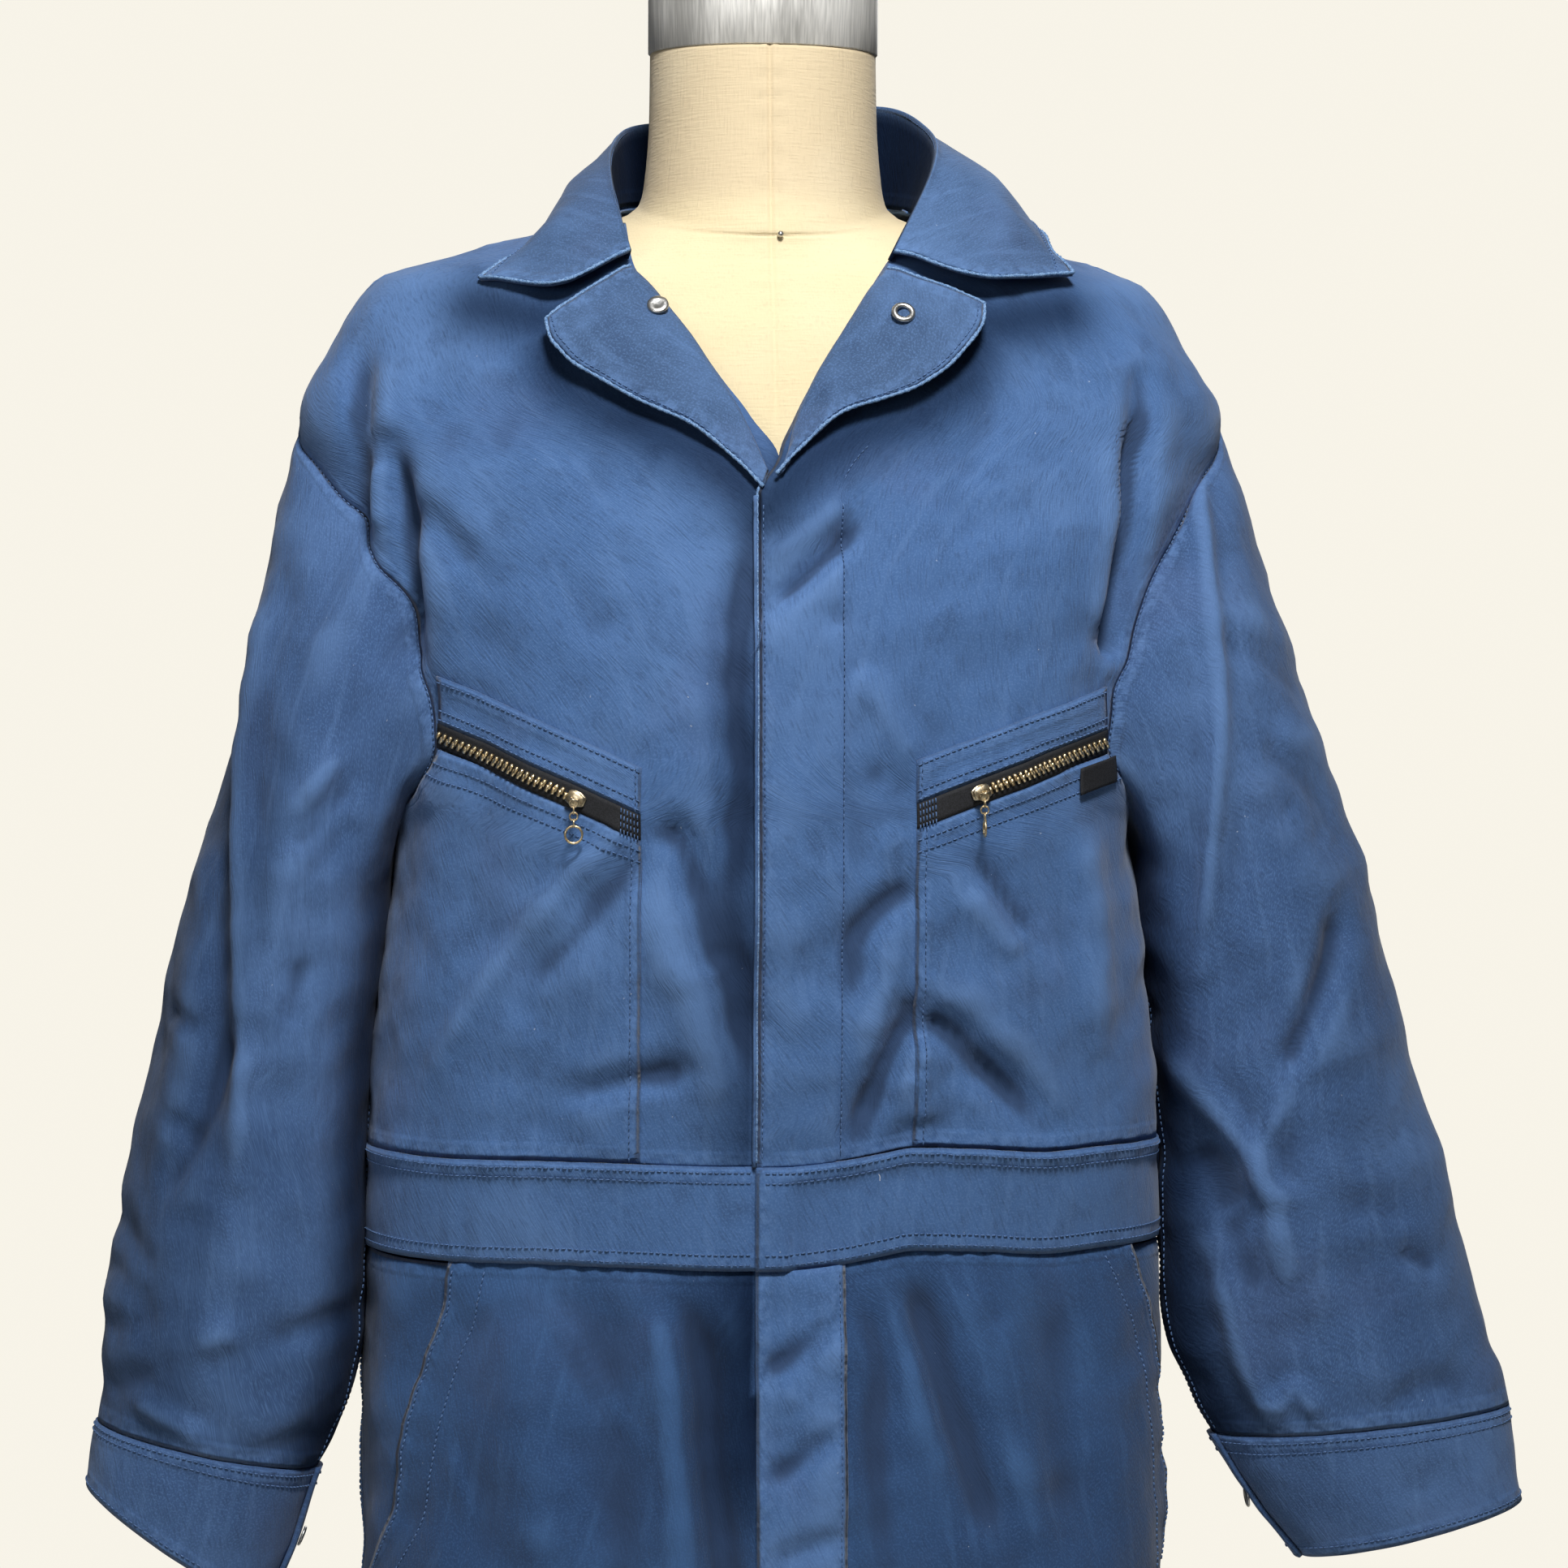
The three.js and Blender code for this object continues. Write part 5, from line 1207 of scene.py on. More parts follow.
def metal_group():
    """Handled metal: dull specks and wiped patches from noise at two scales."""
    tree, given, out = group("handled metal", [("Place", "vector"), ("Bright", "colour"), ("Dull", "colour"),
                                               ("Scale", "float")],
                             [("Color", "colour"), ("Rough", "float"), ("Height", "float")])
    coarse = noise(tree, given["Place"], given["Scale"], 4)
    fine = noise(tree, given["Place"], 2600, 2)
    dull = ramp(tree, coarse, 0.4, 0.66)
    tree.links.new(mixed(tree, dull, given["Bright"], given["Dull"]), out["Color"])
    rough = maths(tree, "ADD", times(tree, dull, 0.25), 0.28)
    tree.links.new(rough, out["Rough"])
    tree.links.new(maths(tree, "ADD", fine, coarse), out["Height"])
    return tree


TWILL = twill_group()
SEAM = seam_group()
WASH_AND_SHADE = wash_and_shade_group()
METAL = metal_group()


def new_material(name, **fixed):
    """A material with a Principled shader. The constant values go on the shader's sockets."""
    material = bpy.data.materials.new(name)
    material.use_nodes = True
    tree = material.node_tree
    shader = tree.nodes["Principled BSDF"]
    for key, value in fixed.items():
        shader.inputs[key.replace("_", " ")].default_value = value
    place = add(tree, "ShaderNodeTexCoord").outputs["Object"]
    return material, tree, shader, place


def bump(tree, shader, height, distance, strength=1.0):
    """A Bump node into the shader's Normal."""
    made = add(tree, "ShaderNodeBump", None, {"Height": height, "Distance": distance, "Strength": strength})
    tree.links.new(made.outputs[0], shader.inputs["Normal"])


CLOTH_SHINE = 0.45
CLOTH_SHEEN = 0.12
TWILL_SLANT = 0.5
TWILL_PITCH = 0.0012


def twill_material(name, cloth_colour, faded, deep, patches=0.5, slant=TWILL_SLANT, reach=14.0):
    """Worn indigo twill with its seams, with painted shade in fold troughs, seam grooves and shaded places,
    and fold ridges painted paler.
    """
    material, tree, shader, place = new_material(name, Sheen_Roughness=0.5)
    mapped = add(tree, "ShaderNodeUVMap", {"uv_map": "cloth"}).outputs[0]
    distance = add(tree, "ShaderNodeAttribute", {"attribute_name": "seam"}).outputs["Fac"]
    weave = use(tree, TWILL, {"Place": mapped, "Pitch": TWILL_PITCH, "Slant": slant})
    edge = use(tree, SEAM, {"Distance": distance, "Place": place, "Reach": reach})
    crease = add(tree, "ShaderNodeAttribute", {"attribute_name": "crease"}).outputs["Fac"]
    shade = add(tree, "ShaderNodeAttribute", {"attribute_name": "shade"}).outputs["Fac"]
    wash_and_shade = use(tree, WASH_AND_SHADE, {"Place": place, "Map": mapped, "Cloth": cloth_colour, "Faded": faded,
                            "Deep": deep, "Worn": edge["Worn"], "Groove": edge["Groove"],
                            "Slub": weave["Slub"], "Patches": patches, "Crease": crease, "Shade": shade})
    tree.links.new(wash_and_shade["Color"], shader.inputs["Base Color"])
    tree.links.new(wash_and_shade["Rough"], shader.inputs["Roughness"])
    open_cloth = less(tree, shade)
    tree.links.new(times(tree, open_cloth, CLOTH_SHINE), shader.inputs["Specular IOR Level"])
    tree.links.new(times(tree, open_cloth, CLOTH_SHEEN), shader.inputs["Sheen Weight"])
    height = maths(tree, "ADD", times(tree, weave["Height"], 0.09), edge["Height"])
    crumple = times(tree, noise(tree, place, 60, 4), 1.2)
    bump(tree, shader, maths(tree, "ADD", height, crumple), 0.0009, 0.9)
    return material


INDIGO = (0.05, 0.125, 0.3, 1)
INDIGO_FADED = (0.115, 0.225, 0.46, 1)
INDIGO_DEEP = (0.014, 0.038, 0.1, 1)
# Darker copies of the one indigo, as painted shade: for the sleeves and trousers, which get less light than
# the chest, and for the lapels and collar, to offset the stronger light on them.
INDIGO_SHADED_SLEEVE = (0.035, 0.088, 0.22, 1)
INDIGO_SHADED_TROUSERS = (0.015, 0.054, 0.152, 1)
TROUSERS_FADED_SHADED = (0.055, 0.145, 0.34, 1)
INDIGO_SHADED_LAPEL = (0.038, 0.084, 0.182, 1)
body_twill = twill_material("body_twill", INDIGO, INDIGO_FADED, INDIGO_DEEP)
sleeve_twill_shaded = twill_material("sleeve_twill_shaded", INDIGO_SHADED_SLEEVE, INDIGO_FADED, INDIGO_DEEP)
trouser_twill_shaded = twill_material("trouser_twill_shaded", INDIGO_SHADED_TROUSERS, TROUSERS_FADED_SHADED, INDIGO_DEEP, 0.35)
placket_twill = twill_material("placket_twill", INDIGO, INDIGO_FADED, INDIGO_DEEP, 0.95)
lapel_twill_shaded = twill_material("lapel_twill_shaded", INDIGO_SHADED_LAPEL, INDIGO_FADED, INDIGO_DEEP, 0.7)
welt_twill = twill_material("welt_twill", INDIGO, INDIGO_FADED, INDIGO_DEEP, 0.6, 3.0)
waist_twill = twill_material("waist_twill", INDIGO, INDIGO_FADED, INDIGO_DEEP)


def plain_thread(name, colour, pale):
    """Cotton thread: two close colours in fine specks, with a twisted bump."""
    material, tree, shader, place = new_material(name, Roughness=0.8)
    specks = noise(tree, place, 1500, 2)
    tree.links.new(mixed(tree, ramp(tree, specks, 0.4, 0.6), colour, pale), shader.inputs["Base Color"])
    bump(tree, shader, specks, 0.0002, 0.6)
    return material


blue_thread = plain_thread("blue_thread", (0.05, 0.11, 0.24, 1), (0.11, 0.2, 0.4, 1))
faded_edge = plain_thread("faded_edge", (0.07, 0.16, 0.34, 1), (0.22, 0.36, 0.58, 1))
white_thread = plain_thread("white_thread", (0.62, 0.63, 0.62, 1), (0.8, 0.8, 0.78, 1))
black_tape = plain_thread("black_tape", (0.003, 0.0035, 0.005, 1), (0.011, 0.012, 0.016, 1))


def metal(name, bright, dull, scale):
    """Metal with handled patches."""
    material, tree, shader, place = new_material(name, Metallic=1.0)
    worn = use(tree, METAL, {"Place": place, "Bright": bright, "Dull": dull, "Scale": scale})
    tree.links.new(worn["Color"], shader.inputs["Base Color"])
    tree.links.new(worn["Rough"], shader.inputs["Roughness"])
    bump(tree, shader, worn["Height"], 0.00008, 0.5)
    return material


aged_brass = metal("aged_brass", (0.85, 0.72, 0.5, 1), (0.35, 0.27, 0.16, 1), 420)
bright_brass = metal("bright_brass", (0.9, 0.74, 0.47, 1), (0.45, 0.33, 0.18, 1), 600)
nickel = metal("nickel", (0.66, 0.65, 0.62, 1), (0.25, 0.25, 0.25, 1), 300)
black_iron = metal("black_iron", (0.035, 0.035, 0.038, 1), (0.015, 0.015, 0.016, 1), 60)


def linen_material():
    """Cream linen: thick and thin threads both ways, warmer on the neck than on the chest."""
    material, tree, shader, place = new_material("linen", Roughness=0.9, Sheen_Weight=0.1)
    warp = noise(tree, place, 900, 2, (1.0, 1.0, 0.1))
    weft = noise(tree, place, 900, 2, (0.1, 0.1, 1.0))
    threads = maths(tree, "ADD", warp, weft)
    height = add(tree, "ShaderNodeSeparateXYZ", None, {0: place}).outputs[2]
    neck = ramp(tree, height, 1.6, 1.625)
    ground = mixed(tree, neck, (0.8, 0.67, 0.42, 1), (0.7, 0.57, 0.37, 1))
    soft = noise(tree, place, 16, 3)
    ground = mixed(tree, times(tree, ramp(tree, soft, 0.45, 0.7), 0.3), ground, (0.84, 0.72, 0.5, 1))
    dark = times(tree, ramp(tree, threads, 1.05, 1.35), 0.16)
    colour = mixed(tree, dark, ground, (0.5, 0.39, 0.25, 1))
    tree.links.new(colour, shader.inputs["Base Color"])
    bump(tree, shader, threads, 0.0004, 0.7)
    return material


def steel_material():
    """Brushed steel: fine brushed lines, and painted reflections as grey to cream-white bands up and down
    its side, from noise stretched along the height.
    """
    material, tree, shader, place = new_material("brushed_steel_painted_reflections", Metallic=0.35)
    reflection_bands = noise(tree, place, 26, 3, (1.0, 0.6, 0.05))
    lines = noise(tree, place, 900, 2, (1.0, 1.0, 0.03))
    tone = maths(tree, "ADD", times(tree, reflection_bands, 0.8), times(tree, lines, 0.3))
    # painted reflection of the room: bands from grey to cream-white
    colour = mixed(tree, ramp(tree, tone, 0.42, 0.7), (0.5, 0.49, 0.46, 1), (0.97, 0.95, 0.9, 1))
    tree.links.new(colour, shader.inputs["Base Color"])
    tree.links.new(maths(tree, "ADD", times(tree, lines, 0.25), 0.3), shader.inputs["Roughness"])
    bump(tree, shader, lines, 0.0001, 0.6)
    return material


def wood_material():
    """Varnished plywood: rings of noise stretched along x."""
    material, tree, shader, place = new_material("plate_wood", Roughness=0.5)
    grain = noise(tree, place, 60, 4, (0.1, 1.0, 1.0))
    colour = mixed(tree, ramp(tree, grain, 0.35, 0.65), (0.16, 0.09, 0.045, 1), (0.3, 0.18, 0.09, 1))
    tree.links.new(colour, shader.inputs["Base Color"])
    bump(tree, shader, grain, 0.0003, 0.5)
    return material


linen = linen_material()
brushed_steel_painted_reflections = steel_material()
plate_wood = wood_material()

# the body of the suit


def armhole_turn(side, level):
    """Where the front stops, as a turn."""
    return sign_of(side) * polar(armhole["front"](level), body["round"](level))


def left_front_edge(level):
    """Distance of the left front's edge: the placket's free edge, then the roll line."""
    rolled = opening_edge["left"](level)
    return lerp(PLACKET_FREE_EDGE + 0.5, rolled, smooth((level - PLACKET_TOP) / 22))


def placket_rise(x, level):
    """The left front stands over the right one as far as the placket's stitching."""
    return PLACKET_LIFT * smooth((PLACKET_STITCH + 3 - x) / 7) * (1 - smooth((level - PLACKET_TOP) / 30))


def right_front(u, level, lift=0.0):
    """From the centre line or roll line out to the armhole and side seam."""
    start = front_turn(-opening_edge["right"](level), level)
    turn = lerp(start, armhole_turn("right", level), u)
    return trunk(turn, level, lift)


def left_front(u, level, lift=0.0):
    """The same on the left, from the placket's free edge."""
    start = front_turn(left_front_edge(level), level)
    turn = lerp(start, armhole_turn("left", level), u)
    x = trunk_base(turn, level)[..., 0]
    return trunk(turn, level, lift + placket_rise(x, level))


def back_panel(u, level, lift=0.0):
    """From one side seam round the back to the other."""
    angle = lerp(180 - armhole["back"](level), 180 + armhole["back"](level), u)
    turn = np.mod(polar(angle, body["round"](level)), 2 * np.pi)
    return trunk(turn, level, lift)


UNDER_ARM_SHADE = 0.8


def under_arm_shade(points, u=None, v=None):
    """The side of the body behind the arm, from the hips to the armpit."""
    x, y, z = points[..., 0], points[..., 1], points[..., 2]
    beside = smooth((y + 42) / 30) * smooth((np.abs(x) - 120) / 30) * smooth((90 - y) / 60)
    return UNDER_ARM_SHADE * beside * smooth((1390 - z) / 70) * smooth((z - 1000) / 40)


def edge_shade(x, z, paths, reach):
    """Close to a path that another piece overhangs: a bell of the distance over the reach."""
    shade = np.zeros(np.shape(x))
    for path in paths:
        nearest, _ = near_path(path, x, z)
        shade = np.maximum(shade, np.exp(-(nearest / reach) ** 2))
    return shade


row_ends = np.linspace(0, 1, 9)
overhangs = []
for side in SIDES:
    row = lapel_rows[side]
    edge_x = sign_of(side) * row["edgeX"](row_ends)
    overhangs.append(list(zip(edge_x, row["edgeZ"](row_ends) - 9)))
    overhangs.append([(sign_of(side) * 146, 1556), (sign_of(side) * 112, 1548), (sign_of(side) * 84, 1552)])


def lapped_shade(x, reach):
    """Beside the free edge that laps over: a bell of the distance over the reach."""
    return np.exp(-((x - PLACKET_FREE_EDGE) / reach) ** 2) * (x < PLACKET_FREE_EDGE)


def front_shade(points, u, v):
    """Under the lapels and collar points, beside the placket and under the arms."""
    x, z = points[..., 0], points[..., 2]
    hung = 0.8 * edge_shade(x, z, overhangs, 20)
    lapped = 0.6 * lapped_shade(x, 21) * smooth((1430 - z) / 90)
    return np.maximum(np.maximum(hung, lapped), 0.7 * under_arm_shade(points))


front_levels = np.linspace(WAIST_TOP - 1.5, FRONT_TOP, 150)
front_steps = steps(210, 3.4)
cloth("front_right", right_front, front_steps, front_levels, body_twill, seams="last low high",
      shade=front_shade)
cloth("front_left", left_front, front_steps, front_levels, body_twill, shade=front_shade)
back_levels = np.linspace(WAIST_TOP - 1.5, NECK_LEVEL, 140)
cloth("back", back_panel, steps(430, 4.2), back_levels, body_twill, shade=under_arm_shade)


def placket_facing(u, level, lift=0.0):
    """The folded facing: flat under the left front, then round the fold at its free edge."""
    fold = smooth((0.22 - u) / 0.22)
    x = lerp(PLACKET_FREE_EDGE, PLACKET_STITCH - 4, np.maximum(u - 0.1, 0) / 0.9)
    x = x - 1.1 * np.sin(np.pi * np.clip(u / 0.22, 0, 1)) * (u < 0.22)
    rise = lerp(1.0, PLACKET_LIFT + 0.1, fold)
    return trunk(front_turn(x, level), level, rise + lift)


placket_steps = np.concatenate([np.linspace(0, 0.22, 7), np.linspace(0.3, 1, 6)])
cloth("front_placket", placket_facing, placket_steps, np.linspace(WAIST_TOP, PLACKET_TOP, 90), placket_twill,
      thick=0.9, seams="first last")


def waistband(u, level, lift=0.0):
    """Round the front by its turn, with the left end lapped over the right."""
    x, y = section(body, u, level)
    front = smooth((40 - y) / 60)
    lap = PLACKET_LIFT * smooth((9 - x) / 6) * front
    share = (level - WAIST_BOTTOM) / (WAIST_TOP - WAIST_BOTTOM)
    crown = 0.7 * np.sin(np.pi * np.clip(share, 0, 1)) ** 0.6
    rise = np.where(x > 0, 3.4 * smooth((x - 3) / 6), 2.6 * smooth((-x - 52) / 14))
    over_pockets = rise * smooth((share - 0.72) / 0.28) * front
    right_zone = smooth((-60 - x) / 20) * smooth((x + 172) / 20)
    left_zone = smooth((x - 62) / 20) * smooth((125 - x) / 20)
    pucker_zone = front * (right_zone + left_zone)
    pucker = 0.55 * np.sin(x / 2.3 + 1.8 * np.sin(x / 13 + share * 2)) * pucker_zone
    channels = 0.55 + 0.45 * np.cos(share * 12.6)
    elastic = 1.5 * np.sin(x / 1.75 + 1.2 * np.sin(x / 19 + 1.5 * share)) * (1 - front) * channels
    return trunk(u, level, lift + 0.8 + crown + over_pockets + pucker + elastic + lap)


def right_band(u, level, lift=0.0):
    """The right half of the waistband, to the centre line."""
    x = trunk_base(u, level)[..., 0]
    return waistband(u, level, lift - PLACKET_LIFT * smooth((9 - x) / 6))


def back_band(u, level, lift=0.0):
    """The elastic back."""
    x, y = section(body, u, level)
    front = smooth((40 - y) / 60)
    return waistband(u, level, lift - PLACKET_LIFT * smooth((9 - x) / 6) * front)


band_levels = np.linspace(WAIST_BOTTOM, WAIST_TOP, 19)
band_start = float(front_turn(PLACKET_FREE_EDGE, 1108))
cloth("waistband_right", right_band, np.linspace(-np.pi / 2, 0, 96), band_levels, waist_twill, TWO_PLIES,
      seams="low high first")
cloth("waistband_left", waistband, np.linspace(band_start, np.pi / 2, 96), band_levels, waist_twill,
      TWO_PLIES, seams="low high first last")
cloth("waistband_back", back_band, np.linspace(np.pi / 2, 3 * np.pi / 2, 300), band_levels, waist_twill,
      TWO_PLIES, shade=under_arm_shade)

# lapels and collar


def lapel(side):
    """Straight lines from the roll line to the outer edge, bowed off the front: the rise is a
    sine of the share across, and the first step turns down into the roll."""
    row = lapel_rows[side]

    def place(u, at, lift=0.0):
        x = lerp(row["rollX"](at), row["edgeX"](at), u)
        z = lerp(row["rollZ"](at), row["edgeZ"](at), u)
        ripple = 0.7 * np.sin(at * 17 + 2 * u) * u + 0.5 * np.sin(at * 31 + u * 5) * u
        roll = -1.6 * (1 - smooth(u / 0.1))
        rise = TWO_PLIES + 0.6 + (row["lift"](at) - 2) * np.sin(np.pi / 2 * u) + ripple + roll
        return front_spot(sign_of(side) * x, z, rise + lift)

    return place


def collar_place(u, v, lift=0.0):
    """Stand, fold and fall: a smooth line through the seam, the fold, a spot just outside it,
    the belly and the edge, each itself a smooth line round the neck."""
    lines = [through(np.array(points, float), 0.5, u) for points in (COLLAR_SEAM, COLLAR_FOLD, COLLAR_BELLY,
                                                                    COLLAR_EDGE)]
    seam, fold, belly, edge = lines
    outside = lerp(fold, belly, 0.16) + np.array([0, 0, 1.0])
    section = np.stack([seam, fold, outside, belly, edge], axis=-2)
    spot = through(section, 0.4, v)
    soft = uneven(spot) * 0.9 * smooth((v - 0.3) / 0.3)
    wave = 1.2 * np.sin(u * 19 + 1.3) * smooth((v - 0.5) / 0.4)
    out = unit(np.stack([spot[..., 0], spot[..., 1] - 5, 0 * u + 60], axis=-1))
    return spot + out * (np.maximum(soft + wave, -0.6) + lift)[..., None]


lapel_steps = np.concatenate([[0, 0.03, 0.06, 0.1], np.linspace(0.15, 1, 22)])
for side in SIDES:
    cloth(f"lapel_{side}", lapel(side), lapel_steps, np.linspace(0, 1, 54), lapel_twill_shaded, TWO_PLIES,
          seams="last low high")


def collar_shade(points, u, v):
    """The inside of the stand, which lies close to the neck."""
    return 0.95 * (1 - smooth((v - 0.2) / 0.12))


def collar_hub(points):
    """Below the collar, in the middle of the neck."""
    return points * [0, 0, 1] + [0, 4, -60]


cloth("collar", collar_place, np.linspace(0, 1, 150), np.linspace(0, 1, 46), lapel_twill_shaded, TWO_PLIES,
      hub=collar_hub, shade=collar_shade)


BEAD_STEP = 1.2
BEAD_WANDER = 0.12


def edge_bead(path, normals, radius):
    """A twisted faded roll along a turned edge: a tube whose path wanders by two quick sines."""
    reach = distances(path)
    at = np.linspace(0, reach[-1], max(8, int(reach[-1] / BEAD_STEP)))
    wander = (BEAD_WANDER * np.sin(at * 1.9))[:, None]
    middle = spots(path, reach, at) + unit(spots(normals, reach, at)) * wander
    size = radius * (1 + 0.22 * np.sin(at * 1.57) + 0.12 * np.sin(at * 0.41))
    return tube(middle, size, 7)


line = np.linspace(0, 1, 120)
bead_lines = []
for side in SIDES:
    bead_lines += [(lapel(side), 1.0, line, 0.9), (lapel(side), line, 1.0, 0.8)]
bead_lines += [(collar_place, line, 1.0, 1.0), (collar_place, 0.0, 0.3 + 0.7 * line, 0.9),
               (collar_place, 1.0, 0.3 + 0.7 * line, 0.9)]
beads = [edge_bead(*along_path(place, u, v), radius) for place, u, v, radius in bead_lines]
placket_line = np.linspace(WAIST_TOP + 2, PLACKET_TOP + 10, 200)
edge_turns = front_turn(left_front_edge(placket_line) - 0.4, placket_line)
edge_path = trunk(edge_turns, placket_line, PLACKET_LIFT - 0.5)
edge_out = np.tile([[-0.6, -0.8, 0.0]], (len(edge_path), 1))
beads.append(edge_bead(edge_path, edge_out, 0.75))
solid("turned_edges", join(beads), faded_edge)

# trousers


def leg_hub(side):
    """The middle of the leg at the height of each point."""
    def hub(points):
        z = points[..., 2]
        middle = (leg_rows[f"{side}In"](z) + leg_rows[f"{side}Out"](z)) / 2
        return np.stack([middle, 0 * z, z], axis=-1)
    return hub


def leg_front(side):
    """From the inseam or centre seam to the side seam or the slanted pocket edge, which stands
    a little proud and puckers along its stitching."""
    def place(u, level, lift=0.0):
        turn = lerp(leg_seam_turn(level), slash_turn(side, level), u)
        proud = smooth((u - 0.86) / 0.14) * smooth((level - 925) / 20)
        pucker = 0.5 * np.sin(level / 3.0 + 1.5 * np.sin(level / 23))
        pucker = pucker * smooth((u - 0.8) / 0.12) * (level > 914)
        return leg(side, turn, level, lift + 1.3 * proud + pucker * proud)
    return place


def leg_back(side):
    """From the inseam round the back to the side seam."""
    def place(u, level, lift=0.0):
        turn = lerp(-leg_seam_turn(level), -np.pi, u)
        return leg(side, turn, level, lift)
    return place


def hip_panel(side):
    """Behind the slanted edge: from just under it to the side seam, stepping out to meet it."""
    def place(u, level, lift=0.0):
        n = leg_depths["round"](level)
        edge = slash[side](level)
        angle = lerp(edge - 7, 180 + 0 * level, u)
        drop = 1.9 * (1 - smooth((angle - edge) / 12))
        return leg(side, polar(angle, n), level, lift - drop)
    return place


def leg_shade(points, u, v):
    """Beside the fly's free edge and under the arms."""
    x, z = points[..., 0], points[..., 2]
    lapped = 0.85 * lapped_shade(x, 26) * smooth((z - FLY_END) / 60)
    return np.maximum(lapped * (points[..., 1] < 0), 0.8 * under_arm_shade(points))


leg_levels = np.linspace(58, WAIST_BOTTOM + 1.5, 216)
for side in SIDES:
    hub = leg_hub(side)
    cloth(f"leg_front_{side}", leg_front(side), steps(215, 4.0), leg_levels, trouser_twill_shaded, hub=hub,
          shade=leg_shade)
    cloth(f"leg_back_{side}", leg_back(side), steps(225, 4.6), leg_levels, trouser_twill_shaded, hub=hub,
          shade=leg_shade)
    cloth(f"hip_panel_{side}", hip_panel(side), steps(70, 3.6),
          np.linspace(SLASH_END, WAIST_BOTTOM - SLOT, 46), trouser_twill_shaded, hub=hub, seams="last low high")


def fly(u, level, lift=0.0):
    """The fly's facing over both fronts: full lift from its free edge, lying down at its
    stitching."""
    x = lerp(PLACKET_FREE_EDGE, PLACKET_STITCH + 3, u)
    rise = lerp(1.35, PLACKET_LIFT, smooth((PLACKET_STITCH + 3 - x) / 8))
    soft = 0.5 * np.sin(level / 4.1 + 1.4 * np.sin(level / 29)) * smooth((x - 8) / 16)
    return fly_spot(x, level, rise + soft * 0.6 + lift)


cloth("fly_placket", fly, np.linspace(0, 1, 16), np.linspace(FLY_END, WAIST_BOTTOM, 46), placket_twill, 1.2,
      seams="first last")

# sleeves and cuffs

INNER_ARM_SHADE = 0.85
OUTER_ARM_SHADE = {"right": 0.34, "left": 0.12}


def arm_shade(side):
    """The side that faces the body, and less the part that turns away outside."""
    def shade(points, u, v):
        inward = smooth((np.cos(2 * np.pi * u) - 0.52) / 0.4) * smooth((v - 0.06) / 0.14)
        outward = smooth((-0.05 - np.cos(2 * np.pi * u)) / 0.25) * smooth((v - 0.1) / 0.2)
        return np.maximum(INNER_ARM_SHADE * inward, OUTER_ARM_SHADE[side] * outward)
    return shade


def arm_hub(side):
    """The sleeve's middle line at the height of each point."""
    def hub(points):
        z = points[..., 2]
        return np.stack([sign_of(side) * lerp(300, 222, (z - 980) / 500), 0 * z - 4, z], axis=-1)
    return hub


for side in SIDES:
    cloth(f"sleeve_{side}", partial(sleeve, side), np.linspace(0, 1, 121), np.linspace(0, 0.999, 124),
          sleeve_twill_shaded, hub=arm_hub(side), loop=True, shade=arm_shade(side))
    cloth(f"cuff_{side}", partial(cuff, side), np.linspace(0, 1.03, 110), np.linspace(0.01, 1, 24),
          sleeve_twill_shaded, TWO_PLIES, hub=arm_hub(side), seams="low high last")

# chest pockets


def zip_height(side, x):
    """Height of the zip at a distance from the centre line."""
    pocket = CHEST_POCKETS[side]
    return pocket["zip"] + pocket["slope"] * (x - pocket["inner"])


def pocket_patch(side):
    """The patch from the waistband up to the slanted mouth, between its inner edge and the
    side: twelve repeats settle the height at each turn."""
    pocket = CHEST_POCKETS[side]

    def place(u, v, lift=0.0):
        z = np.full(np.shape(u), float(pocket["zip"]))
        for _ in range(12):
            n = body["round"](z)
            inner = front_turn(pocket["inner"], z)
            outer = polar(armhole["front"](z) - 3, n)
            turn = lerp(inner, outer, u)
            mouth = zip_height(side, trunk_base(turn, z)[..., 0]) - ZIP_HALF_OPENING
            z = lerp(z, lerp(WAIST_TOP + 0.5, mouth, v), 0.7)
        rise = POCKET_LIFT + POCKET_EASE * smooth((u - 0.55) / 0.35)
        return trunk(sign_of(side) * turn, z, rise + lift)

    return place


def zip_strip(side, below, above, start, end, rise):
    """A strip that follows the zip between two heights above its middle."""
    def place(u, v, lift=0.0):
        x = lerp(start, end, u)
        z = zip_height(side, x) + lerp(below, above, v)
        return front_spot(sign_of(side) * x, z, rise + lift)
    return place


def pocket_outer(side):
    """How far out the strips run: three millimetres short of the armhole seam."""
    level = zip_height(side, 170)
    x, _ = section(body, polar(armhole["front"](level), body["round"](level)), level)
    return float(x) - 3


def pocket_welt(side):
    """The welt over the zip, as far out as the strips run."""
    pocket = CHEST_POCKETS[side]
    top = ZIP_HALF_OPENING + pocket["welt"]
    return zip_strip(side, ZIP_HALF_OPENING, top, pocket["inner"], pocket_outer(side), POCKET_LIFT)


TOOTH_PITCH = 2.6


def zip_teeth(side, start, end):
    """Two rows of metal teeth that lie across the middle line by turns: each is a block."""
    pocket = CHEST_POCKETS[side]
    count = int((end - start) / TOOTH_PITCH * 2)
    at = start + (np.arange(count) + 0.5) * (end - start) / count
    upper = np.arange(count) % 2
    sign = sign_of(side)
    way = unit(np.array([sign, 0, pocket["slope"]]))
    layers = [(height, 0.85 * share, 1.95 * share) for height, share in [(0.0, 1.0), (1.55, 0.82)]]
    parts = []
    for row, offset in enumerate([-0.95, 0.95]):
        x = at[upper == row]
        spot, out = along_path(front_spot, sign * x, zip_height(side, x) + offset, 2.3)
        out = unit(out)
        up = unit(np.cross(out, np.broadcast_to(way, out.shape))) * sign
        parts.append(blocks(spot, unit(np.cross(up, out)), up, out, layers))
    return join(parts)


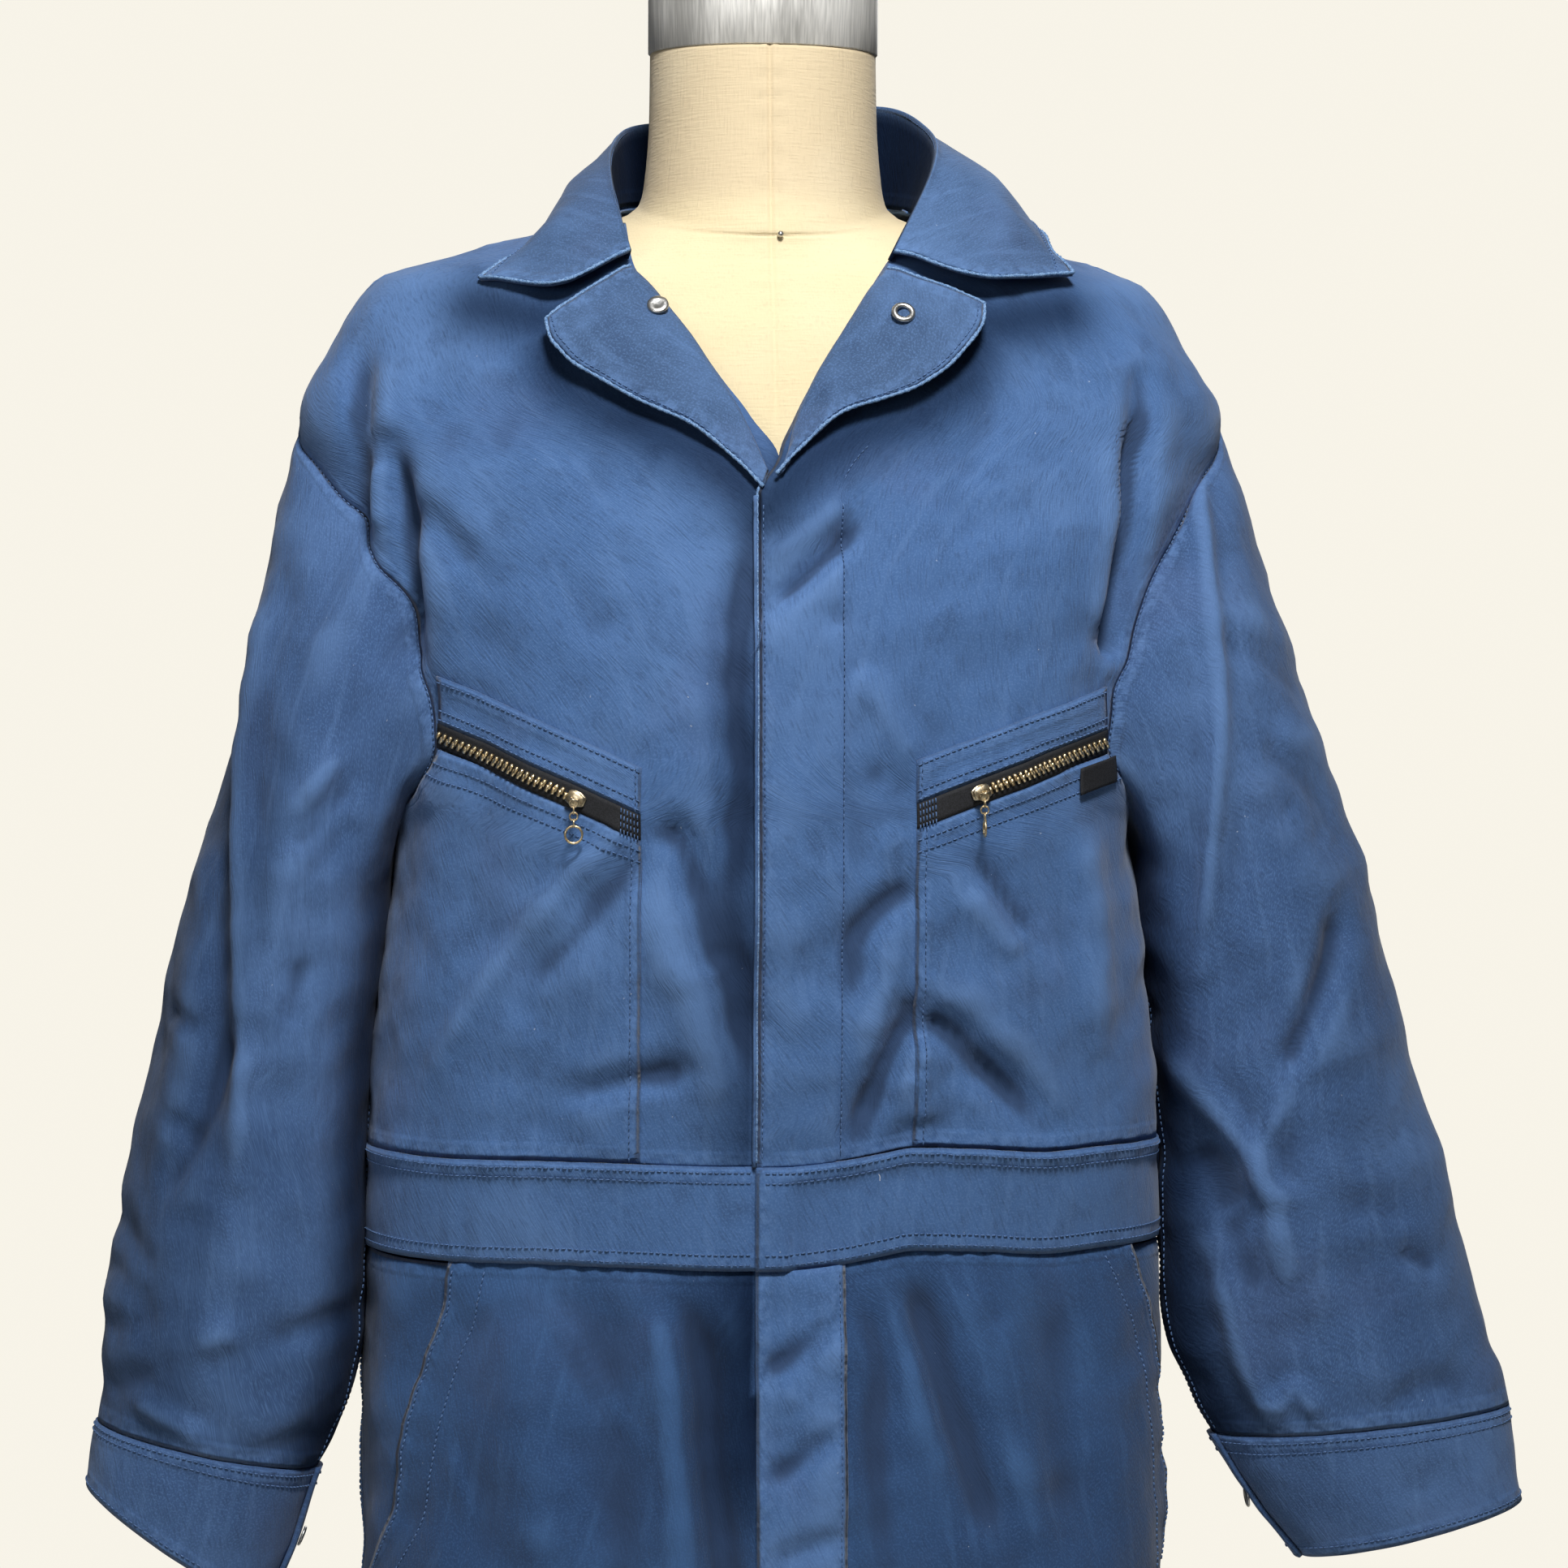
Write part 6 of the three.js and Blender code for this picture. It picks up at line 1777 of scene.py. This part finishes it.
def flat_block(outline_points, height, inset):
    """A plate with chamfered top: its outline at the foot, again near the top, and drawn in on
    the very top, closed by quads fanned between its first and last points."""
    outline_points = np.array(outline_points, float)
    count = len(outline_points)
    layers = [(0.0, 1.0), (height - inset, 1.0), (height, 1 - inset / 4)]
    centre = outline_points.mean(axis=0)
    points = []
    for z, share in layers:
        ring = centre + (outline_points - centre) * share
        points.append(np.column_stack([ring, np.full(count, z)]))
    points.append(np.array([[*centre, 0.0]]).repeat(count, 0))
    points.append(np.array([[*centre, height]]).repeat(count, 0))
    order = [3, 0, 1, 2, 4]
    points = np.concatenate([points[k] for k in order])
    faces = []
    for i in range(4):
        for j in range(count):
            a = i * count + j
            b = i * count + (j + 1) % count
            faces.append((a, b, b + count, a + count))
    return points, np.array(faces)


SLIDER_LENGTH = 9.0
SLIDER_WIDTH = 7.4
LUG_RADIUS = 1.7
LINK_RADIUS = 1.9
LINK_WIRE = 0.45
LINK_PITCH = 3.15
RING_RADIUS = 4.1
RING_WIRE = 0.6


def wire_ring(centre, radius, wire, sideways):
    """A ring of wire that hangs upright, seen face on or from the side."""
    angle = np.linspace(0, 2 * np.pi, 28, endpoint=False)
    flat = np.cos(angle) * radius
    z = np.sin(angle) * radius
    zero = np.zeros_like(flat)
    path = np.stack([zero, flat, z] if sideways else [flat, zero, z], axis=1)
    return tube(path + centre, wire, 10, closed=True)


def make_slider(side):
    """The slider: two plates with flanges round the teeth and a lug, then its chain and ring,
    which hang from the lug where the CAD's do."""
    pocket = CHEST_POCKETS[side]
    sign = sign_of(side)
    seat, out = along_path(front_spot, sign * pocket["slider"], zip_height(side, pocket["slider"]), 2.2)
    out = unit(out)
    slant = math.atan(pocket["slope"])
    flat = unit(np.array([-out[1], out[0], 0.0])) * sign
    up = unit(np.cross(flat, out)) * -sign
    way = unit(flat * math.cos(slant) + up * math.sin(slant))
    across = unit(np.cross(out, way))
    nose = [(-0.5, -0.26), (-0.42, -0.36), (-0.1, -0.5), (0.2, -0.5), (0.5, -0.4), (0.5, 0.4), (0.2, 0.5),
            (-0.1, 0.5), (-0.42, 0.36), (-0.5, 0.26)]
    plate = np.array(nose) * [SLIDER_LENGTH, SLIDER_WIDTH]
    base = placed(flat_block(plate, 1.1, 0.3), seat, way, across, out)
    top = placed(flat_block(plate * 0.94, 1.2, 0.4), seat + out * 2.5, way, across, out)
    wall_outline = np.array([(-0.36, -0.2), (0.1, -0.42), (0.1, -0.3), (-0.2, 0.0), (0.1, 0.3), (0.1, 0.42),
                             (-0.36, 0.2)]) * [SLIDER_LENGTH, SLIDER_WIDTH]
    wall = placed(flat_block(wall_outline, 1.6, 0.1), seat + out * 1.0, way, across, out)
    joint = next(j for j in frame["joints"] if j["name"].startswith(f"pull_{side}"))
    hinge = np.array(joint["pos_m"], float) / METRE
    angle = np.linspace(-0.55, np.pi + 0.55, 18)
    lug_path = hinge + (out * (np.sin(angle) * 1.0)[:, None] + way * np.cos(angle)[:, None]) * LUG_RADIUS
    feet = [seat + out * 3.6 + way * LUG_RADIUS * 0.9, *lug_path, seat + out * 3.6 - way * LUG_RADIUS * 0.9]
    lug = tube(np.array(feet), 0.55, 8)
    solid(f"slider_{side}_brass", join([base, top, wall, lug]), aged_brass, [f"slider_{side}"])
    links = []
    for i in range(4):
        centre = hinge + np.array([0, 0, -LINK_RADIUS - i * LINK_PITCH])
        links.append(wire_ring(centre, LINK_RADIUS, LINK_WIRE, i % 2 == 1))
    end = hinge[2] - LINK_RADIUS - 3 * LINK_PITCH - LINK_RADIUS
    ring_spot = np.array([hinge[0], hinge[1], end - RING_RADIUS + LINK_WIRE])
    links.append(wire_ring(ring_spot, RING_RADIUS, RING_WIRE, pocket["sideways"]))
    solid(f"zip_pull_{side}_brass", join(links), bright_brass, [f"zip_pull_{side}"],
          f"pull_{side}")


LABEL_FROM = 147
LABEL_TO = 165
LABEL_HEIGHT = 13
TAPE_LIFT = 1.9
WOVEN = 0.8
for side in SIDES:
    pocket = CHEST_POCKETS[side]
    outer = pocket_outer(side)
    patch = pocket_patch(side)
    cloth(f"chest_pocket_{side}", patch, steps(130, 3.2), steps(180, 3.2), body_twill, shade=under_arm_shade)
    cloth(f"chest_welt_{side}", pocket_welt(side), np.linspace(0, 1, 40), np.linspace(0, 1, 11), welt_twill)
    tape = zip_strip(side, -ZIP_HALF_OPENING, ZIP_HALF_OPENING, pocket["inner"], outer, TAPE_LIFT)
    cloth(f"zip_tape_{side}", tape, np.linspace(0, 1, 40), np.linspace(0, 1, 7), black_tape, WOVEN)
    teeth = zip_teeth(side, pocket["slider"] + 4.5, outer - 1)
    solid(f"zip_teeth_{side}_brass", teeth, bright_brass, [f"zip_teeth_{side}"])
    make_slider(side)


def label_place(u, v, lift=0.0):
    """The blank woven label under the left pocket's mouth."""
    x = lerp(LABEL_FROM, LABEL_TO, u)
    mouth = zip_height("left", x) - ZIP_HALF_OPENING
    return front_spot(x, mouth - 1.5 - LABEL_HEIGHT * (1 - v), 5.0 + lift)


cloth("pocket_label", label_place, np.linspace(0, 1, 12), np.linspace(0, 1, 9), black_tape, WOVEN)

# stitching

t = np.linspace(0, 1, 160)
placket_levels = np.linspace(WAIST_TOP + 4, PLACKET_TOP - 4, 220)


def on_front(x, level, lift):
    """The body's front at a distance from the centre line."""
    return trunk(front_turn(x, level), level, lift)


sew_on(on_front, PLACKET_STITCH, placket_levels, 0.5 + PLACKET_LIFT * 0.55)
sew_on(on_front, PLACKET_FREE_EDGE + 3, placket_levels, THREAD_LIFT + PLACKET_LIFT)
top_curve = np.linspace(0, 1, 40)
sew_on(front_spot, PLACKET_STITCH + 14 * top_curve**2, PLACKET_TOP + 26 * top_curve)
for level in (WAIST_BOTTOM + 3, WAIST_BOTTOM + 8, WAIST_TOP - 8, WAIST_TOP - 3):
    sew_on(waistband, np.linspace(band_start + 0.02, np.pi / 2, 240), level)
    sew_on(right_band, np.linspace(-np.pi / 2, band_start - 0.01, 240), level)
    sew_on(back_band, np.linspace(np.pi / 2, 3 * np.pi / 2, 400), level)
pocket_levels = np.linspace(SLASH_END + 8, WAIST_BOTTOM - 4, 90)
side_levels = np.linspace(66, WAIST_BOTTOM - 5, 400)
down_sleeve = np.linspace(0.03, 0.99, 400)
around = np.linspace(0, 1, 300)
for side in SIDES:
    pocket = CHEST_POCKETS[side]
    patch = pocket_patch(side)
    welt = pocket_welt(side)
    inner = pocket["inner"]
    tape_end = zip_strip(side, -ZIP_HALF_OPENING, ZIP_HALF_OPENING, inner, inner + 12, 2.2)
    front_leg = leg_front(side)
    back_leg = leg_back(side)
    seam_lines = [(patch, 0.022, t), (patch, t, 0.965), (patch, t, 0.93)]
    seam_lines += [(welt, t, v) for v in (0.09, 0.28, 0.88)]
    seam_lines += [(tape_end, u, np.linspace(-0.1, 1.0, 12)) for u in np.linspace(0.12, 0.75, 6)]
    seam_lines += [(welt, 0.025, t), (front_leg, 0.975, pocket_levels), (front_leg, 0.86, pocket_levels),
                   (lapel(side), 0.94, t)]
    seam_lines += [(partial(sleeve, side), u, down_sleeve, 0.0) for u in (0.03, 0.975)]
    seam_lines += [(partial(sleeve, side), around, 0.018)]
    seam_lines += [(partial(cuff, side), around, v) for v in (0.07, 0.16, 0.93)]
    seam_lines += [(back_leg, u, side_levels) for u in (0.98, 0.95, 0.012)]
    seam_lines += [(place, t, level) for level in (62, 74) for place in (back_leg, front_leg)]
    for seam_line in seam_lines:
        sew_on(*seam_line)
sew_on(collar_place, np.linspace(0.01, 0.99, 260), 0.95)
sew_on(back_panel, np.linspace(0, 1, 260), WAIST_TOP + 3)
sew_on(fly, (PLACKET_STITCH - PLACKET_FREE_EDGE) / 44, np.linspace(FLY_END + 3, WAIST_BOTTOM - 3, 90))
thread_mesh = mesh_object("topstitching", *join(stitches), blue_thread)
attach(thread_mesh, "root")

# loose ends of thread


def thread_end(x, z, reach, drop, curl):
    """A loose end lying on the front: across by its reach and down by its drop, with a curl."""
    share = np.linspace(0, 1, 14)
    across = x + reach * share + curl * np.sin(share * 5)
    down = z - drop * share + curl * np.cos(share * 4)
    return tube(front_spot(across, down, 6.0), 0.16, 5)


WHITE_ENDS = [(91, 1547, 3, 2.5, 0.5), (86, 1538, 0.5, 4, 0.4), (48, 1124, 1, 3, 0.3)]
BLUE_ENDS = [(-11, 1392, -2, 10, 1.6), (-11, 1398, 1, 12, 1.1), (-10, 1411, 2, 6, 1.2)]
for name, ends, thread in [("white", WHITE_ENDS, white_thread), ("blue", BLUE_ENDS, blue_thread)]:
    solid(f"{name}_thread_ends", join([thread_end(*end) for end in ends]), thread)

# snaps

CAP_PROFILE = [(0, 0), (5.0, 0), (5.4, 0.4), (5.3, 0.9), (4.6, 1.35), (3.0, 1.6), (2.6, 1.45), (0, 1.4)]
SOCKET_PROFILE = [(3.1, 0), (5.9, 0), (6.1, 0.5), (5.4, 1.4), (4.4, 1.6), (3.5, 1.3), (3.1, 0.8), (3.1, 0)]


snaps = [("neck_snap_cap", front_spot, -57, 1551.5, 5.4, CAP_PROFILE),
         ("neck_snap_socket", front_spot, 62, 1546, 9.8, SOCKET_PROFILE)]
snaps += [(f"cuff_snap_{side}", partial(cuff, side), 1.0, 0.55, 0.4, CAP_PROFILE) for side in SIDES]
for name, place, u, v, lift, profile in snaps:
    spot, normal = along_path(place, u, v, lift)
    normal = unit(normal)
    beside = unit(np.cross(normal, [0.2, 0.1, 1.0]))
    shape = placed(lathe(profile, 32), spot, beside, np.cross(normal, beside), normal)
    solid(f"{name}_nickel", shape, nickel, [name])

# the dress form

form = table("level half front back round drop rise", [
    (874, 160, 100, 110, 2.3, 0, 0),
    (884, 164, 104, 114, 2.3, 0, 0),
    (960, 168, 108, 120, 2.3, 0, 0),
    (1030, 160, 102, 105, 2.3, 0, 0),
    (1110, 136, 92, 92, 2.2, 0, 0),
    (1190, 118, 86, 84, 2.2, 0, 0),
    (1260, 128, 94, 92, 2.2, 0, 0),
    (1340, 146, 108, 104, 2.3, 0, 0),
    (1400, 154, 113, 110, 2.3, 0, 0),
    (1450, 160, 109, 112, 2.3, 0, 0),
    (1507, 176, 97, 107, 2.2, 0, 0),
    (1545, 190, 88, 98, 2.2, 0.038, 0.038),
    (1572, 190.5, 78.6, 90.6, 2.2, 0.12, 0.12),
    (1584, 169.5, 74, 86, 2.2, 0.16, 0.16),
    (1596, 118, 68.5, 80.5, 2.2, 0.2, 0.2),
    (1606, 83, 66, 74, 2.1, 0.24, 0.2),
    (1616, 64, 66, 66, 2.0, 0.3, 0.2),
    (1628, 61, 63, 60, 2.0, 0.27, 0.2),
    (1660, 58.5, 57, 55, 2.0, 0.13, 0.13),
    (1694, 58, 54, 54, 2.0, 0.07, 0.07),
])
FORM_BOTTOM = 874
FORM_TOP = 1694
NECK_SEAM = 1611


def form_point(turn, level, lift=0.0):
    """The form's outline at a level, its front dropped and its back raised, with a low ridge
    along its centre seams and its neck seam."""
    x, y = section(form, turn, level)
    tilt = np.where(y < 0, form["drop"](level), form["rise"](level))
    ridge = 0.5 * np.exp(-((np.abs(x) - 2.4) / 1.6) ** 2) - 0.7 * np.exp(-(x / 1.3) ** 2)
    ridge = ridge + 0.25 * np.sin(level / 1.9 + np.sin(level / 7)) * np.exp(-((np.abs(x) - 4) / 4) ** 2)
    around = 0.6 * np.exp(-((level - NECK_SEAM - 3) / 2) ** 2)
    around = around - 0.8 * np.exp(-((level - NECK_SEAM) / 1.2) ** 2)
    out = 1 + (np.clip(ridge, -0.7, 0.7) * (level > 1500) + around + lift) / np.maximum(np.hypot(x, y), 20)
    return np.stack([x * out, y * out, level + tilt * y], axis=-1)


BY_CENTRE_SEAM = [0.006, 0.012, 0.018, 0.03, 0.04, 6.277, 6.271, 6.265, 6.253, 6.243]
form_turns = np.sort(np.concatenate([np.linspace(0, 2 * np.pi, 241)[:-1], BY_CENTRE_SEAM]))
form_levels = np.concatenate([np.linspace(FORM_BOTTOM, 1560, 120)[:-1], np.linspace(1560, FORM_TOP, 90)])
grid_turn, grid_level = np.meshgrid(form_turns, form_levels)
form_grid = form_point(grid_turn, grid_level)
poles = [np.tile([[[0.0, 0.0, level]]], (1, len(form_turns), 1)) for level in (FORM_BOTTOM, FORM_TOP)]
form_grid = np.concatenate([poles[0], form_grid, poles[1]])
form_shape = (form_grid.reshape(-1, 3), ring_faces(*form_grid.shape[:2]))
solid("form_torso_linen", form_shape, linen, ["form_torso"])

CAP_RADIUS = 59
CAP_HEIGHT = 44
CAP_DEPTH_SHARE = 0.935
cap_profile = [(0, 0), (CAP_RADIUS - 0.6, 0), (CAP_RADIUS, 0.6), (CAP_RADIUS, 20), (CAP_RADIUS, 35),
               (CAP_RADIUS - 0.5, 38), (CAP_RADIUS - 2, 41), (CAP_RADIUS - 4.5, 43),
               (CAP_RADIUS - 8, CAP_HEIGHT), (0, CAP_HEIGHT)]
tilt = math.atan(0.07)
cap_points, cap_faces = lathe(cap_profile, 128)
cap_shape = placed((cap_points * [1, CAP_DEPTH_SHARE, 1], cap_faces), (0, 0, FORM_TOP + 0.3), (1, 0, 0),
                   (0, math.cos(tilt), math.sin(tilt)), (0, -math.sin(tilt), math.cos(tilt)))
solid("neck_cap_steel", cap_shape, brushed_steel_painted_reflections, ["neck_cap"])

# the stand: carried-over nodes

stand_looks = {"form_bottom_plate": plate_wood, "pole_clamp": black_iron, "clamp_knob": black_iron,
               "pole": black_iron, "foot": black_iron, "neck_pin": nickel}
for node_name, look in stand_looks.items():
    for holder in frame["nodes"][node_name].material_slots:
        holder.material = look

# floor, light and camera


FLOOR_RADIUS = 3900
FLOOR_GLOW = 0.45


def stage_floor():
    """A pale disc under the stand."""
    material, tree, shader, place = new_material("pale_floor", Roughness=0.9)
    soft = noise(tree, place, 3, 2)
    colour = mixed(tree, times(tree, soft, 0.1), (0.93, 0.9, 0.8, 1), (0.88, 0.85, 0.76, 1))
    tree.links.new(colour, shader.inputs["Base Color"])
    shader.inputs["Emission Color"].default_value = (0.9, 0.87, 0.79, 1)
    seen = add(tree, "ShaderNodeLightPath").outputs["Is Camera Ray"]
    tree.links.new(times(tree, seen, FLOOR_GLOW), shader.inputs["Emission Strength"])
    disc = lathe([(0, -2), (FLOOR_RADIUS, -2), (FLOOR_RADIUS, 0), (0, 0)], 96)
    floor = mesh_object("floor", *disc, material)
    clean_mesh(floor.data)


stage_floor()

world = bpy.data.worlds.new("pale_room")
bpy.context.scene.world = world
world.use_nodes = True
room = world.node_tree
for node in list(room.nodes):
    room.nodes.remove(node)
WALL = (0.935, 0.9, 0.81, 1)
ROOM_ABOVE = 0.12
ROOM_BELOW = 0.008
seen = add(room, "ShaderNodeBackground", None, {0: WALL, 1: 1.0})
upward = add(room, "ShaderNodeTexCoord").outputs["Generated"]
above = ramp(room, add(room, "ShaderNodeSeparateXYZ", None, {0: upward}).outputs[2], -0.3, 0.7)
glow = maths(room, "ADD", times(room, above, ROOM_ABOVE - ROOM_BELOW), ROOM_BELOW)
lit = add(room, "ShaderNodeBackground", None, {0: (0.93, 0.93, 0.92, 1), 1: glow})
ray = add(room, "ShaderNodeLightPath").outputs["Is Camera Ray"]
pick = add(room, "ShaderNodeMixShader", None, {0: ray, 1: lit.outputs[0], 2: seen.outputs[0]})
room_out = add(room, "ShaderNodeOutputWorld")
room.links.new(pick.outputs[0], room_out.inputs[0])


def area_light(name, place, target, size, power, colour=(1, 1, 1)):
    """A soft square light at a place, turned to a target."""
    light = bpy.data.lights.new(name, "AREA")
    light.energy = power
    light.size = size
    light.color = colour
    holder = bpy.data.objects.new(name, light)
    bpy.context.scene.collection.objects.link(holder)
    way = np.array(target, float) - np.array(place, float)
    yaw = math.atan2(way[0], -way[1])
    pitch = math.atan2(math.hypot(way[0], way[1]), -way[2])
    holder.rotation_euler = (pitch, 0, yaw + math.pi)
    holder.location = place


area_light("key", (0.1, -1.5, 2.85), (0.0, 0.0, 1.35), 0.45, 50)
area_light("fill", (-1.2, -2.0, 1.7), (0.0, 0.0, 1.2), 0.8, 6)
area_light("behind", (0.4, 2.4, 2.6), (0.0, 0.0, 1.3), 1.6, 26)

VIEW_TURN = math.radians(4)
CAMERA_DISTANCE = 2.0
CAMERA_SIDESTEP = 0.0109
CAMERA_HEIGHT = 1.32
LENS = 89.3
camera = bpy.data.cameras.new("camera")
camera.lens = LENS
camera.sensor_width = 36
viewer = bpy.data.objects.new("camera", camera)
bpy.context.scene.collection.objects.link(viewer)
viewer.location = (-CAMERA_DISTANCE * math.sin(VIEW_TURN) + CAMERA_SIDESTEP * math.cos(VIEW_TURN),
                   -CAMERA_DISTANCE * math.cos(VIEW_TURN) - CAMERA_SIDESTEP * math.sin(VIEW_TURN),
                   CAMERA_HEIGHT)
viewer.rotation_euler = (math.pi / 2, 0, -VIEW_TURN)
bpy.context.scene.camera = viewer
bpy.context.scene.view_settings.view_transform = "Standard"
